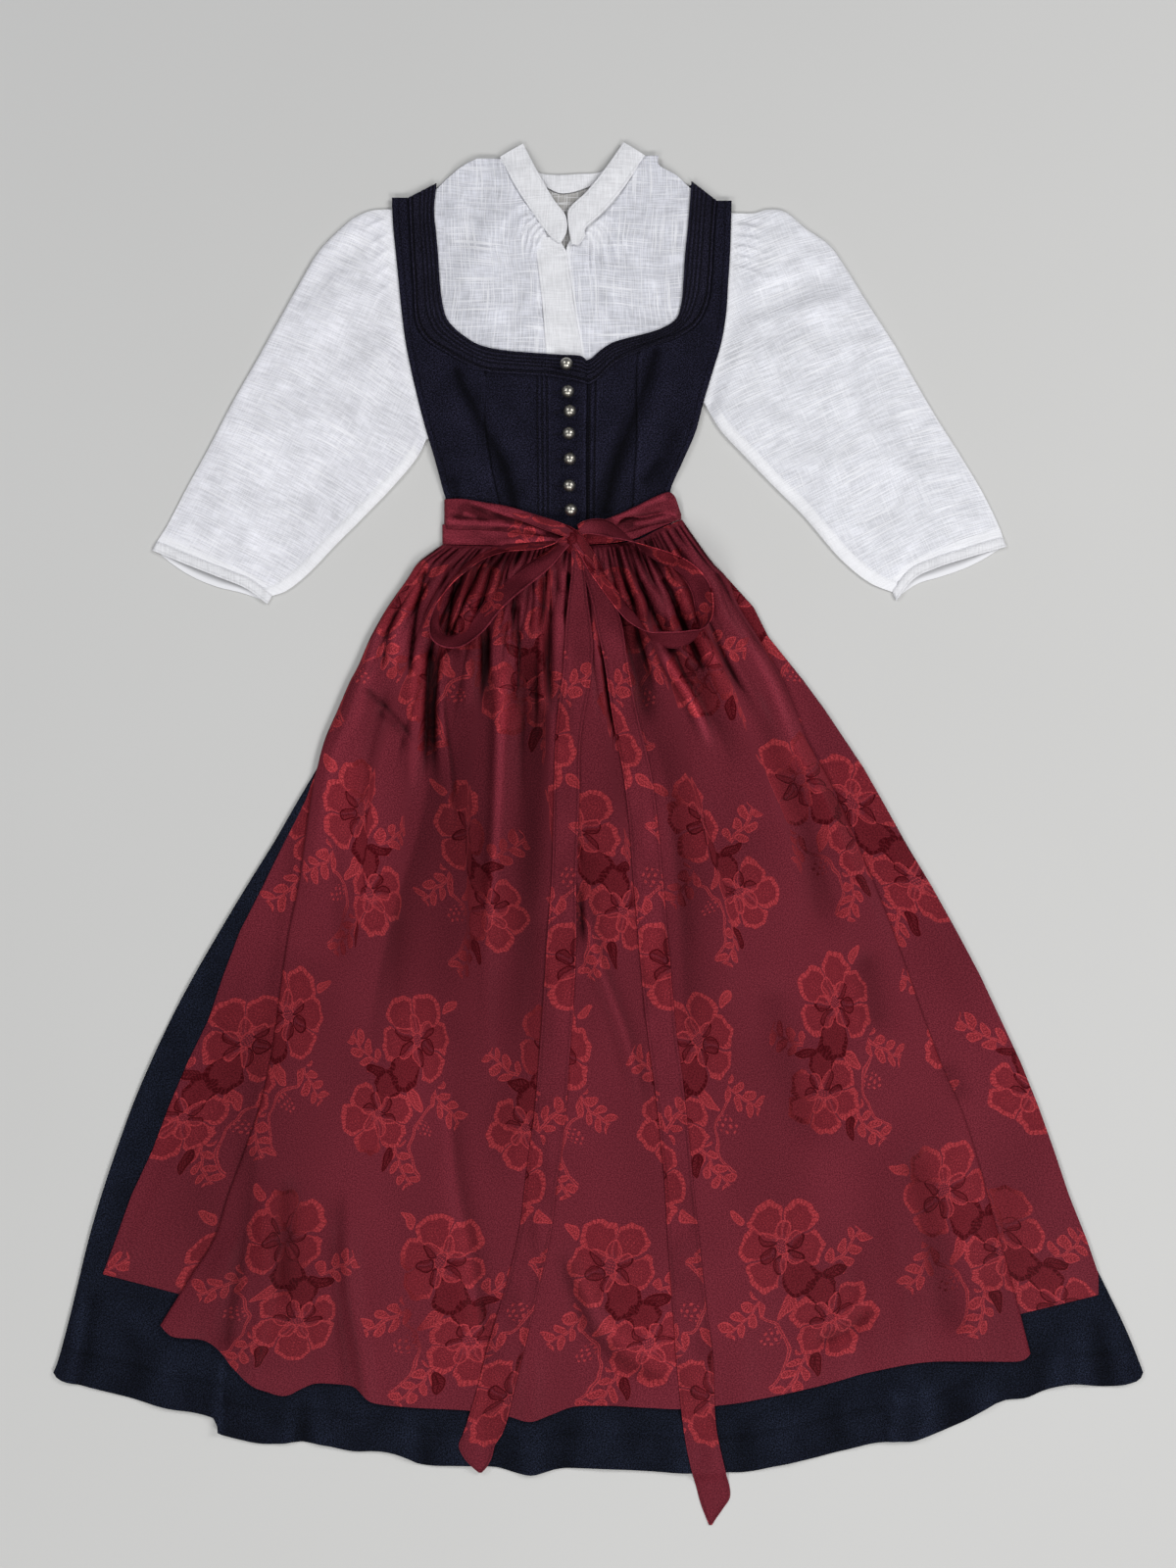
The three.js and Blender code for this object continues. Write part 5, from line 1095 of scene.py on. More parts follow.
# painted shade strokes on the apron: fold valleys, shadows of the bow and broad darker zones
APRON_SHADES = [
    # painted shadows under the bow's loops
    ([(-60, 284), (-96, 280), (-120, 270), (-140, 252), (-151, 232), (-155, 212), (-146, 203)], 6, 9, 0.34, 0.1, 0.1),
    ([(-150, 189), (-128, 198), (-104, 226), (-74, 252), (-48, 272)], 5, 7, 0.30, 0.15, 0.1),
    ([(24, 296), (50, 280), (78, 266), (92, 246), (94, 226), (86, 210)], 6, 9, 0.34, 0.1, 0.1),
    ([(96, 190), (70, 186), (44, 198), (16, 230), (-4, 258)], 5, 7, 0.30, 0.15, 0.1),
    ([(-60, -60), (-76, -170), (-92, -280), (-104, -380)], 28, 22, 0.25, 0.2, 0.3),
    ([(-150, -170), (-152, -230), (-150, -290)], 24, 24, 0.14, 0.3, 0.3),
    ([(-350, -150), (-372, -300), (-376, -420), (-372, -560)], 55, 60, 0.17, 0.15, 0.05),
    ([(-300, -110), (-330, -190)], 45, 45, 0.12, 0.3, 0.3),
    ([(34, 170), (42, 80), (30, 0)], 22, 22, 0.22, 0.2, 0.3),
    ([(-110, 40), (-116, -60)], 26, 26, 0.14, 0.3, 0.3),
    ([(150, 20), (160, -60)], 26, 26, 0.12, 0.3, 0.3),
    ([(-176, 215), (-170, 183), (-168, 110), (-165, 44)], 5, 7, 0.80, 0.25, 0.35),
    ([(-158, 120), (-170, 51), (-184, -9), (-206, -80), (-222, -150), (-236, -250)], 34, 4, 0.36, 0.2, 0.4),
    ([(-141, 251), (-134, 211), (-136, 91), (-142, -49), (-154, -149), (-160, -250)], 28, 26, 0.30, 0.12, 0.4),
    ([(-66, 225), (-66, 91), (-70, -49), (-80, -149), (-88, -230)], 17, 17, 0.50, 0.15, 0.45),
    ([(-113, 215), (-107, 91), (-112, -29), (-120, -120)], 3.5, 8, 0.40, 0.2, 0.4),
    ([(-116, 205), (-116, 120)], 5, 5, 0.45, 0.2, 0.4),
    ([(-62, 242), (-60, 200)], 4, 4, 0.35, 0.2, 0.4),
    ([(36, 215), (44, 151), (54, 104)], 11, 7, 0.62, 0.15, 0.3),
    ([(50, 140), (70, 60), (80, -20), (88, -109), (92, -209), (94, -300)], 26, 5, 0.30, 0.2, 0.4),
    ([(5, 180), (11, 140), (18, 98)], 4, 4, 0.60, 0.15, 0.3),
    ([(-19, -46), (-17, -80), (-15, -116)], 3.5, 3.5, 0.72, 0.15, 0.3),
    ([(72, 205), (98, 150), (128, 96), (140, 50)], 15, 4, 0.36, 0.15, 0.4),
    ([(92, 195), (122, 128)], 13, 13, 0.28, 0.2, 0.3),
    ([(124, 187), (172, 106), (190, 50), (206, -10)], 10, 10, 0.26, 0.15, 0.4),
    ([(-240, 151), (-207, 120), (-185, 92)], 3, 5, 0.40, 0.1, 0.2),
    ([(-214, 120), (-198, 100)], 4, 4, 0.25, 0.2, 0.3),
    ([(-22, 5), (-2, -109), (15, -159), (33, -209), (46, -266), (48, -309)], 10, 3, 0.26, 0.15, 0.2),
    ([(-154, -255), (-141, -355), (-128, -422), (-114, -525)], 13, 4, 0.30, 0.15, 0.1),
    ([(-262, -355), (-257, -467), (-246, -529), (-239, -580)], 4, 13, 0.26, 0.15, 0.05),
    ([(-42, -419), (-24, -467), (-2, -516), (52, -552), (83, -558)], 8, 8, 0.30, 0.15, 0.15),
    ([(217, -520), (253, -507), (281, -481)], 6, 6, 0.32, 0.2, 0.2),
    ([(268, -110), (287, -209)], 15, 15, 0.26, 0.25, 0.25),
    ([(352, -229), (376, -276)], 10, 10, 0.24, 0.25, 0.25),
    ([(194, 81), (218, -20), (245, -115)], 12, 20, 0.20, 0.2, 0.3),
    ([(170, -139), (196, -240), (216, -329)], 12, 18, 0.20, 0.2, 0.3),
    ([(317, -309), (345, -410), (366, -519)], 13, 16, 0.24, 0.2, 0.1),
    ([(-141, 262), (-133, 232)], 30, 30, 0.26, 0.0, 0.2),
    ([(30, 262), (62, 216)], 38, 30, 0.34, 0.0, 0.2),
    ([(-110, 268), (-92, 226)], 22, 22, 0.24, 0.0, 0.2),
    ([(-290, 60), (-318, -60), (-338, -200), (-372, -370)], 5, 9, 0.18, 0.1, 0.1),
    ([(-316, -339), (-322, -410), (-322, -490)], 14, 9, 0.24, 0.2, 0.2),
    ([(-348, -309), (-362, -420), (-380, -530)], 4, 12, 0.30, 0.1, 0.05),
    ([(-206, 190), (-230, 95), (-244, 20)], 10, 10, 0.14, 0.2, 0.3),
]
# painted highlight strokes on the apron's ridges and crests
APRON_LIGHTS = [
    ([(-196, 212), (-214, 130)], 24, 30, 0.24, 0.1, 0.3),
    ([(-24, 225), (-22, 180)], 24, 24, 0.22, 0.1, 0.4),
    ([(-262, 110), (-268, 20), (-270, -60)], 30, 30, 0.15, 0.2, 0.3),
    ([(110, -420), (130, -520)], 60, 60, 0.07, 0.3, 0.2),
    ([(-101, 215), (-97, 140), (-99, 84), (-104, -7), (-114, -149)], 5, 5, 0.42, 0.2, 0.4),
    ([(-190, 150), (-204, 60), (-230, -30), (-250, -110)], 22, 34, 0.14, 0.2, 0.4),
    ([(62, 186), (88, 146), (118, 80)], 5, 5, 0.42, 0.15, 0.3),
    ([(104, 196), (140, 140), (172, 80)], 10, 10, 0.20, 0.2, 0.4),
    ([(-26, 5), (-8, -109), (9, -159), (27, -209), (40, -266)], 4, 4, 0.28, 0.1, 0.2),
    ([(-150, -255), (-150, -355), (-136, -422), (-121, -525)], 4, 10, 0.22, 0.15, 0.1),
    ([(150, 205), (196, 120), (236, 40)], 14, 14, 0.14, 0.2, 0.4),
    ([(240, -520), (260, -500), (276, -474)], 5, 5, 0.30, 0.2, 0.2),
    ([(-20, -440), (0, -492), (40, -530)], 6, 6, 0.28, 0.2, 0.2),
]
# painted sheen strokes: where the satin's figure is painted dark on light, as on slopes turned from the light
APRON_PAINTED_SHEEN_FLIPS = [  # where the figure shows dark on light
    ([(190, 90), (205, 20), (236, -100)], 14, 12, 0.95, 0.15, 0.15),
    ([(172, -130), (190, -220), (212, -330)], 13, 13, 0.95, 0.15, 0.15),
    ([(318, -300), (338, -400), (362, -520)], 14, 12, 0.95, 0.15, 0.15),
    ([(72, 60), (84, -40), (98, -140)], 12, 12, 0.95, 0.15, 0.15),
    ([(100, 180), (124, 120), (136, 60)], 16, 14, 0.9, 0.15, 0.15),
    ([(400, -299), (424, -420)], 18, 16, 0.95, 0.15, 0.15),
    ([(-318, -330), (-312, -480)], 13, 12, 0.95, 0.15, 0.15),
    ([(-122, 30), (-126, -60), (-134, -190)], 11, 11, 0.9, 0.15, 0.15),
    ([(-60, -160), (-64, -300)], 12, 12, 0.8, 0.2, 0.2),
    ([(-236, -300), (-226, -420)], 12, 12, 0.8, 0.2, 0.2),
    ([(-256, -60), (-262, -200)], 9, 14, 0.8, 0.2, 0.2),
    ([(4, -140), (20, -220)], 9, 9, 0.8, 0.2, 0.2),
    ([(-196, -420), (-186, -540)], 14, 14, 0.7, 0.2, 0.2),
    ([(84, -380), (96, -480)], 12, 12, 0.7, 0.2, 0.2),
]
PLEAT_S = [0.035, 0.075, 0.12, 0.165, 0.205, 0.26, 0.312, 0.352, 0.395, 0.44, 0.485, 0.535, 0.58, 0.62, 0.664, 0.71, 0.75,
           0.79, 0.835, 0.88, 0.925, 0.965]


def apron_front_height(S, V, X, Y, width):
    """Height of the apron's front ply above its own resting level."""
    # gathers sewn into the band: tight ridges that merge on the way down
    warp = 0.9 * N1(S * 21, V * 6) + 0.5 * N2(S * 47, V * 9)
    g1 = np.abs(np.sin(np.pi * (43 * S + warp))) ** 0.8
    g2 = np.abs(np.sin(np.pi * (23 * S + 0.6 * warp + 0.4))) ** 0.8
    reach1 = 0.050 + 0.026 * N3(S * 26, 0.5 + 0 * V)
    reach2 = 0.125 + 0.06 * N3(S * 17, 3.5 + 0 * V)
    uneven = 0.8 + 0.35 * N4(S * 30, 0.3 + 0 * V)
    fan = 3.8 * uneven * g1 * sstep(0.0, 0.006, V) * (1 - sstep(0.3, 1.0, V / reach1))
    fan = fan + 4.6 * g2 * sstep(0.006, 0.045, V) * (1 - sstep(0.3, 1.0, V / reach2))
    # plateau that the pleats stand up to
    plateau = 1.4 + 8.6 * sstep(0.005, 0.07, V) * (1 - sstep(0.16, 0.60, V)) + 1.6 * sstep(0.4, 1, V)
    # pleat valleys fanning out from the band
    val = np.zeros_like(X)
    for k, s0 in enumerate(PLEAT_S):
        r = rng_p[k]
        d = np.abs(S - s0 - 0.004 * N4(V * 7, k * 3.3)) * width
        reach = 0.15 + 0.16 * r[0]
        deep = (2.4 + 3.0 * r[1]) * sstep(0.012, 0.07, V) * (1 - sstep(reach * 0.35, reach, V))
        val = val + deep * np.exp(-(np.sqrt(d * d + 0.5) - 0.7) / (2.4 + 1.8 * r[2]))
    h = plateau + fan - val + folds(X, Y, APRON_FOLDS)
    # low undulation of the cloth and its small crinkles, drawn out along the fall
    h = h + 1.1 * fbm(S * 13, V * 4.5, 2, N2) * sstep(0.1, 0.4, V)
    h = h + 0.45 * fbm(S * 42 + 3, V * 13, 2, N3) * (0.35 + 0.65 * (1 - sstep(0.25, 0.8, V)))
    h = h + 0.10 * fbm(X / 7, Y / 9, 2, N4)
    return np.maximum(h, 0.05) + 0.25 * np.minimum(h, 0) * 0


rng_p = np.random.default_rng(5).uniform(0, 1, (len(PLEAT_S), 3))


def tuck_width(v):
    return mix(14, 46, sstep(0, 0.5, v))


def build_apron():
    nf = 224
    uf = np.linspace(0, 1, nf + 1)
    e = np.array([0.0014, 0.0032])
    uf = np.unique(np.concatenate([uf, e, 1 - e]))
    vs = np.linspace(0, 1, 265)
    vs = 0.36 * vs + 0.64 * vs ** 2
    vs = np.unique(np.concatenate([vs, [0.9985, 0.9993]]))
    if len(vs) % 2 == 0:
        vs = vs[:-3].tolist() + vs[-2:].tolist()
        vs = np.array(vs)
    topL, hemL = Line(APRON_TOP), Line(APRON_HEM, corners=())
    left = Line([(-160, 294.5)] + [(r[2], r[0]) for r in APRON_SIDES[1:]])
    right = Line([(84.5, 320.5)] + [(r[3], r[0]) for r in APRON_SIDES[1:-1]] + [(440, -530)])
    X, Y = patch(topL, hemL, left, right, uf, vs)
    ys = np.array([r[0] for r in APRON_SIDES])[::-1]
    outL = lambda y: np.interp(y, ys, np.array([r[1] for r in APRON_SIDES])[::-1])
    frL = lambda y: np.interp(y, ys, np.array([r[2] for r in APRON_SIDES])[::-1])
    frR = lambda y: np.interp(y, ys, np.array([r[3] for r in APRON_SIDES])[::-1])
    outR = lambda y: np.interp(y, ys, np.array([r[4] for r in APRON_SIDES])[::-1])
    V = vs[:, None] + 0 * X
    S = uf[None, :] + 0 * X
    width = np.hypot(X[:, -1] - X[:, 0], Y[:, -1] - Y[:, 0])[:, None]
    z0 = APRON_BASE + SATIN / 2
    inL, inR = X - X[:, :1], X[:, -1:] - X
    reach = tuck_width(V) + 6
    lift = np.maximum(1 - sstep(reach, reach + 44, inL), 1 - sstep(reach, reach + 44, inR))
    edge = np.minimum(sstep(-2, 16, inL), sstep(-2, 16, inR))
    head = (WAISTBAND_Z - APRON_BASE) * (1 - sstep(0, 0.05, V))
    H = apron_front_height(S, V, X, Y, width)
    H = H * (0.25 + 0.75 * edge) * sstep(-0.004, 0.004, V)
    Zf = z0 + np.maximum(2 * PLY * lift, head) + H
    # soft turned edge at both sides
    roll = 1.3 * (1 - np.sqrt(np.clip(1 - np.clip(1 - np.minimum(inL, inR) / 3.0, 0, 1) ** 2, 0, 1)))
    Zf = Zf - roll
    # pattern coordinate: natural scale on each pleat, the rest hidden in the valleys
    WC = 830.0
    ratio = np.clip(width / WC, 0.05, 1.0)
    ratio = ratio + (1 - ratio) * sstep(0.30, 0.62, V)
    bounds = np.array([0.0, 0.12, 0.19, 0.312, 0.464, 0.60, 0.749, 0.888, 1.0])
    k = np.clip(np.searchsorted(bounds, S, side="right") - 1, 0, len(bounds) - 2)
    s0, s1 = bounds[k], bounds[k + 1]
    mid, half = (s0 + s1) / 2, (s1 - s0) / 2
    f = (S - mid) / half
    jump = np.sign(f) * sstep(1 - np.clip(3.0 / (half * width), 0.03, 0.5), 1.0, np.abs(f))
    Uc = WC * (mid + half * (f * ratio + (1 - ratio) * jump))
    seg = np.hypot(np.diff(X, axis=0), np.diff(Y, axis=0))
    Vc = np.vstack([np.zeros((1, X.shape[1])), np.cumsum(seg, axis=0)])
    Vc = -Vc * 1.0
    UVf = np.stack([Uc, Vc], -1)

    def plies(side):
        sg = -1 if side == "l" else 1
        e = (X[:, 0], Y[:, 0], Zf[:, 0], UVf[:, 0]) if side == "l" else (X[:, -1], Y[:, -1], Zf[:, -1], UVf[:, -1])
        ex, ey, ez, euv = e
        topy = Y[0, 0] if side == "l" else Y[0, -1]
        so, st = (0.935, 0.974) if side == "l" else (0.93, 0.966)
        nxt = (X[:, 12] - X[:, 0], Y[:, 12] - Y[:, 0]) if side == "l" else (X[:, -13] - X[:, -1], Y[:, -13] - Y[:, -1])
        slope = (nxt[1] / nxt[0]) * (1 - sstep(0, 0.1, vs))
        tuck = tuck_width(vs)
        yo, yt = mix(topy, ey, so), mix(topy, ey, st)
        xo = outL(yo) if side == "l" else outR(yo)
        xt = (frL(yt) if side == "l" else frR(yt)) - sg * tuck
        cols, uvc = [], []

        def put(x, y, z, du):
            cols.append(np.stack([x, y + slope * (x - ex), z], -1))
            uvc.append(np.stack([euv[:, 0] + sg * du, -(topy - y) * 1.02], -1))
        kk = np.concatenate([[0, 0.012, 0.03], np.linspace(0.08, 1, 17)])
        for q in kk:
            x, y = mix(xo, xt, q), mix(yo, yt, q)
            vis = 1 - sstep(0.35, 0.7, q)
            z = z0 + np.maximum(0, 0.5 + folds(x, y, SIDE_FOLDS) + 0.35 * fbm(x / 30, y / 60)) * vis * (
                sstep(0, 30, np.abs(ex - x)) if False else 1) * sstep(4, 26, sg * (x - ex))
            z = z - 0.5 * (q == 0) + 0 * x
            put(x, y, z, 2 * tuck + (1 - q) * np.abs(xo - xt))
        put(xt - sg * PLY * 0.35, yt, z0 + PLY * 0.15 + 0 * xt, 2 * tuck)
        put(xt - sg * PLY / 2, yt, z0 + PLY / 2 + 0 * xt, 2 * tuck)
        put(xt - sg * PLY * 0.35, yt, z0 + PLY * 0.85 + 0 * xt, 2 * tuck)
        for q in np.linspace(0.05, 1, 7):
            put(mix(xt, ex - sg * 1.0, q), mix(yt, ey, q), z0 + PLY + 0 * xt, tuck * (2 - q))
        zt = ez
        for a in (30, 75, 120):
            c = math.radians(a)
            put(ex - sg * 1.0 + sg * 1.0 * math.sin(c), ey, (z0 + PLY + zt) / 2 - (zt - z0 - PLY) / 2 * math.cos(c), 2.0 + 0 * ex)
        return cols, uvc

    cl, ul = plies("l")
    cr, ur = plies("r")
    Pm = np.stack([X, Y, Zf], -1)
    mid_surface = np.concatenate([np.stack(cl, 1), Pm, np.stack(cr[::-1], 1)], 1)
    UV = np.concatenate([np.stack(ul, 1), UVf, np.stack(ur[::-1], 1)], 1)
    cut = mid_surface.shape[1] % 2 == 0
    if cut:
        mid_surface = np.delete(mid_surface, 40, axis=1)
        UV = np.delete(UV, 40, axis=1)
    n = normals(mid_surface)
    top = mid_surface + n * SATIN * 0.45
    bot = mid_surface - n * SATIN * 0.45
    # painted shade: the satin is painted dull in the depths and lighter on the crests, and its figure is painted dark
    # where the cloth slopes away
    depth = soften(soften(Zf, 7, 1), 4, 0) - Zf
    painted_valley_shade_f = 0.80 * sstep(0.25, 6.0, depth) * (1 - 0.35 * sstep(0.5, 1, V))
    painted_valley_shade_f = painted_valley_shade_f + 0.62 * sstep(0.10, 1.4, soften(Zf, 2, 1) - Zf) * (1 - sstep(0.16, 0.40, V))
    painted_crest_light_f = 0.34 * sstep(0.15, 1.8, Zf - soften(Zf, 4, 1)) * (1 - sstep(0.22, 0.48, V))
    # painted shade in the hollows and painted highlights on the crests of the gathering crimps just under the band
    warp = 0.9 * N1(S * 21, V * 6) + 0.5 * N2(S * 47, V * 9)
    crest = np.abs(np.sin(np.pi * (43 * S + warp + 1.4 * V * np.sin(S * 31)))) ** 0.8
    low = (0.040 + 0.030 * N3(S * 19, 1.5 + 0 * V)) * (1 + 0.7 * sstep(0.55, 0.95, S))
    zone = sstep(0.002, 0.010, V) * (1 - sstep(0.45, 1.1, V / np.maximum(low, 0.012)))
    painted_valley_shade_f = painted_valley_shade_f + 0.85 * (1 - crest) * zone + 0.12 * zone
    painted_crest_light_f = painted_crest_light_f + 0.45 * sstep(0.80, 1.0, crest) * zone
    # painted sheen: the figure is painted dark on slopes falling to the right, in the upper part
    Zs = soften(soften(Zf, 2, 1), 2, 0)
    slope_x = np.gradient(Zs, axis=1) / np.gradient(X, axis=1)
    painted_sheen_flip_f = 0.75 * sstep(0.07, 0.16, -slope_x + 0.03 * fbm(X / 25, Y / 40, 2, N2)) * (1 - sstep(0.30, 0.45, V))
    pad_l, pad_r = len(cl), len(cr)
    wide = lambda A: np.concatenate([np.zeros((len(vs), pad_l)), A, np.zeros((len(vs), pad_r))], 1)
    painted_valley_shade_a, painted_sheen_flip_a, painted_crest_light_a = wide(painted_valley_shade_f), wide(painted_sheen_flip_f), wide(painted_crest_light_f)
    if cut:
        painted_valley_shade_a, painted_sheen_flip_a, painted_crest_light_a = [np.delete(q, 40, axis=1) for q in (painted_valley_shade_a, painted_sheen_flip_a, painted_crest_light_a)]
    fx, fy = mid_surface[..., 0], mid_surface[..., 1]
    # painted sheen strokes, then painted shade and highlight strokes, darker still in the depths and lighter on the
    # crests
    painted_sheen_flip_a = np.clip(painted_sheen_flip_a + strokes(fx, fy, APRON_PAINTED_SHEEN_FLIPS), 0, 1)
    shade = (1 - strokes(fx, fy, APRON_SHADES)) * (1 + strokes(fx, fy, APRON_LIGHTS)) * (1 - np.clip(painted_valley_shade_a, 0, 1) * 0.35) * (1 + painted_crest_light_a)
    # painted shade over broad zones: a darker band down the upper middle, the left side darker lower down, the hem a
    # little lighter, with random tone
    painted_mid_shade_band = sstep(-226, -198, fx + 0.10 * fy) * (1 - sstep(60, 160, fx + 0.15 * fy))
    painted_shade_and_tone = 0.99 - 0.07 * painted_mid_shade_band * (1 - sstep(190, 380, -fy))
    painted_shade_and_tone = painted_shade_and_tone - 0.09 * (1 - sstep(-330, -230, fx)) * sstep(60, 180, -fy) * (1 - 0.5 * sstep(430, 540, -fy))
    painted_shade_and_tone = painted_shade_and_tone + 0.04 * sstep(420, 540, -fy) + 0.10 * fbm(fx / 60, fy / 120, 2, N3)
    o = shell("apron_panel_cloth", top, bot, UV, 2, sharp=70,
              attrs={"deep": np.clip(painted_valley_shade_a, 0, 1), "flip": painted_sheen_flip_a, "shade": shade * painted_shade_and_tone - 1})
    finish_piece(o, SATIN_M, ["apron_panel"])
    lay_down(top[..., 0], top[..., 1], top[..., 2])
    return X, Y, Zf


# --------------------------------------------------------------------------
# Bodice
# --------------------------------------------------------------------------
BODICE_LEFT = [(-211, 639), (-209.5, 615), (-207, 591), (-204, 561), (-201, 531), (-197, 501), (-191, 471), (-184, 441),
               (-176, 411), (-167, 381), (-159, 351), (-156, 341), (-150, 303.5)]
BODICE_RIGHT = [(135.5, 641), (135, 620), (134, 591), (132, 561), (130, 531), (125, 501), (116, 471), (107, 441),
                (99, 411), (86, 381), (73, 351), (72, 341), (76, 303.5)]
NECK_LEFT = [(-165.5, 664), (-168, 636), (-166, 614), (-164, 591), (-162, 561), (-159, 539), (-155, 526), (-147, 516),
             (-137, 508), (-126, 501), (-111, 496), (-91, 493), (-66, 491), (-41, 489), (-17, 487), (-12.5, 483)]
SEAM_LEFT = [(-194, 649), (-191.5, 596), (-189, 559), (-186, 521), (-176, 504), (-156, 491), (-134, 479), (-116, 472),
             (-81, 469), (-51, 467), (-21, 461), (-12.5, 459)]
NECK_RIGHT = [(94.5, 666), (91, 621), (88, 591), (86, 561), (84, 541), (79, 526), (64, 516), (45, 510), (29, 506),
              (13, 501), (1, 493), (-10.5, 484)]
SEAM_RIGHT = [(120, 646), (117, 609), (115, 571), (111, 541), (99, 519), (79, 506), (60, 499), (41, 492), (16, 480),
              (-1, 464), (-10.5, 459)]
PRINCESS_LEFT = [(-116, 472), (-116, 419), (-112.5, 396), (-108, 368), (-102, 341), (-97, 303.5)]
PRINCESS_RIGHT = [(38.6, 491.4), (38.4, 470), (38, 446), (38, 396), (36, 366), (33, 303.5)]
BODICE_FOLDS = [
    dict(kind="G", line=[(-143, 476), (-127, 438), (-113, 404), (-98, 376), (-84, 339)], w=8, rise=2.4, start=0.25, end=0.05),
    dict(kind="V", line=[(-145, 477), (-138, 458), (-128, 440), (-118, 416), (-103, 388), (-92, 360)], w=2.6, rise=1.8, start=0.05, end=0.4),
    dict(kind="R", line=[(-150, 460), (-140, 420), (-124, 380), (-110, 345)], w=11, rise=1.2),
    dict(kind="R", line=[(-98, 440), (-90, 400), (-76, 360)], w=10, rise=1.0),
    dict(kind="G", line=[(59, 499), (44, 451), (29, 411), (14, 371), (4, 326)], w=8, rise=3.6, start=0.25, end=0.05),
    dict(kind="V", line=[(60, 498), (47, 458), (33, 420), (18, 380)], w=2.6, rise=1.8, start=0.05, end=0.4),
    dict(kind="R", line=[(70, 480), (58, 430), (44, 390), (30, 345)], w=11, rise=1.4),
    dict(kind="R", line=[(24, 440), (12, 400), (-4, 350)], w=9, rise=1.2),
    dict(kind="G", line=[(66, 384), (44, 356)], w=6, rise=1.3),
    dict(kind="G", line=[(-149, 366), (-144, 341)], w=5, rise=1.2, end=0),
    dict(kind="G", line=[(84, 420), (70, 385), (60, 350)], w=8, rise=0.9),
    dict(kind="G", line=[(-170, 430), (-160, 390), (-152, 350)], w=8, rise=0.8),
]


# painted shade strokes along the bodice's fold lines
BODICE_SHADES = [
    ([(-146, 480), (-139, 458), (-129, 441), (-119, 418), (-102, 388), (-92, 363), (-84, 330)], 3.5, 6, 0.60, 0.05, 0.0),
    ([(-104, 392), (-94, 366), (-86, 330)], 9, 9, 0.30, 0.3, 0.0),
    ([(61, 500), (48, 460), (34, 421), (18, 380), (6, 330)], 6, 3.5, 0.60, 0.05, 0.0),
    ([(30, 411), (14, 371), (4, 326)], 9, 10, 0.38, 0.3, 0.0),
    ([(66, 386), (44, 354)], 5, 5, 0.35, 0.2, 0.2),
    ([(-150, 368), (-144, 338)], 5, 5, 0.35, 0.2, 0.0),
    ([(84, 420), (70, 385), (60, 345)], 8, 8, 0.25, 0.2, 0.0),
]


# painted light and shade: darker along the shade strokes, lighter on fold ridges, darker or lighter along the extra
# lines
def bodice_painted_shade(x, y, extra=()):
    lit = 1 - strokes(x, y, BODICE_SHADES)
    ridge = folds(x, y, BODICE_FOLDS)
    lit = lit * (1 + 0.22 * np.clip(ridge, -1, 1.4))
    for d, w, amount in extra:
        lit = lit * (1 - amount * np.exp(-(d / w) ** 2))
    return lit - 1


def bodice_floor(x, y, overlap=False):
    base = mix(BODICE_AT_WAIST, BODICE_OVER_BLOUSE, sstep(344, 386, y))
    if overlap:
        base = base + OVERLAP_RISE * sstep(-53, -40, x)
    return base


def bodice_height(x, y, overlap=False):
    z = bodice_floor(x, y, overlap)
    z = z + 0.9 + folds(x, y, BODICE_FOLDS) * 0.9 + 0.25 * fbm(x / 26, y / 30, 2) + 0.05 * fbm(x / 5, y / 5, 2, N3)
    return np.maximum(z, bodice_floor(x, y, overlap))


def xs_at(line_pts, y):
    p = smooth_points(line_pts, 400)
    o = np.argsort(p[:, 1])
    return np.interp(y, p[o, 1], p[o, 0])


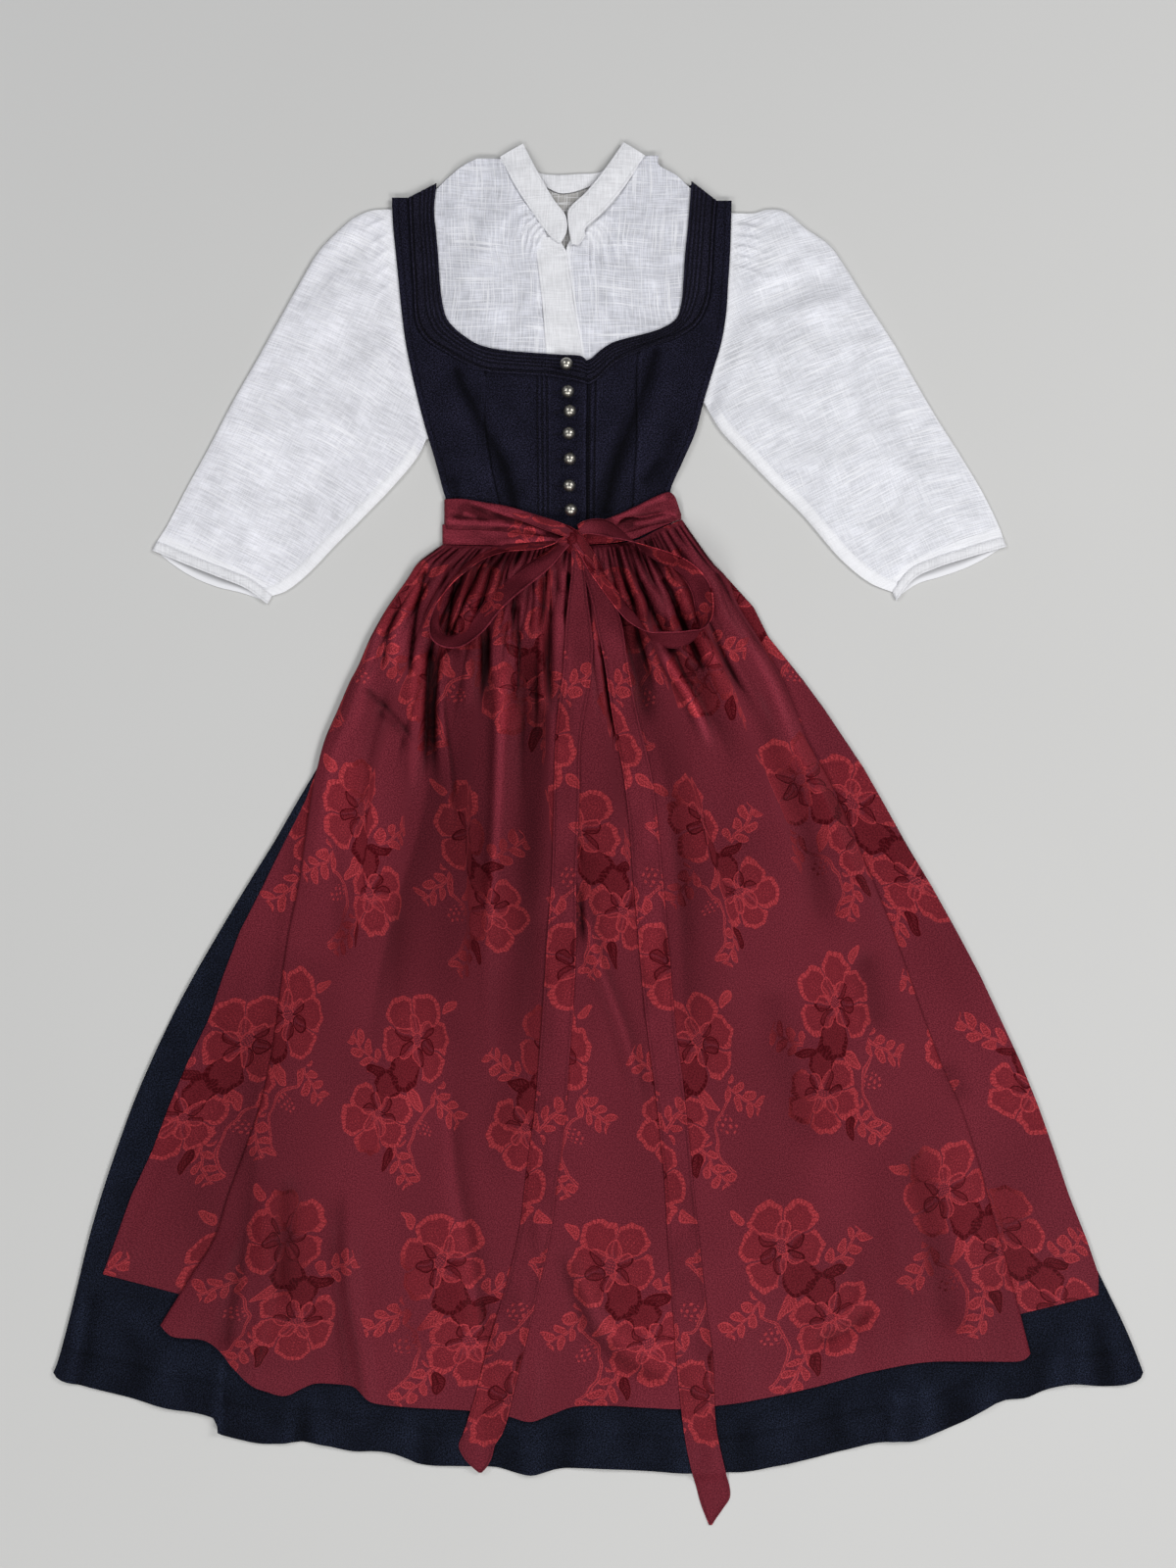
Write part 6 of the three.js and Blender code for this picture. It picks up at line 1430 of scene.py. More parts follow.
def build_bodice():
    # back
    back_top = [(-211, 639), (-194, 649), (-167, 663), (-150, 625), (-120, 606), (-80, 598), (-36, 596), (8, 598),
                (48, 606), (76, 625), (93, 665), (120, 646), (135.5, 641)]
    us, vs = edge_steps(90, 340), edge_steps(60, 330)
    X, Y = patch(Line(back_top, corners=(2, 10)), Line([(-150, 304.5), (76, 304.5)]),
                 Line([(x, max(y, 304.5)) for x, y in BODICE_LEFT]), Line([(x, max(y, 304.5)) for x, y in BODICE_RIGHT]), us, vs)
    o = flat_piece("bodice_back_cloth", X, Y, np.zeros_like(X), WOOL, np.stack([X, Y], -1), round_rim(us, vs, 300, 330, WOOL))
    finish_piece(o, WOOL_BODICE, ["bodice_back"])

    def side(name, node, edge_pts, seam, princess, sgn):
        inner = Line(seam + princess[1:], n=900)
        vs = edge_steps(170, 400)
        us = edge_steps(56, 60)
        I = inner(vs)
        # the seam moved 0.35 mm into the panel
        d = np.gradient(I, axis=0)
        d /= np.linalg.norm(d, axis=1, keepdims=True)
        I = I + np.stack([-d[:, 1], d[:, 0]], 1) * (sgn * 0.02)
        y = np.minimum.accumulate(I[:, 1] - 1e-4 * np.arange(len(I)))
        ex = xs_at(edge_pts, y)
        U = us[None, :]
        if sgn < 0:
            X = ex[:, None] * (1 - U) + I[:, 0][:, None] * U
        else:
            X = I[:, 0][:, None] * (1 - U) + ex[:, None] * U
        Y = y[:, None] + 0 * X
        Z = bodice_height(X, Y)
        w = np.abs(ex - I[:, 0])[:, None]
        dd = np.minimum(U * w, (1 - U) * w)
        # the armhole and side edges are turned in: a soft roll, with a stitched ridge inside
        q = np.clip(1 - dd / 1.6, 0, 1)
        rim = 0.8 * (1 - np.sqrt(np.clip(1 - q * q, 0, 1)))
        de = (U if sgn < 0 else 1 - U) * w
        Z = Z - 0.28 * np.exp(-((de - 6.5) / 0.9) ** 2) * sstep(12, 30, w)
        di = (1 - U if sgn < 0 else U) * w
        # painted shade at the princess seam and in the stitched groove, painted highlights beside them, and a painted
        # shadow along the inner seam under the neck band
        painted_shade_and_tone = bodice_painted_shade(X, Y, [(di, 1.3, 0.65), (di - 3.2, 1.6, -0.30), (de - 6.5, 0.9, 0.45 * 1.0), (de - 3.0, 2.0, -0.18)])
        top_run = np.linalg.norm(np.diff(I, axis=0), axis=1).cumsum()
        under = np.where(y > (468 if sgn < 0 else 489), 1.0, 0.0)[:, None]
        painted_shade_and_tone = (1 + painted_shade_and_tone) * (1 - 0.55 * under * np.exp(-(di / 3.0) ** 2)) - 1
        o = flat_piece(name, X, Y, Z, WOOL, np.stack([X, Y], -1), rim, attrs={"shade": painted_shade_and_tone})
        finish_piece(o, WOOL_BODICE, [node])
        lay_down(X, Y, Z + WOOL)

    side("bodice_side_left_cloth", "bodice_side_left", BODICE_LEFT, SEAM_LEFT[:8], PRINCESS_LEFT, -1)
    side("bodice_side_right_cloth", "bodice_side_right", BODICE_RIGHT, SEAM_RIGHT[:8], PRINCESS_RIGHT, 1)

    def centre(name, node, top, left, right, overlap, seams):
        us, vs = edge_steps(84, 100), edge_steps(120, 160)
        X, Y = patch(Line(top), Line([(left[-1][0], 303.5), (right[-1][0], 303.5)]), Line(left), Line(right), us, vs)
        Z = bodice_height(X, Y, overlap)
        for s, w, a in seams:        # rows of placket stitching draw the cloth down
            d, t, _ = seg_dist(X, Y, s)
            Z = Z - 1.6 * a * np.exp(-(d / w) ** 2)
        rim = round_rim(us, vs, 100, 160, WOOL)
        wid = X[:, -1:] - X[:, :1]
        # painted shade along the stitch lines, the princess-seam edge and the top edge under the neck band, painted
        # highlights beside the stitches, and on the overlapping front a painted highlight along its free edge, on the
        # other a painted shadow where that edge lies over it
        extra = [(seg_dist(X, Y, s)[0], w_, 0.86) for s, w_, a_ in seams]
        extra += [(seg_dist(X, Y, [(q[0] + 1.9, q[1]) for q in s])[0], w_, -0.55) for s, w_, a_ in seams]
        extra += [((1 - us)[None, :] * wid if not overlap else us[None, :] * wid, 1.3, 0.55), (vs[:, None] * 160 + 0 * X, 2.6, 0.55)]
        if overlap:
            extra += [((1 - us)[None, :] * wid - 1.5, 1.4, -0.45)]
        else:
            extra += [(X + 12.4, 2.6, 0.75)]
        o = flat_piece(name, X, Y, Z, WOOL, np.stack([X, Y], -1), rim, attrs={"shade": bodice_painted_shade(X, Y, extra)})
        finish_piece(o, WOOL_BODICE, [node])
        lay_down(X, Y, Z + WOOL)

    seamsL = [([(x, 468), (x + 1.5, 320)], 0.9, 0.45) for x in (-63, -58.0, -53)]
    seamsR = [([(x, 470), (x - 2, 320)], 0.9, 0.4) for x in (-8.5, -3.0)]
    centre("bodice_centre_left_cloth", "bodice_centre_left",
           [(x - 0.13, y + 0.9) for x, y in SEAM_LEFT[7:]],
           [(x - 0.13, y + (0.6 if y > 460 else 0)) for x, y in PRINCESS_LEFT],
           [(-12.3, 459.6), (-12.6, 430), (-13, 400), (-13, 303.5)], True, seamsL)
    centre("bodice_centre_right_cloth", "bodice_centre_right",
           [(-36, 459.6), (-10.4, 459.6), (-0.7, 465.0), (16.3, 481.4), (40.4, 493.4)],
           [(-36, 459.6), (-36, 303.5)],
           [(x + 0.16 + (1.64 if y > 480 else 0), y + (2.0 if y > 480 else 0)) for x, y in PRINCESS_RIGHT], False, seamsR)

    # stitched neckline bands
    def band(name, node, neck, seam, overlap):
        a, b = Line(neck), Line(seam)
        vs = edge_steps(236, 420)
        us = edge_steps(38, 27)
        A, B = a(vs), b(vs)
        U = us[None, :, None]
        XY = A[:, None] * (1 - U) + B[:, None] * U
        X, Y = XY[..., 0], XY[..., 1]
        Z = bodice_floor(X, Y, overlap) + 1.3 + 0.2 * fbm(X / 24, Y / 24, 2)
        w = np.linalg.norm(A - B, axis=1)[:, None]
        dn = us[None, :] * w
        # four rows of stitching in the outer part of the band, padded between them
        rows = np.zeros_like(X)
        for d0 in (3.2, 7.4, 11.6, 15.8, 24.0):
            rows = rows + np.exp(-((dn - d0 * w / 27.0) / 0.75) ** 2)
        Z = Z - 1.05 * rows * (0.85 + 0.3 * fbm(X / 9, Y / 9, 1, N2))
        ds = (1 - us[None, :]) * w
        Z = Z + 0.9 * np.exp(-((ds - 1.8) / 1.3) ** 2)
        q = np.clip(1 - np.minimum(dn, ds) / 1.7, 0, 1)
        rim = 1.1 * (1 - np.sqrt(np.clip(1 - q * q, 0, 1)))
        top = np.stack([X, Y, Z + WOOL - rim], -1)
        bot = np.stack([X, Y, bodice_floor(X, Y, overlap)], -1)
        # painted shade in the stitch grooves and in a line inside the piping, painted highlights on the piping, between
        # the rows and along the neck edge, and the whole band 12% lighter
        painted_shade_and_tone = (1 - np.clip(0.85 * rows, 0, 0.9)) * (1 + 0.55 * np.exp(-((ds - 1.8) / 1.2) ** 2)) * (1 - 0.75 * np.exp(-((ds - 4.4) / 1.0) ** 2))
        for d0 in (5.3, 9.5, 13.7):
            painted_shade_and_tone = painted_shade_and_tone * (1 + 0.34 * np.exp(-((dn - d0 * w / 27.0) / 1.0) ** 2))
        painted_shade_and_tone = painted_shade_and_tone * (1 + 0.25 * np.exp(-((dn - 1.4) / 1.2) ** 2)) * 1.12
        o = shell(name, top, bot, np.stack([X, Y], -1), 2, 60, attrs={"shade": painted_shade_and_tone - 1})
        finish_piece(o, WOOL_BAND, [node])
        lay_down(X, Y, Z + WOOL)
        return A, B

    band("neck_band_left_cloth", "neck_band_left", NECK_LEFT, SEAM_LEFT, True)
    band("neck_band_right_cloth", "neck_band_right", NECK_RIGHT + [(-24, 485.5), (-34, 486.5)],
         SEAM_RIGHT + [(-24, 459), (-34, 459)], False)


BUTTONS = [(-33, 478), (-31.5, 450), (-29.5, 430), (-30.5, 407.5), (-29.5, 381.5), (-30, 354.5), (-28.5, 330)]


def build_buttons():
    """Cast ball buttons: a ball in two halves on a ring shank."""
    r = 6.4
    for i, (bx, by) in enumerate(BUTTONS):
        rr = np.random.default_rng(40 + i)
        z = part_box(f"button_{i + 1}")[0].z / MM
        nseg, nring = 48, 26
        th = np.linspace(0.36, math.pi, nring)
        rad = r * np.sin(th)
        hh = 1.0 + r * math.cos(0.36) - r * np.cos(th)
        rad = rad + 0.10 * np.exp(-((th - 1.57) / 0.06) ** 2)       # cast seam
        prof = [(2.2, 0.0), (2.25, 0.5), (2.15, 0.95)] + list(zip(rad, hh))
        prof = [(max(p[0], 0.0), p[1]) for p in prof]
        ang = np.linspace(0, 2 * math.pi, nseg, endpoint=False)
        rings = []
        for pr, ph in prof[:-1]:
            wob = 1 + 0.006 * np.sin(ang * 3 + i) * (ph > 1.5)
            rings.append(np.stack([bx + pr * wob * np.cos(ang), by + pr * wob * np.sin(ang), z + ph + 0 * ang], -1))
        o = ring_mesh(f"button_ball_{i + 1}", np.array(rings), caps=True, sharp=50)
        fix_normals(o)
        finish_piece(o, SILVER, [f"button_{i + 1}"])


# --------------------------------------------------------------------------
# Blouse
# --------------------------------------------------------------------------
BLOUSE_LEFT = [(689, -124, -97), (682, -138, -92), (669, -155, -84), (657, -168, -77), (646, -186, -71),
               (638, -200.5, -64), (625, -200, -54), (616, -199.7, -49), (608, -199.2, -48), (600, -198.5, -52),
               (594.5, -197.8, -57), (580, -196.6, -57), (561, -195, -55), (531, -191.5, -52), (493, -186, -49.5),
               (471, -181.5, -48), (411, -166.5, -46), (402, -164, -45.6)]
BLOUSE_RIGHT = [(692, 61, 43), (683, 61, 36), (672, 80, 29), (661, 92, 22), (647, 112, 13), (637, 125, 4),
                (625, 124.8, -9), (612, 124.5, -23), (605, 124.3, -30), (594, 124, -34), (580, 123.4, -33),
                (561, 122.5, -30.6), (531, 120.5, -26.4), (493, 112, -19.4), (471, 106.5, -17.0), (444, 99, -15.5),
                (402, 88, -14)]
BLOUSE_FOLDS_L = [
    # gathers below the collar seam
    dict(kind="R", line=[(-64, 634), (-78.5, 626), (-82, 613.5), (-85, 600)], w=1.9, rise=2.4, start=0.03, end=0.5),
    dict(kind="R", line=[(-62, 630), (-73.5, 621), (-77, 608.5), (-82, 596)], w=1.9, rise=2.6, start=0.03, end=0.5),
    dict(kind="R", line=[(-58, 625), (-69, 615), (-72, 603.5), (-75, 588)], w=1.9, rise=2.6, start=0.03, end=0.5),
    dict(kind="R", line=[(-55, 620), (-65, 610), (-67, 598.5), (-71, 578)], w=1.9, rise=2.6, start=0.03, end=0.5),
    dict(kind="R", line=[(-54, 614), (-62, 602), (-65.5, 590), (-68, 562)], w=1.9, rise=2.4, start=0.03, end=0.5),
    dict(kind="V", line=[(-64, 631), (-75.5, 623.5), (-79.3, 611), (-83, 598)], w=0.9, rise=2.0, start=0.03, end=0.5),
    dict(kind="V", line=[(-60, 627), (-71, 618), (-74.5, 606), (-78, 592)], w=0.9, rise=2.2, start=0.03, end=0.5),
    dict(kind="V", line=[(-57, 622), (-67, 612.5), (-69.5, 601), (-73, 583)], w=0.9, rise=2.2, start=0.03, end=0.5),
    dict(kind="V", line=[(-56, 616), (-63.5, 606), (-66, 594), (-69.5, 570)], w=0.9, rise=2.0, start=0.03, end=0.5),
    dict(kind="R", line=[(-72, 642), (-88, 634), (-100, 618), (-106, 596)], w=4.0, rise=1.6, start=0.05, end=0.5),
    # soft folds of the chest
    dict(kind="R", line=[(-90, 640), (-110, 610), (-128, 570), (-134, 530)], w=13, rise=2.2),
    dict(kind="G", line=[(-112, 655), (-128, 620), (-146, 585)], w=12, rise=1.8),
    dict(kind="R", line=[(-140, 660), (-152, 625), (-156, 590)], w=9, rise=1.6),
    dict(kind="G", line=[(-78, 560), (-84, 530), (-86, 500)], w=8, rise=1.8),
    dict(kind="R", line=[(-64, 560), (-63, 520), (-60, 490)], w=5, rise=1.6),
    dict(kind="G", line=[(-130, 560), (-146, 540), (-152, 520)], w=10, rise=1.6),
    dict(kind="R", line=[(-104, 540), (-112, 515), (-114, 500)], w=9, rise=1.6),
]
BLOUSE_FOLDS_R = [
    dict(kind="R", line=[(-17, 606), (-13, 596), (-13, 582), (-16, 556)], w=2.2, rise=2.2, start=0.03, end=0.5),
    dict(kind="R", line=[(-11, 616), (-6.5, 606), (-6, 594), (-8, 560)], w=2.2, rise=2.4, start=0.03, end=0.5),
    dict(kind="R", line=[(-6, 621), (2, 610), (6, 594), (8, 560)], w=2.4, rise=2.2, start=0.03, end=0.5),
    dict(kind="R", line=[(-1, 627), (9, 616), (16, 600), (22, 572)], w=2.4, rise=2.2, start=0.03, end=0.5),
    dict(kind="R", line=[(6, 632), (18, 620), (28, 598), (34, 570)], w=2.8, rise=1.8, start=0.03, end=0.5),
    dict(kind="V", line=[(-14, 611), (-9.8, 601), (-9.5, 588), (-12, 562)], w=1.0, rise=2.0, start=0.03, end=0.5),
    dict(kind="V", line=[(-8, 618), (-2.5, 608), (0, 594), (0, 566)], w=1.0, rise=2.0, start=0.03, end=0.5),
    dict(kind="V", line=[(-3, 624), (5.5, 613), (11, 597), (15, 570)], w=1.0, rise=2.0, start=0.03, end=0.5),
    dict(kind="R", line=[(20, 620), (38, 590), (52, 555), (56, 520)], w=13, rise=2.4),
    dict(kind="G", line=[(40, 640), (58, 610), (72, 570), (76, 535)], w=11, rise=1.8),
    dict(kind="R", line=[(9, 556), (18, 544), (29, 531), (28, 512)], w=5, rise=2.0),
    dict(kind="G", line=[(0, 560), (8, 535), (12, 512)], w=7, rise=1.8),
    dict(kind="R", line=[(74, 650), (80, 620), (80, 585)], w=9, rise=1.6),
    dict(kind="R", line=[(38, 540), (46, 528), (44, 514)], w=7, rise=1.5),
]


def neck_gap(x, y):
    """Distance inside the dress neckline, so the blouse rises only in the opening."""
    pts = NECK_LEFT + NECK_RIGHT[::-1]
    d, t, side = seg_dist(x, y, smooth_points(NECK_LEFT, 60))
    d2, t2, side2 = seg_dist(x, y, smooth_points(NECK_RIGHT, 60))
    inside = (x > xs_at(NECK_LEFT[:11], y)) & (x < xs_at(NECK_RIGHT[:9], y)) & (
        y > np.interp(x, [-168, -155, -147, -126, -111, -91, -41, -12, 1, 13, 29, 64, 79, 95],
                      [700, 526, 516, 501, 496, 493, 489, 484, 493, 501, 506, 516, 526, 700]))
    inside = inside | (y > 664)
    return np.where(inside, np.minimum(d, d2), 0)


SEWN = []


def build_blouse():
    # back: hidden but for the inside seen in the neck
    bt = [(-199, 638), (-168, 655), (-138, 680), (-103, 687), (-56, 660.5), (-38, 653.5), (-10, 660), (46, 690),
          (80, 670), (96, 656), (124, 638)]
    us, vs = edge_steps(80, 320), edge_steps(50, 280)
    Lb = [(x + 12, y) for x, y in BODICE_LEFT if y > 405][1:]
    Rb = [(x - 11.5, y) for x, y in BODICE_RIGHT if y > 430][1:]
    X, Y = patch(Line(bt, corners=(3, 7)), Line([(-164, 402), (88, 402)]),
                 Line([(-199, 638)] + Lb + [(-164, 402)]), Line([(124, 638)] + Rb + [(88, 402)]), us, vs)
    o = flat_piece("blouse_back_cloth", X, Y, BLOUSE_BACK_Z + 0 * X, VOILE * 0.8, np.stack([X, Y], -1), round_rim(us, vs, 300, 280, 0.8))
    # its voile is painted grey for the shade inside the neck
    finish_piece(o, VOILE_INSIDE_SHADED, ["blouse_back"])
    lay_down(X, Y, BLOUSE_BACK_Z + 0.8 + 0 * X)

    def front(name, node, table, tab_folds, sgn):
        t = np.array(sorted(table, key=lambda r: -r[0]), float)
        dense = smooth_points(t, 260)
        vs = edge_steps(156, 280)
        s = np.linspace(0, 1, len(dense))
        y, out, neck = [np.interp(vs, s, dense[:, k]) for k in range(3)]
        us = edge_steps(110, 140)
        U = us[None, :]
        a, b = (out, neck) if sgn < 0 else (neck, out)
        X = a[:, None] * (1 - U) + b[:, None] * U
        Y = y[:, None] + 0 * X
        gap = neck_gap(X, Y)
        open_ = sstep(3, 34, gap)
        seam = neck if sgn < 0 else neck
        dn = np.abs(X - seam[:, None])
        H = (3.2 * open_ + (folds(X, Y, tab_folds) * 0.9 + 0.55 * fbm(X / 34, Y / 34, 2) + 0.14 * fbm(X / 8, Y / 10, 2, N3)) * open_)
        lowered = 0.50 + 0.36 * (1 - sstep(592, 604, Y))
        H = H * (lowered + (1 - lowered) * sstep(3, 8, dn))
        H = np.maximum(H, 0)
        Z = BLOUSE_FRONT_Z + H
        w = np.abs(out - neck)[:, None]
        dd = np.minimum(np.minimum(U * w, (1 - U) * w), np.abs(Y - Y[0, 0]))
        q = np.clip(1 - dd / 1.6, 0, 1)
        rim = 0.6 * (1 - np.sqrt(np.clip(1 - q * q, 0, 1)))
        uv = np.stack([X + 1.5 * fbm(X / 40, Y / 40, 2), Y + 2.0 * fbm(X / 50 + 3, Y / 50, 2)], -1)
        double = 0.9 * (1 - sstep(3.5, 5.5, dn)) + 0.55 * (1 - sstep(5, 26, np.hypot(X + 62 if sgn < 0 else X + 6, Y - 612)))
        # the 'shade' values are painted light and shade on the folds, crests lighter and hollows darker, with random
        # tone
        o = shell(name, np.stack([X, Y, Z + VOILE * 0.8 - rim], -1), np.stack([X, Y, Z], -1), uv, 2, 55,
                  attrs={"dense": np.clip(double, 0, 1),
                         "shade": np.clip(0.06 * (H - soften(soften(H, 6, 1), 6, 0)), -0.11, 0.10)
                         + 0.05 * fbm(X / 26, Y / 60, 2, N2)})
        finish_piece(o, VOILE_BODY, [node])
        lay_down(X, Y, Z + VOILE)

    front("blouse_front_left_cloth", "blouse_front_left", BLOUSE_LEFT, BLOUSE_FOLDS_L, -1)
    front("blouse_front_right_cloth", "blouse_front_right", BLOUSE_RIGHT, BLOUSE_FOLDS_R, 1)

    # placket: a folded strip, its free edge lifted over the slit
    rows = np.array([(609, -56, -39.5), (602, -60, -37.6), (594, -63.4, -33), (580, -62.2, -31), (561, -60, -28.4),
                     (531, -56.8, -24.2), (493, -54.2, -17.2), (471, -52.8, -14.6), (402, -49.9, -13)], float)
    dense = smooth_points(rows, 200)
    us, vs = edge_steps(40, 34), edge_steps(130, 190)
    y, a, b = [np.interp(vs, np.linspace(0, 1, len(dense)), dense[:, k]) for k in range(3)]
    U = us[None, :]
    X = a[:, None] * (1 - U) + b[:, None] * U
    Y = y[:, None] + 0 * X
    gap = neck_gap(X, Y)
    open_ = sstep(1, 30, gap)
    w = (b - a)[:, None]
    Z = BLOUSE_FRONT_Z + open_ * (3.3 + 0.4 * fbm(X / 20, Y / 40, 2)) + 0.6 * open_
    # the rolled top of the strip below the collar's end
    Z = Z + folds(X, Y, [
        dict(kind="R", line=[(-60, 609), (-55, 601), (-47, 596.4), (-40, 594), (-33, 595)], w=2.4, rise=1.0, ends=0.05),
        dict(kind="V", line=[(-64, 602), (-56, 595), (-48, 591), (-40, 589.4), (-31, 590.5)], w=1.2, rise=1.5, ends=0.1)])
    for d0 in (3.0, 27.0):
        Z = Z - 0.3 * np.exp(-((U * w - d0) / 0.8) ** 2)
    rim = round_rim(us, vs, 33, 190, 1.0)
    o = flat_piece("blouse_placket_cloth", X, Y, Z, VOILE, np.stack([X, Y], -1), rim)
    finish_piece(o, VOILE_BAND, ["blouse_placket"])
    lay_down(X, Y, Z + VOILE)
    SEWN.append([(b_ - 3.0, y_) for y_, b_ in zip(y[::6], b[::6]) if y_ > 494])
    SEWN.append([(a_ + 3.0, y_) for y_, a_ in zip(y[::6], a[::6]) if 500 < y_ < 594])

    # stand collar
    CLO = [(-101, 690.8), (-84, 658.3), (-67.1, 632.8), (-57.5, 618.8), (-46.5, 606.0), (-40, 601.4)]
    CLI = [(-77, 704.5), (-63.3, 677), (-46, 647), (-33.8, 630), (-32.6, 614), (-37, 604.4)]
    CRI = [(25, 706), (5.3, 677), (-12.5, 655), (-31, 636), (-31.4, 622), (-28, 601)]
    CRO = [(47.2, 692.3), (25.2, 658.3), (3.2, 632.8), (-13.5, 617.3), (-14.4, 608.5), (-21, 599)]

    def collar(name, node, A, B, rnd):
        a, b = Line(A), Line(B)
        vs = edge_steps(150, 120)
        us = edge_steps(36, 28)
        Pa, Pb = a(vs), b(vs)
        U = us[None, :, None]
        XY = Pa[:, None] * (1 - U) + Pb[:, None] * U
        X, Y = XY[..., 0], XY[..., 1]
        w = np.linalg.norm(Pa - Pb, axis=1)[:, None]
        d = np.minimum(us[None, :] * w, (1 - us[None, :]) * w)
        Z = BLOUSE_FRONT_Z + 1.4 + 3.6 * sstep(0.0, 0.30, vs)[:, None] + 0.9 * np.sin(np.pi * us)[None, :]
        Z = Z + 1.0 * sstep(0.72, 0.95, vs)[:, None]
        Z = Z + 0.25 * fbm(X / 15, Y / 15, 2, N2)
        Z = Z - 0.30 * np.exp(-((d - 2.6) / 0.7) ** 2)
        q = np.clip(1 - d / 1.8, 0, 1)
        rim = 0.8 * (1 - np.sqrt(np.clip(1 - q * q, 0, 1)))
        o = flat_piece(name, X, Y, Z, 1.1, np.stack([X, Y], -1), rim)
        finish_piece(o, VOILE_BAND, [node])
        SEWN.append(XY[6:-6:5, np.searchsorted(us, 0.10)].tolist())
        SEWN.append(XY[6:-6:5, np.searchsorted(us, 0.90)].tolist())
        lay_down(X, Y, Z + 1.1)

    collar("collar_left_cloth", "collar_left", CLO, CLI, True)
    collar("collar_right_cloth", "collar_right", CRI, CRO, True)
    a = Line([(-76, 702), (-63.3, 677), (-49.6, 673.8), (-23.5, 674.4), (4, 677.7), (24, 703)])
    b = Line([(-90, 682), (-56, 662), (-38, 654.5), (-10, 661), (8, 671), (38, 690)])
    vs, us = edge_steps(120, 110), edge_steps(24, 20)
    XY = a(vs)[:, None] * (1 - us[None, :, None]) + b(vs)[:, None] * us[None, :, None]
    X, Y = XY[..., 0], XY[..., 1]
    Z = BLOUSE_BACK_Z + 0.35 * np.sin(np.pi * us)[None, :] + 0 * X
    o = flat_piece("collar_back_cloth", X, Y, Z, 0.75, np.stack([X, Y], -1), round_rim(us, vs, 19, 110, 0.9))
    finish_piece(o, VOILE_BAND, ["collar_back"])


SLEEVES = {
    "left": dict(
        out=[(-203, 638), (-213, 638), (-233, 636.4), (-251, 628.5), (-268, 614), (-286, 595), (-303, 567), (-327, 524),
             (-350, 483), (-374, 441), (-397, 397), (-421, 353), (-441, 315), (-452, 298)],
        under=[(-168.5, 405), (-176, 403), (-186, 384), (-212, 353), (-242, 322), (-268, 296), (-299, 264), (-320, 248),
               (-334, 243)],
        arm=[(-203, 638), (-199, 591), (-193, 531), (-183.4, 471), (-168.5, 405)],
        hole=[(-213, 638), (-210, 591), (-204, 531), (-194, 471), (-176, 403)],
        cuff=[(-452, 298), (-416, 283), (-383, 270), (-356, 259), (-334, 243)],
        down=(-4.6, -8.6), grain=math.radians(27)),
    "right": dict(
        out=[(126.5, 636), (137, 634), (159, 634), (171, 637.5), (189, 636), (212, 618), (236, 601), (253, 577), (271, 548),
             (303, 498), (324, 461), (347, 422), (371, 384), (394, 345), (411, 309), (413, 302)],
        under=[(101, 447), (109, 438), (124, 413), (148, 387), (177, 357), (209, 325), (249, 279), (278, 256), (300, 247)],
        arm=[(126.5, 636), (125.5, 591), (122, 531), (108.5, 474), (101, 447)],
        hole=[(137, 634), (137, 591), (133, 531), (119, 471), (109, 438)],
        cuff=[(413, 302), (375, 291), (341, 280), (318, 269), (300, 247)],
        down=(4.2, -8.8), grain=math.radians(-23)),
}
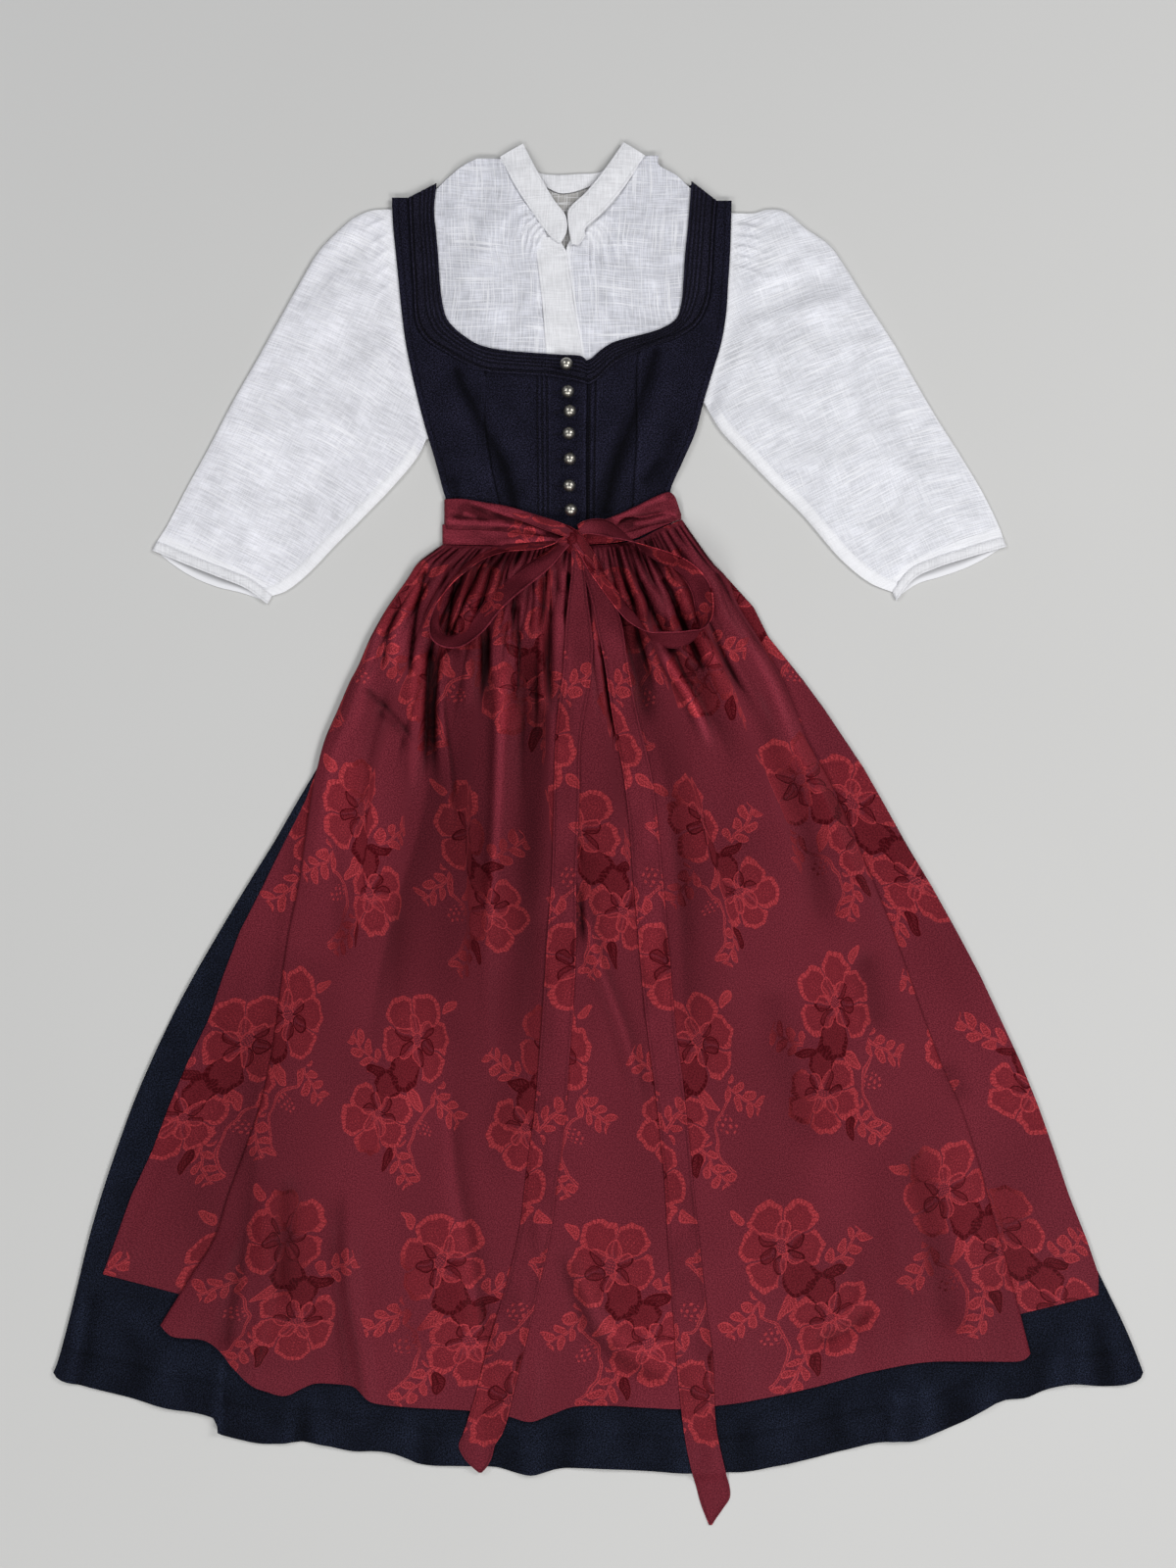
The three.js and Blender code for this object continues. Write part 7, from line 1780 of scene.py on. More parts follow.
SLEEVE_FOLDS = {
    "left": [
        dict(kind="R", line=[(-214, 628), (-228, 622), (-244, 612)], w=3.0, rise=3.2, start=0.02, end=0.6),
        dict(kind="R", line=[(-213, 612), (-226, 604), (-240, 592)], w=3.0, rise=3.0, start=0.02, end=0.6),
        dict(kind="R", line=[(-212, 596), (-224, 588), (-236, 574)], w=3.2, rise=2.8, start=0.02, end=0.6),
        dict(kind="R", line=[(-210, 580), (-222, 572), (-234, 556)], w=3.4, rise=2.4, start=0.02, end=0.6),
        dict(kind="R", line=[(-209, 562), (-220, 552), (-232, 534)], w=3.8, rise=2.2, start=0.02, end=0.6),
        dict(kind="G", line=[(-225, 600), (-262, 585), (-292, 556), (-308, 520)], w=13, rise=2.6),
        dict(kind="R", line=[(-236, 620), (-276, 590), (-300, 555)], w=12, rise=2.2),
        dict(kind="R", line=[(-215, 560), (-250, 540), (-285, 505), (-310, 460)], w=15, rise=2.4),
        dict(kind="G", line=[(-205, 520), (-235, 500), (-268, 470)], w=13, rise=2.2),
        dict(kind="R", line=[(-196, 480), (-222, 455), (-250, 430)], w=12, rise=1.8),
        dict(kind="G", line=[(-330, 490), (-345, 440), (-352, 400)], w=14, rise=1.6),
        dict(kind="R", line=[(-300, 430), (-330, 385), (-360, 350)], w=16, rise=1.5),
        dict(kind="G", line=[(-240, 400), (-280, 360), (-310, 320)], w=13, rise=1.4),
        dict(kind="G", line=[(-390, 380), (-400, 330), (-404, 300)], w=12, rise=1.4, end=0.1),
        dict(kind="R", line=[(-350, 320), (-356, 290), (-360, 270)], w=10, rise=1.2, end=0.1),
    ],
    "right": [
        dict(kind="R", line=[(138, 631), (152, 630), (172, 624)], w=2.3, rise=4.4, start=0.02, end=0.6),
        dict(kind="R", line=[(138, 621), (152, 619), (170, 612)], w=2.3, rise=4.4, start=0.02, end=0.6),
        dict(kind="R", line=[(138, 610), (151, 608), (170, 600)], w=2.3, rise=4.4, start=0.02, end=0.6),
        dict(kind="R", line=[(138, 600), (152, 597), (172, 588)], w=2.4, rise=4.2, start=0.02, end=0.6),
        dict(kind="R", line=[(138, 590), (151, 586), (170, 576)], w=2.4, rise=4.0, start=0.02, end=0.6),
        dict(kind="R", line=[(138, 579), (152, 574), (174, 562)], w=2.6, rise=3.6, start=0.02, end=0.6),
        dict(kind="R", line=[(137, 567), (150, 560), (168, 548)], w=3.4, rise=2.4, start=0.02, end=0.6),
        dict(kind="R", line=[(139, 551), (180, 566), (220, 577), (249, 581)], w=11, rise=2.8),
        dict(kind="G", line=[(139, 528), (190, 543), (235, 556), (269, 560)], w=9, rise=3.0),
        dict(kind="R", line=[(150, 510), (200, 524), (250, 534)], w=12, rise=2.0),
        dict(kind="G", line=[(204, 496), (250, 506), (299, 511)], w=9, rise=2.4),
        dict(kind="R", line=[(150, 470), (190, 480), (235, 484)], w=14, rise=1.8),
        dict(kind="G", line=[(150, 440), (190, 430), (230, 400)], w=12, rise=1.6),
        dict(kind="R", line=[(230, 440), (270, 410), (300, 370)], w=16, rise=1.6),
        dict(kind="G", line=[(290, 450), (310, 400), (330, 360)], w=13, rise=1.5),
        dict(kind="R", line=[(330, 370), (350, 330), (360, 300)], w=13, rise=1.4, end=0.1),
        dict(kind="G", line=[(270, 330), (290, 300), (305, 270)], w=10, rise=1.3, end=0.1),
    ],
}


def build_sleeves():
    for side, s in SLEEVES.items():
        sg = -1 if side == "left" else 1
        o0, o1 = Line(s["out"][:2], smooth=False), Line(s["out"][1:])
        n0, n1 = Line(s["under"][:2], smooth=False), Line(s["under"][1:])
        arm, hole, cuff = Line(s["arm"]), Line(s["hole"]), Line(s["cuff"])
        q = 96
        us = 0.5 - 0.5 * np.cos(np.linspace(0, np.pi, q + 1)) * 1.0
        us = 0.75 * np.linspace(0, 1, q + 1) + 0.25 * us
        ka, kb = np.linspace(0, 1, 7), np.linspace(0, 1, 135)
        XA, YA = patch(arm, hole, o0, n0, us, ka)
        XB, YB = patch(hole, cuff, o1, n1, us, kb)
        X, Y = np.vstack([XA[:-1], XB]), np.vstack([YA[:-1], YB])
        k = np.concatenate([ka[:-1] * 0.045, 0.045 + kb * 0.955])[:, None] + 0 * X
        U = us[None, :] + 0 * X
        # height of the upper layer above the floor: a soft puff that closes at both edges
        puff = np.interp(k, [0, 0.045, 0.07, 0.12, 0.3, 0.7, 0.93, 1.0], [3.4, 3.5, 5.0, 9.0, 9.5, 7.0, 4.6, 3.3])
        crown = np.power(np.clip(np.sin(np.pi * U), 0, 1), 0.55)
        w = np.hypot(X[:, -1] - X[:, 0], Y[:, -1] - Y[:, 0])[:, None]
        de = np.minimum(U, 1 - U) * w
        free = sstep(0.045, 0.09, k) * (1 - 0.75 * sstep(0.9, 1, k))
        H = folds(X, Y, SLEEVE_FOLDS[side]) * sstep(0.045, 0.06, k) * (1 - 0.8 * sstep(0.93, 1, k))
        H = H + (0.8 * fbm(X / 40, Y / 40, 2) + 0.22 * fbm(X / 9, Y / 9, 2, N3)) * free
        edge_in = sstep(0, 14, de)
        low = np.interp(k, [0, 0.045, 0.085, 1], [1.5, 1.5, 0.0, 0.0])
        rad = np.sqrt(np.clip(1 - np.clip(1 - de / 4.5, 0, 1) ** 2, 0, 1))
        zmid = (low + puff * 0.30 + 0.6)
        zmid = np.minimum(zmid, np.interp(k, [0, 0.045, 0.1, 1], [2.6, 2.6, 2.6, 2.0]))
        body = puff * (0.45 + 0.55 * crown) + H * edge_in
        top = zmid + (np.maximum(body, low + 2.2) - zmid) * rad
        # underarm seam: a stitched ridge 12 mm in from the inner edge
        du = (1 - U) * w
        top = top - 1.1 * np.exp(-((du - 12.0) / 1.3) ** 2) * sstep(0.12, 0.2, k)
        top = top + 0.7 * np.exp(-((du - 6.0) / 4.0) ** 2) * sstep(0.12, 0.2, k)
        # under layer, coarse
        iu = np.arange(0, q + 1, 1)
        bot_z = zmid + (low - zmid) * rad
        ring_top = np.stack([X, Y, top], -1)
        ring_bot = np.stack([X, Y, bot_z], -1)[:, 1:-1][:, ::-1]
        outer = np.concatenate([ring_top, ring_bot], 1)
        # inner face, thinned by the cloth
        shrink = np.clip(0.9 / np.maximum(w, 1) + 0 * U, 0, 0.05)
        Ui = shrink + (1 - 2 * shrink) * U
        Xi = X + (Ui - U) * (X[:, -1:] - X[:, :1])
        Yi = Y + (Ui - U) * (Y[:, -1:] - Y[:, :1])
        ti = 0.75
        mid_z = (top + bot_z) / 2
        it = np.maximum(top - ti, mid_z + 0.02)
        ib = np.minimum(bot_z + ti, mid_z - 0.02)
        low_it = it.copy()
        for dj in range(-2, 3):
            for di in (-4, -3, -2, -1, 0, 1, 2, 3, 4):
                q_ = np.roll(np.roll(it, dj, 0), di, 1)
                ok = np.ones_like(it, bool)
                ok[:2] = ok[-2:] = False
                ok[:, :4] = ok[:, -4:] = False
                low_it = np.where(ok, np.minimum(low_it, q_), low_it)
        it = np.maximum(low_it - 0.15, mid_z + 0.02)
        inner = np.concatenate([np.stack([Xi, Yi, it], -1), np.stack([Xi, Yi, ib], -1)[:, 1:-1][:, ::-1]], 1)
        inner = inner[::2, ::4] if inner.shape[1] % 4 == 0 else inner[::2, ::2]
        c, sn = math.cos(s["grain"]), math.sin(s["grain"])
        ua, va = X * c - Y * sn, X * sn + Y * c
        bendv = 0.0009 * (U - 0.5) ** 2 * w * w * 0.6
        uvt = np.stack([ua, va + bendv], -1)
        uv = np.concatenate([uvt, uvt[:, 1:-1][:, ::-1] + 300.0], 1)
        o = ring_mesh(f"sleeve_{side}_cloth", outer, inner, uv)
        dbl = np.maximum((1 - sstep(11.0, 12.5, du)) * sstep(0.10, 0.14, k), 0.75 * sstep(0.972, 0.978, k))
        dbl = np.maximum(dbl, 0.35 * (1 - sstep(0.055, 0.075, k)))
        dbl = np.maximum(dbl, 0.6 * (1 - sstep(1.5, 3.5, U * w)))
        paint(o, "dense", np.concatenate([dbl, 0 * dbl[:, 1:-1]], 1))
        # painted light and shade on the folds, crests lighter and hollows darker, a painted shade line at the underarm
        # seam, and random tone
        soft = np.clip(0.055 * (H - soften(soften(H, 7, 1), 5, 0)), -0.10, 0.09) - 0.07 * np.exp(-((du - 12.0) / 1.2) ** 2) * sstep(0.12, 0.2, k)
        soft = soft + 0.05 * fbm(X / 50, Y / 36, 2, N2)
        paint(o, "shade", np.concatenate([soft, 0 * soft[:, 1:-1]], 1))
        fix_normals(o)
        finish_piece(o, VOILE_L if side == "left" else VOILE_R_SHADED, [f"sleeve_{side}"])
        lay_down(X, Y, top)

        # cuff binding: the front edge, and the longer back edge seen through the opening
        ks = np.linspace(0, 1, 15)
        d = s["down"]
        E = cuff(us)
        front_drop, back_drop = 9.3, 19.5
        sway = np.sin(np.pi * us) ** 0.8

        def layer(drop, z_in, z_out, thick, nm, over):
            K = ks[:, None]
            dirx, diry = np.array(d) / np.hypot(*d)
            start = -0.8 if over else 0.6
            f = start + (drop - start) * K
            dropu = f * (1.0 if over else (0.30 + 0.70 * sway[None, :]))
            X = E[None, :, 0] + dirx * dropu
            Y = E[None, :, 1] + diry * dropu
            return X, Y
        X1, Y1 = layer(front_drop, 0, 0, 0, "f", True)
        X2, Y2 = layer(back_drop, 0, 0, 0, "b", False)
        de = np.minimum(us, 1 - us)[None, :] * cuff.length
        rr = np.sqrt(np.clip(1 - np.clip(1 - de / 3.5, 0, 1) ** 2, 0, 1))
        zm = 1.7
        bulge = 1.0 * np.sin(np.pi * np.clip(ks, 0, 1))[:, None]
        zt = zm + (3.2 + bulge + 1.6 * sway[None, :] - zm) * rr
        zb = zm + (0.0 - zm) * rr + 0 * ks[:, None]
        outer = np.concatenate([np.stack([X1, Y1, zt], -1), np.stack([X2, Y2, zb], -1)[:, 1:-1][:, ::-1]], 1)
        it = np.maximum(zt - 1.1, (zt + zb) / 2 + 0.02)
        ib = np.minimum(zb + 0.9, (zt + zb) / 2 - 0.02)
        cx = (1 - 2 * 0.006)
        inner = np.concatenate([np.stack([X1, Y1, it], -1), np.stack([X2, Y2, ib], -1)[:, 1:-1][:, ::-1]], 1)
        # pull the inner ring in from the side edges
        cxy = inner[..., :2].mean(axis=1, keepdims=True)
        inner[..., :2] = cxy + (inner[..., :2] - cxy) * 0.985
        inner = inner[:, ::4]
        o = ring_mesh(f"cuff_{side}_cloth", outer, inner, np.concatenate([np.stack([X1, Y1], -1), np.stack([X2, Y2], -1)[:, 1:-1][:, ::-1]], 1))
        # painted shade on the inside of the back layer under the front edge, and two painted shade lines across the
        # front layer, near its top and near its lower edge
        deep = np.concatenate([0 * X1, (-0.42 * (1 - sstep(0.55, 0.86, ks))[:, None] + 0 * X2)[:, 1:-1][:, ::-1]], 1)[:, ::4]
        hem = np.concatenate([-0.16 * np.exp(-(((ks[:, None] * 10.1 - 8.0) + 0 * X1) / 0.7) ** 2) - 0.12 * np.exp(-(((ks[:, None] * 10.1 - 0.9) + 0 * X1) / 0.7) ** 2), (0 * X2)[:, 1:-1]], 1)
        paint(o, "shade", np.concatenate([hem.ravel(), deep.ravel()]))
        fix_normals(o)
        finish_piece(o, VOILE_BAND, [f"cuff_{side}"])


# --------------------------------------------------------------------------
# Waistband, ties and bow
# --------------------------------------------------------------------------
WAISTBAND = [(-160, 316, 295.4), (-119, 318, 294.4), (-71, 316, 294.4), (-40, 311, 295.4), (0, 311, 295.8),
             (34, 318, 300.4), (57, 328, 310.4), (74, 335, 317.4), (81, 332, 320.2), (84.5, 326.5, 321.6)]
WRAP_LEFT = [(-158, 341.6, 311), (-139, 341.8, 310.4), (-119, 338.6, 310), (-94, 334.5, 308), (-66, 326.3, 305),
             (-43, 319.2, 302), (-31, 314.5, 299)]
WRAP_RIGHT = [(-14, 316, 302), (10, 322.2, 304), (38.5, 334.5, 310), (59, 344.7, 316), (72, 348.6, 318), (77, 345, 318.5), (81.5, 334, 320), (84.5, 325, 321)]


def z0_seed(name):
    return 3.7 * len(name)


def across_band(name, node, table, z, relief, t=0.9, mat=None, rolls="", lift=0.0, depth=0.66):
    tb = smooth_points(np.array(table, float), 240)
    us, vs = edge_steps(170, 245), edge_steps(34, 30)
    s = np.linspace(0, 1, len(tb))
    x, top, low = [np.interp(us, s, tb[:, k]) for k in range(3)]
    Vv = vs[:, None]
    X = x[None, :] + 0 * Vv
    Y = top[None, :] * (1 - Vv) + low[None, :] * Vv
    Z = z(X, Y, us[None, :] + 0 * X, Vv + 0 * X) + relief(X, Y, us[None, :] + 0 * X, Vv + 0 * X)
    rim = round_rim(us, vs, 245, 28, t, "tb")
    for end, d in (("l", X - x[0]), ("r", x[-1] - X)):
        if end in rolls:
            q = np.clip(1 - d / 5.5, 0, 1)
            Z = 0.4 + (Z - 0.4) * np.sqrt(np.clip(1 - q ** 2.4, 0, 1))
    uv = np.stack([X, Y * 1.0], -1)
    rel = relief(X, Y, us[None, :] + 0 * X, Vv + 0 * X)
    # painted light and shade from the relief: crests lighter, hollows darker, plus random tone, with lift brightening
    # the whole band
    painted_shade_and_tone = lift + np.clip(depth * (rel - soften(soften(rel, 9, 1), 5, 0)), -0.78, 0.65)
    painted_shade_and_tone = painted_shade_and_tone + 0.16 * fbm(X / 17 + z0_seed(name), Y / 11, 2, N3)
    o = flat_piece(name, X, Y, Z, t, uv, rim, attrs={"shade": painted_shade_and_tone})
    finish_piece(o, mat or SATIN_BAND, [node])
    lay_down(X, Y, Z + t)
    return o


def build_bands():
    global HM
    close_gaps(2)
    B = blur(HM, 3)

    def z_wb(X, Y, U, V):
        return np.maximum(WAISTBAND_Z, sample(B, X, Y) + 0.35)

    def r_wb(X, Y, U, V):
        pucker = 0.55 * np.abs(np.sin(np.pi * 43 * U + 2 * N1(U * 40, V * 2))) * sstep(0.55, 1, V)
        return 1.2 * np.sin(np.pi * V) ** 0.6 + pucker * 0.6 + 0.35 * fbm(X / 16, Y / 9, 2)
    # lift paints the waistband lighter overall than the wraps
    across_band("apron_waistband_cloth", "apron_waistband", WAISTBAND, z_wb, r_wb, rolls="lr", lift=0.36, depth=0.6)
    close_gaps(1)
    B2 = blur(HM, 2)

    LW = [
        dict(kind="L", line=[(-134, 339), (-120, 334), (-104, 328), (-89, 323), (-66, 318)], w=3.0, rise=3.4, start=0.15, end=0.1),
        dict(kind="R", line=[(-120, 338), (-80, 329), (-40, 317)], w=3.0, rise=1.4, start=0.2, end=0),
        dict(kind="V", line=[(-156, 325), (-130, 322), (-104, 323), (-84, 320)], w=2.0, rise=1.8),
        dict(kind="R", line=[(-158, 319), (-130, 317), (-106, 316), (-80, 313), (-50, 305)], w=3.4, rise=2.6, start=0.05, end=0.1),
        dict(kind="V", line=[(-112, 311), (-86, 310), (-60, 305)], w=2.2, rise=2.0),
        dict(kind="G", line=[(-146, 334), (-124, 328), (-110, 320)], w=4, rise=1.8),
        dict(kind="R", line=[(-140, 328), (-122, 322)], w=4, rise=1.4),
        dict(kind="V", line=[(-100, 319), (-84, 315), (-66, 311)], w=2.0, rise=1.6),
    ]
    RW = [
        dict(kind="L", line=[(14, 312), (26, 322.7), (45, 323), (66, 327), (82, 322)], w=2.6, rise=3.0, start=0.1, end=0.1),
        dict(kind="R", line=[(10, 320), (30, 328), (51, 338), (70, 346)], w=3.4, rise=2.4, start=0.1, end=0.1),
        dict(kind="V", line=[(17, 316), (32, 322), (50, 326), (70, 330)], w=2.2, rise=2.4),
        dict(kind="R", line=[(28, 314), (46, 317), (64, 322), (80, 326)], w=3.2, rise=2.4),
        dict(kind="V", line=[(8, 309), (24, 313), (40, 316)], w=2.2, rise=2.2),
        dict(kind="V", line=[(36, 310), (56, 315), (76, 320)], w=1.8, rise=1.2),
    ]
    flat = lambda X, Y, U, V: np.maximum(WRAP_Z, sample(B2, X, Y) + 0.35)
    across_band("tie_wrap_left_cloth", "tie_wrap_left", WRAP_LEFT, flat,
                lambda X, Y, U, V: np.maximum(0, 0.8 + folds(X, Y, LW) + 0.3 * fbm(X / 14, Y / 8, 2)) * (0.35 + 0.65 * np.sin(np.pi * V) ** 0.5),
                rolls="l")
    across_band("tie_wrap_right_cloth", "tie_wrap_right", WRAP_RIGHT, flat,
                lambda X, Y, U, V: np.maximum(0, 0.8 + folds(X, Y, RW) + 0.3 * fbm(X / 14, Y / 8, 2)) * (0.35 + 0.65 * np.sin(np.pi * V) ** 0.5),
                rolls="r")


def ribbon_mesh(name, st, width, t, nodes, n=150, across=26, mat=None, uv0=(0, 0), curl=0.0, seed=0, relief=0.35):
    """Ribbon through stations (x, y, z, turn, width); turn is its width's angle from the ground."""
    s = np.array([[q["x"], q["y"], q["z"], q["turn"], q.get("width", width)] for q in st], float)
    d = smooth_points(s, n + 1)
    C, turn, w = d[:, :3], np.radians(d[:, 3]), d[:, 4]
    T = np.gradient(C, axis=0)
    T /= np.linalg.norm(T, axis=1, keepdims=True)
    left = np.stack([-T[:, 1], T[:, 0], 0 * T[:, 0]], 1)
    left /= np.linalg.norm(left, axis=1, keepdims=True)
    Wv = left * np.cos(turn)[:, None] + np.array([0, 0, 1.0]) * np.sin(turn)[:, None]
    F = np.cross(T, Wv)
    F /= np.linalg.norm(F, axis=1, keepdims=True)
    us = edge_steps(across, width, extra=(0.4, 1.2))
    a = (us - 0.5)[None, :, None]
    P = C[:, None] + Wv[:, None] * a * w[:, None, None]
    run = np.concatenate([[0], np.cumsum(np.linalg.norm(np.diff(C, axis=0), axis=1))])
    R = run[:, None] + 0 * us[None, :]
    A = us[None, :] * width + 0 * R
    bumpy = relief * fbm(R / 16 + seed, A / 14, 2, N2) + curl * ((us[None, :] - 0.5) ** 2 * 4 - 0.4)
    # seams: the tie is a folded tube with an edge seam
    bumpy = bumpy - 0.25 * np.exp(-((A - 2.2) / 0.7) ** 2) - 0.25 * np.exp(-((width - A - 2.2) / 0.7) ** 2)
    P = P + F[:, None] * bumpy[..., None]
    N = normals(P)
    if (N * F[:, None]).sum() < 0:
        N = -N
    q = np.clip(1 - np.minimum(us, 1 - us)[None, :] * width / 1.4, 0, 1)
    th = (t * 0.5 * (1 - 0.55 * (1 - np.sqrt(np.clip(1 - q * q, 0, 1)))))[..., None] + 0 * P[..., :1]
    top, bot = P + N * th, P - N * th
    uv = np.stack([A + uv0[0], R + uv0[1]], -1)
    if top.shape[0] % 2 == 0:
        top, bot, uv = top[:-1], bot[:-1], uv[:-1]
    edge = np.minimum(A, width - A)
    # painted highlights along both edges, painted shade in the seam grooves and hollows, lighter on the bumps, the
    # ribbon painted a little darker overall, and random tone where the relief is high
    painted_shade_and_tone = 0.62 * np.exp(-(edge / 1.2) ** 2) - 0.42 * np.exp(-((edge - 2.4) / 0.9) ** 2) + 0.26 * np.clip(bumpy, -1, 1) - 0.10
    if relief > 0.3:
        painted_shade_and_tone = painted_shade_and_tone + 0.30 * fbm(R / 20 + seed * 3.1, A / 30, 2, N3)
    if painted_shade_and_tone.shape[0] % 2 == 0:
        painted_shade_and_tone = painted_shade_and_tone[:-1]
    o = shell(name, top, bot, uv, 2, 60, attrs={"shade": painted_shade_and_tone})
    fix_normals(o)
    finish_piece(o, mat or SATIN_TIE, nodes)
    return o, top


LOOP_LEFT = [  # x, y, width, turn: the width's angle from the ground, over 90 leans outward
    (-32, 297, 10, 150), (-39, 296, 13, 120), (-47, 295.3, 16, 72), (-62, 292.6, 22, 66), (-80, 291, 27, 69), (-96, 289, 29, 70),
    (-115, 282.8, 29, 70), (-131, 272.2, 29, 72), (-145, 259.6, 29, 76), (-155.5, 245, 29, 85), (-163.5, 228, 29, 97),
    (-166.5, 211, 29, 107), (-163, 200, 29, 113), (-153, 195, 29, 117), (-140, 197, 29, 122), (-126, 208, 29, 127),
    (-114.5, 222, 29, 131), (-103, 237, 29, 134), (-88, 251, 29, 136), (-71, 264, 27, 138), (-53.5, 277.5, 21, 142),
    (-42, 288, 14, 150), (-33, 297, 10, 160)]
LOOP_RIGHT = [
    (-20, 309, 11, 176), (-13, 311.6, 14, 168), (-4.3, 312.2, 18, 158), (6, 310.5, 22, 145), (14, 306.8, 25, 131),
    (24, 302, 27, 112), (36, 295, 29, 96), (48, 288.3, 29, 82), (64, 280.5, 29, 70), (80, 273.5, 29, 63), (94, 262.5, 29, 57),
    (103.5, 248, 29, 51), (106.5, 233, 29, 50), (106.5, 219, 29, 62), (103.5, 208, 29, 84), (94, 201, 29, 108),
    (79, 196.5, 29, 122), (62, 197.5, 29, 116), (50, 203, 29, 92), (40.5, 211.5, 29, 74), (31.5, 221, 29, 66),
    (21, 233, 28, 63), (11, 247, 25, 59), (0, 263, 20, 48), (-9, 279, 16, 30), (-15.5, 290, 13.5, 14), (-22.5, 299.5, 12.5, 5),
    (-29.8, 305.6, 12.3, 2), (-41, 310.4, 12, 0), (-54.3, 314.6, 10.5, 0), (-71, 320, 8, 0), (-88, 325, 4.5, 0)]
TAIL_LEFT = [(297, -29, -19), (286, -28, -17), (278, -27.5, -15.5), (265, -28, -14), (239, -31, -11.5), (214, -33.5, -8), (189, -35, -6), (160, -37, -8), (100, -44, -18), (30, -46, -20), (-43, -48, -23),
             (-110, -53, -23), (-177, -57, -26), (-230, -61, -30), (-289, -66, -34), (-355, -75, -43), (-400, -80, -48),
             (-458, -93, -61), (-534, -115, -79), (-570, -124, -88), (-596, -132, -94), (-612, -138, -99), (-624, -143, -106),
             (-636, -138, -109), (-647, -128, -115), (-652, -122.5, -119.5)]
TAIL_RIGHT = [(297, -24, -13), (286, -22, -9), (276, -19, -4), (261, -13.5, 1.5), (239, -7, 13), (214, -2.5, 23), (198, 1, 26), (179, 5, 28.5), (120, 14, 39), (61, 25, 53), (10, 31, 60),
              (-43, 35, 65), (-159, 45, 75), (-204, 50, 79), (-248, 56, 85), (-311, 63, 92), (-355, 67, 96), (-422, 71, 103),
              (-489, 76, 110), (-534, 79, 116), (-609, 87, 120), (-654, 96, 130), (-669, 100, 134), (-679, 102.5, 134),
              (-690, 106, 127), (-700, 110, 120), (-706.5, 112.6, 115.8)]


def build_tails():
    close_gaps(2)
    smooth_map = np.maximum(blur(HM, 5) + 0.2, blur(HM, 2))
    for name, node, table, seed in (("tie_tail_left_cloth", "tie_tail_left", TAIL_LEFT, 3), ("tie_tail_right_cloth", "tie_tail_right", TAIL_RIGHT, 8)):
        tb = smooth_points(np.array(table, float), 700)
        vs = np.linspace(0, 1, 361)
        us = edge_steps(22, 36, extra=(0.4, 1.2))
        s = np.linspace(0, 1, len(tb))
        y, l, r = [np.interp(vs, s, tb[:, k]) for k in range(3)]
        U = us[None, :]
        X = l[:, None] * (1 - U) + r[:, None] * U
        Y = y[:, None] + 0 * X
        # the tail runs square to its fall, not along X: lean its cross line
        cx = (l + r) / 2
        slope = np.gradient(cx, y)
        slope = np.convolve(np.pad(slope, 12, mode="edge"), np.ones(25) / 25, "valid")
        lean = 1 - sstep(0.90, 0.97, vs)
        Y = Y - slope[:, None] * (X - cx[:, None]) * lean[:, None] * 0.9
        under = sample(smooth_map, X, Y)
        cen = sample(smooth_map, cx[:, None] + 0 * X, y[:, None] + 0 * X)
        base = np.maximum(under, 0.35 * under + 0.65 * np.minimum(cen, under + 2.0))
        rows = base.max(axis=1)
        k = np.exp(-0.5 * (np.arange(-14, 15) / 5.0) ** 2)
        k /= k.sum()
        lift = np.convolve(np.pad(base.mean(axis=1), 14, mode="edge"), k, "valid")[:, None]
        Z = np.maximum(base, lift) + 0.5
        Z = Z + 0.55 * np.maximum(0, 0.3 + fbm(X / 16 + seed, Y / 26, 2, N2))
        # fall from the knot
        Z = Z + 3.5 * (1 - sstep(0, 0.06, vs))[:, None]
        A = U * (r - l)[:, None]
        Z = Z - 0.3 * np.exp(-((A - 2.2) / 0.7) ** 2) - 0.3 * np.exp(-(((r - l)[:, None] - A - 2.2) / 0.7) ** 2)
        off = sstep(-650, -668, Y)
        Z = np.where(Y < -640, np.maximum(Z * (1 - off) + off * (0.12 + 0.35 * np.maximum(0, fbm(X / 14, Y / 14, 2))), 0.05), Z)
        rim = round_rim(us, vs, 36, 960, 0.9, "lr")
        uv = np.stack([U * (r - l)[:, None] + 0 * X, -Y], -1)
        edge = np.minimum(A, (r - l)[:, None] - A)
        # painted highlights along both edges, painted shade in the seam grooves, random tone, and the left tail painted
        # darker than the right
        painted_shade_and_tone = 0.16 * np.exp(-(edge / 1.2) ** 2) - 0.38 * np.exp(-((edge - 2.2) / 0.8) ** 2) + 0.13 * fbm(X / 18 + seed, Y / 40, 2, N3) - (0.08 if seed == 3 else 0.0)
        o = flat_piece(name, X, Y, Z, 0.9, uv, rim, attrs={"shade": painted_shade_and_tone})
        finish_piece(o, SATIN_TIE, [node])
        lay_down(X, Y, Z + 0.9)


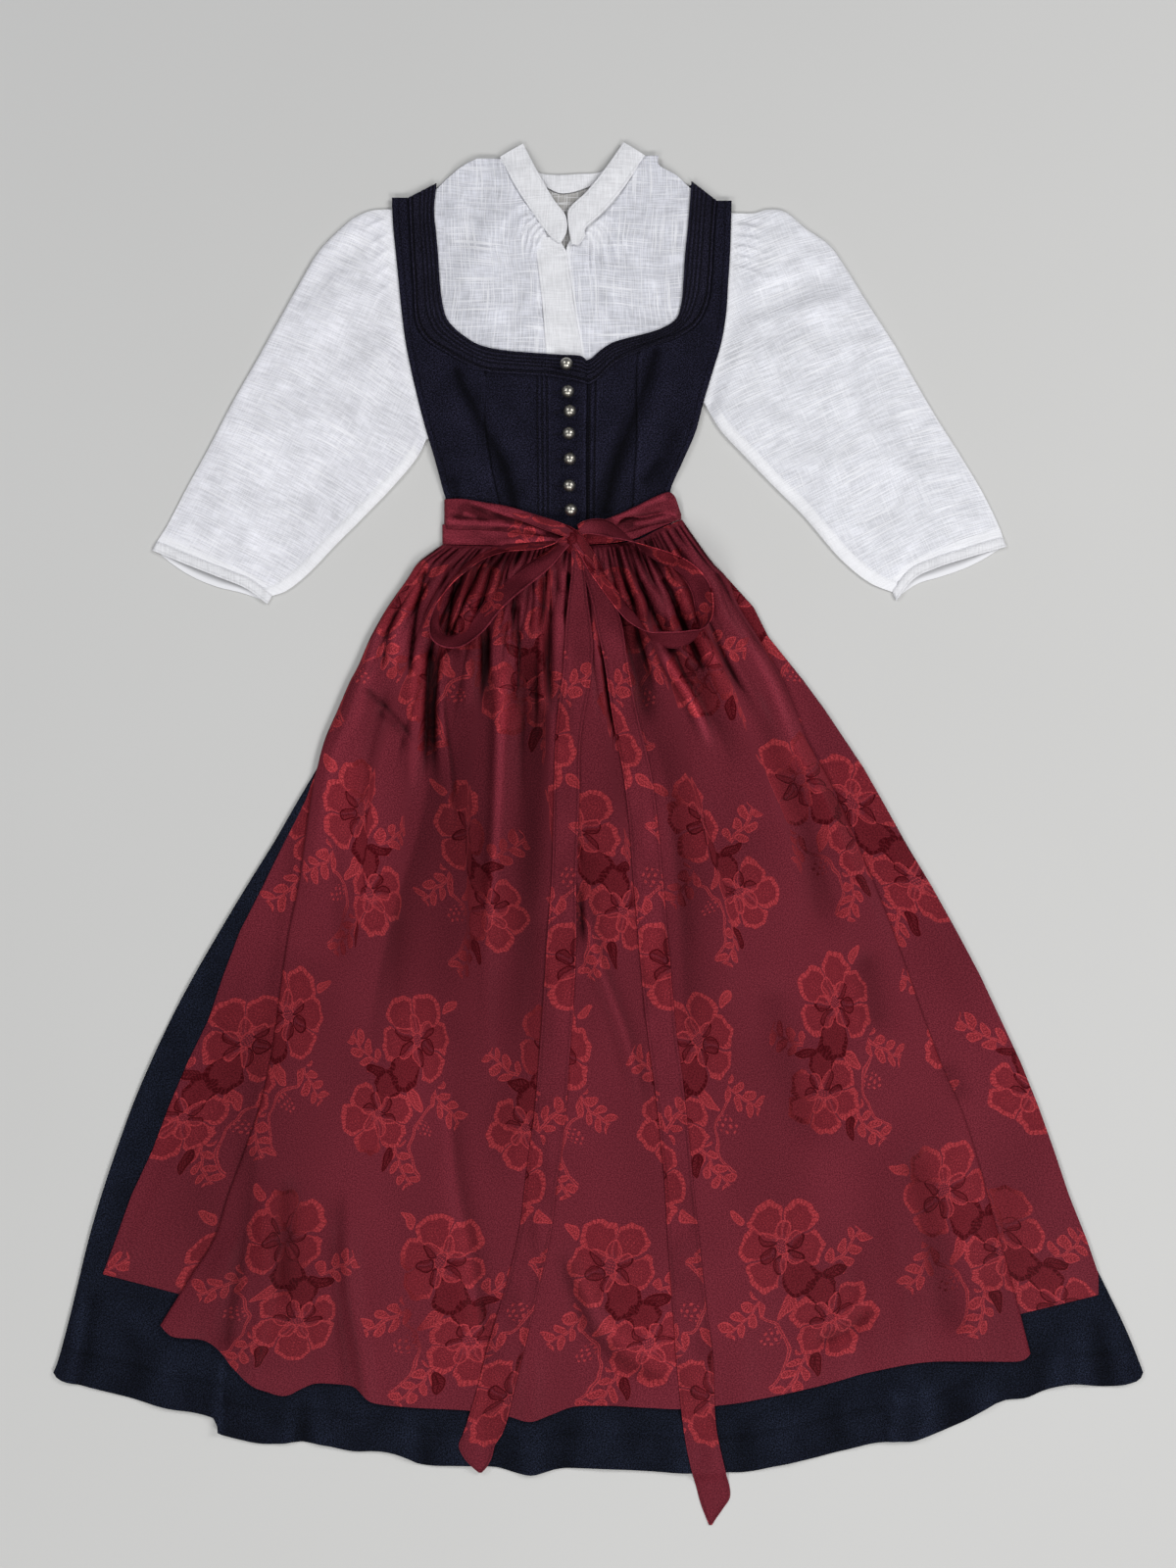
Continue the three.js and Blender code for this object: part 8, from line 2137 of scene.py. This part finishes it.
def build_knot():
    """The bunched cloth at the heart of the knot; a strand of the bow crosses over it."""
    n, m = 96, 54
    a = np.linspace(0, math.pi, m)[:, None]
    b = np.linspace(0, 2 * math.pi, n, endpoint=False)[None, :]
    rr = np.sin(a) ** 0.6
    cx, cy = -27.5, 297.5
    x = 8.4 * rr * np.cos(b)
    y = 13.5 * rr * np.sin(b)
    up = np.clip(np.cos(a), 0, 1)
    # gathers running down the knot, pinched at its middle
    pl = np.abs(np.sin(x * 0.95 + 0.5 * np.sin(y * 0.35) + 0.7)) ** 0.7
    pinch = 1 - 0.10 * np.exp(-(y / 4.0) ** 2)
    z = 11.5 + 4.6 * np.cos(a) + 1.7 * pl * np.sqrt(up) * np.clip(np.sin(a) * 1.6, 0, 1) + 0 * b
    ang = math.radians(12)
    X = cx + x * pinch * math.cos(ang) - y * math.sin(ang)
    Y = cy + x * pinch * math.sin(ang) + y * math.cos(ang)
    z = np.maximum(z, 7.2)
    rings = np.stack([X, Y, z], -1)
    uv = np.stack([x + 30 + 0 * z, y + 120 + 0 * z], -1)
    o = ring_mesh("bow_knot_cloth", rings[1:-1], caps=True, uv=uv[1:-1], sharp=80)
    fix_normals(o)
    finish_piece(o, SATIN_TIE, ["bow_knot"])


def build_bow():
    def shaped(rows, base, ends):
        out = []
        for i, (x, y, w, turn) in enumerate(rows):
            rise = w / 2 * math.sin(math.radians(turn))
            a, b = (ends[0] if i < 6 else 0), (ends[1] if i > len(rows) - 7 else 0)
            out.append(dict(x=x, y=y, z=base + rise + (a[i] if a else 0) + (b[i - len(rows)] if b else 0), turn=turn, width=w))
        return out
    left = shaped(LOOP_LEFT, 12.2, ({0: 1.5, 1: 2.0, 2: 1.5, 3: 0.5, 4: 0, 5: 0}, {-6: 0, -5: 0, -4: 0, -3: 0.5, -2: 1, -1: 1.5}))
    ribbon_mesh("bow_loop_left_cloth", left, 29, 0.95, ["bow_loop_left"], n=210, uv0=(16, 18), seed=1)
    right = shaped(LOOP_RIGHT, 12.2, (None, None))
    lift = {0: 4.0, 1: 3.4, 2: 2.6, 3: 1.6, 4: 0.8, -10: 0.4, -9: 1.2, -8: 2.6, -7: 4.6, -6: 6.8, -5: 7.6, -4: 4.6, -3: 1.6, -2: -0.6, -1: -2.6}
    for i, q in lift.items():
        right[i]["z"] += q
    ribbon_mesh("bow_loop_right_cloth", right, 29, 0.95, ["bow_loop_right"], n=270, uv0=(64, 168), seed=6)


# --------------------------------------------------------------------------
# Stitches
# --------------------------------------------------------------------------
def stitches(name, path, pitch, length, radius, mat, slot, z_at, jitter=0.15, seed=0, sink=0.35):
    """A row of small thread stitches laid on the cloth along a path."""
    r = np.random.default_rng(seed)
    ln = Line(path, smooth=len(path) > 2)
    n = max(2, int(ln.length / pitch))
    t = (np.arange(n) + 0.5) / n
    P = ln(t)
    Q = ln(np.clip(t + 0.5 * length / ln.length, 0, 1)) - ln(np.clip(t - 0.5 * length / ln.length, 0, 1))
    Q /= np.maximum(1e-6, np.linalg.norm(Q, axis=1, keepdims=True))
    ang = r.normal(0, jitter * 0.35, n)
    Q = np.stack([Q[:, 0] * np.cos(ang) - Q[:, 1] * np.sin(ang), Q[:, 0] * np.sin(ang) + Q[:, 1] * np.cos(ang)], 1)
    N_ = np.stack([-Q[:, 1], Q[:, 0]], 1)
    L = length * (1 + r.normal(0, 0.06, n))
    m = 4
    th = np.linspace(0, 2 * math.pi, m, endpoint=False)
    verts, quads, tris = [], [], []
    secs = [(-0.5, 0.28), (-0.24, 0.95), (0.24, 0.95), (0.5, 0.28)]
    for k in range(n):
        base = len(verts)
        za = z_at(np.array([P[k, 0] - Q[k, 0] * L[k] / 2, P[k, 0], P[k, 0] + Q[k, 0] * L[k] / 2]),
                  np.array([P[k, 1] - Q[k, 1] * L[k] / 2, P[k, 1], P[k, 1] + Q[k, 1] * L[k] / 2]))
        for s, w in secs:
            cx, cy = P[k, 0] + Q[k, 0] * L[k] * s, P[k, 1] + Q[k, 1] * L[k] * s
            cz = np.interp(s, [-0.5, 0, 0.5], za) + radius * (1 - 2 * sink) - radius * 1.2 * (abs(s) > 0.4)
            for a in th:
                verts.append((cx + N_[k, 0] * radius * w * math.cos(a), cy + N_[k, 1] * radius * w * math.cos(a), cz + radius * w * math.sin(a)))
        for q in range(len(secs) - 1):
            for a in range(m):
                quads.append((base + q * m + a, base + q * m + (a + 1) % m, base + (q + 1) * m + (a + 1) % m, base + (q + 1) * m + a))
        tris += [(base, base + a + 1, base + a) for a in range(1, m - 1)]
        e = base + (len(secs) - 1) * m
        tris += [(e, e + a, e + a + 1) for a in range(1, m - 1)]
    return np.array(verts), quads, tris


def join_rows(name, rows, mat):
    V, Q, T, off = [], [], [], 0
    for v, q, t in rows:
        V.append(v)
        Q.append(np.array(q) + off)
        T.append(np.array(t) + off)
        off += len(v)
    o = make_object(name, np.vstack(V), np.vstack(Q), np.vstack(T))
    finish_piece(o, mat)
    return o


def offset_path(A, B, f):
    return [tuple(a + (b - a) * f) for a, b in zip(A, B)]


# the inside of the blouse back seen in the neck: grey for the dark bodice behind the sheer voile and for painted shade
VOILE_INSIDE_SHADED = mat_voile("voile_inside_shaded", base=(0.42, 0.41, 0.40), depth=0.9)

build_skirt()
build_apron()
build_blouse()
build_sleeves()
build_bodice()
build_buttons()
build_bands()
build_tails()
build_knot()
build_bow()

TOP = HM.copy()


def on_top(x, y):
    return sample(TOP, np.asarray(x, float), np.asarray(y, float))


def build_stitches():
    black, white, red = [], [], []
    for neck, seam in ((NECK_LEFT, SEAM_LEFT), (NECK_RIGHT, SEAM_RIGHT)):
        t = np.linspace(0.01, 0.99, 60)
        A, B = Line(neck)(t), Line(seam)(t)
        for d0 in (3.2, 7.4, 11.6, 15.8, 24.0):
            black.append(stitches("", offset_path(A, B, d0 / 27.0), 3.1, 2.1, 0.24, None, None, on_top, seed=int(d0)))
    for x in (-63, -58.0, -53):
        black.append(stitches("", [(x, 464), (x + 1.5, 322)], 3.0, 2.0, 0.22, None, None, on_top, seed=3))
    for x in (-8.5, -3.0):
        black.append(stitches("", [(x, 458), (x - 2, 322)], 3.0, 2.0, 0.22, None, None, on_top, seed=4))
    # buttonholes: short bound slits left of each button
    for bx, by in BUTTONS[1:]:
        for dy in (-0.7, 0.7):
            black.append(stitches("", [(bx - 16, by + dy), (bx - 7, by + dy)], 1.0, 0.9, 0.30, None, None, on_top, seed=6))
    join_rows("stitching_dress", black, THREAD_K)
    for i, path in enumerate(SEWN):
        white.append(stitches("", [tuple(p) for p in path], 2.3, 1.5, 0.17, None, None, on_top, seed=20 + i))
    join_rows("stitching_blouse", white, THREAD_W)


build_stitches()

# --------------------------------------------------------------------------
# Stage, light and camera
# --------------------------------------------------------------------------
cx, cy = (-11 + SX) * MM, (51 + SY) * MM
n = 24
fs = np.linspace(-6000, 6000, n + 1)
FX, FY = np.meshgrid(fs, fs)
floor = make_object("floor", np.stack([FX.ravel(), FY.ravel(), np.full(FX.size, -0.4)], 1), grid_faces(n + 1, n + 1, flip=True))
floor.data.materials.append(mat_floor())


def area_light(name, loc, target, size, power, color=(1, 1, 1)):
    d = bpy.data.lights.new(name, "AREA")
    d.shape = "RECTANGLE"
    d.size, d.size_y = size
    d.energy = power
    d.color = color
    o = bpy.data.objects.new(name, d)
    o.location = loc
    o.rotation_euler = (Vector(target) - Vector(loc)).to_track_quat("-Z", "Y").to_euler()
    bpy.context.scene.collection.objects.link(o)
    return o


area_light("soft_right", (1.75, 0.95, 2.05), (0.1, 0.0, 0), (1.05, 1.05), 33.5, (1.0, 0.992, 0.98))
area_light("soft_left", (-1.6, 1.35, 2.3), (-0.1, 0.1, 0), (1.1, 1.1), 25, (0.985, 0.99, 1.0))
area_light("soft_low_right", (1.2, -1.75, 2.4), (0.1, -0.2, 0), (1.0, 1.0), 39, (1.0, 0.992, 0.985))
area_light("soft_low_left", (-1.3, -1.75, 2.4), (-0.1, -0.2, 0), (1.0, 1.0), 29, (1.0, 0.995, 0.97))

world = bpy.data.worlds.new("soft")
bpy.context.scene.world = world
world.use_nodes = True
bg = world.node_tree.nodes["Background"]
bg.inputs[0].default_value = (0.93, 0.95, 1.0, 1.0)
bg.inputs[1].default_value = 0.12

cam = bpy.data.cameras.new("camera")
cam.lens = 50
cam.sensor_width = 36
cam.clip_end = 50
camo = bpy.data.objects.new("camera", cam)
camo.location = (cx, cy, 2.2222 + 0.005)
camo.rotation_euler = (0, 0, 0)
bpy.context.scene.collection.objects.link(camo)
bpy.context.scene.camera = camo
bpy.context.scene.view_settings.view_transform = "Standard"
cyc = bpy.context.scene.cycles
cyc.max_bounces, cyc.diffuse_bounces, cyc.glossy_bounces = 2, 2, 1
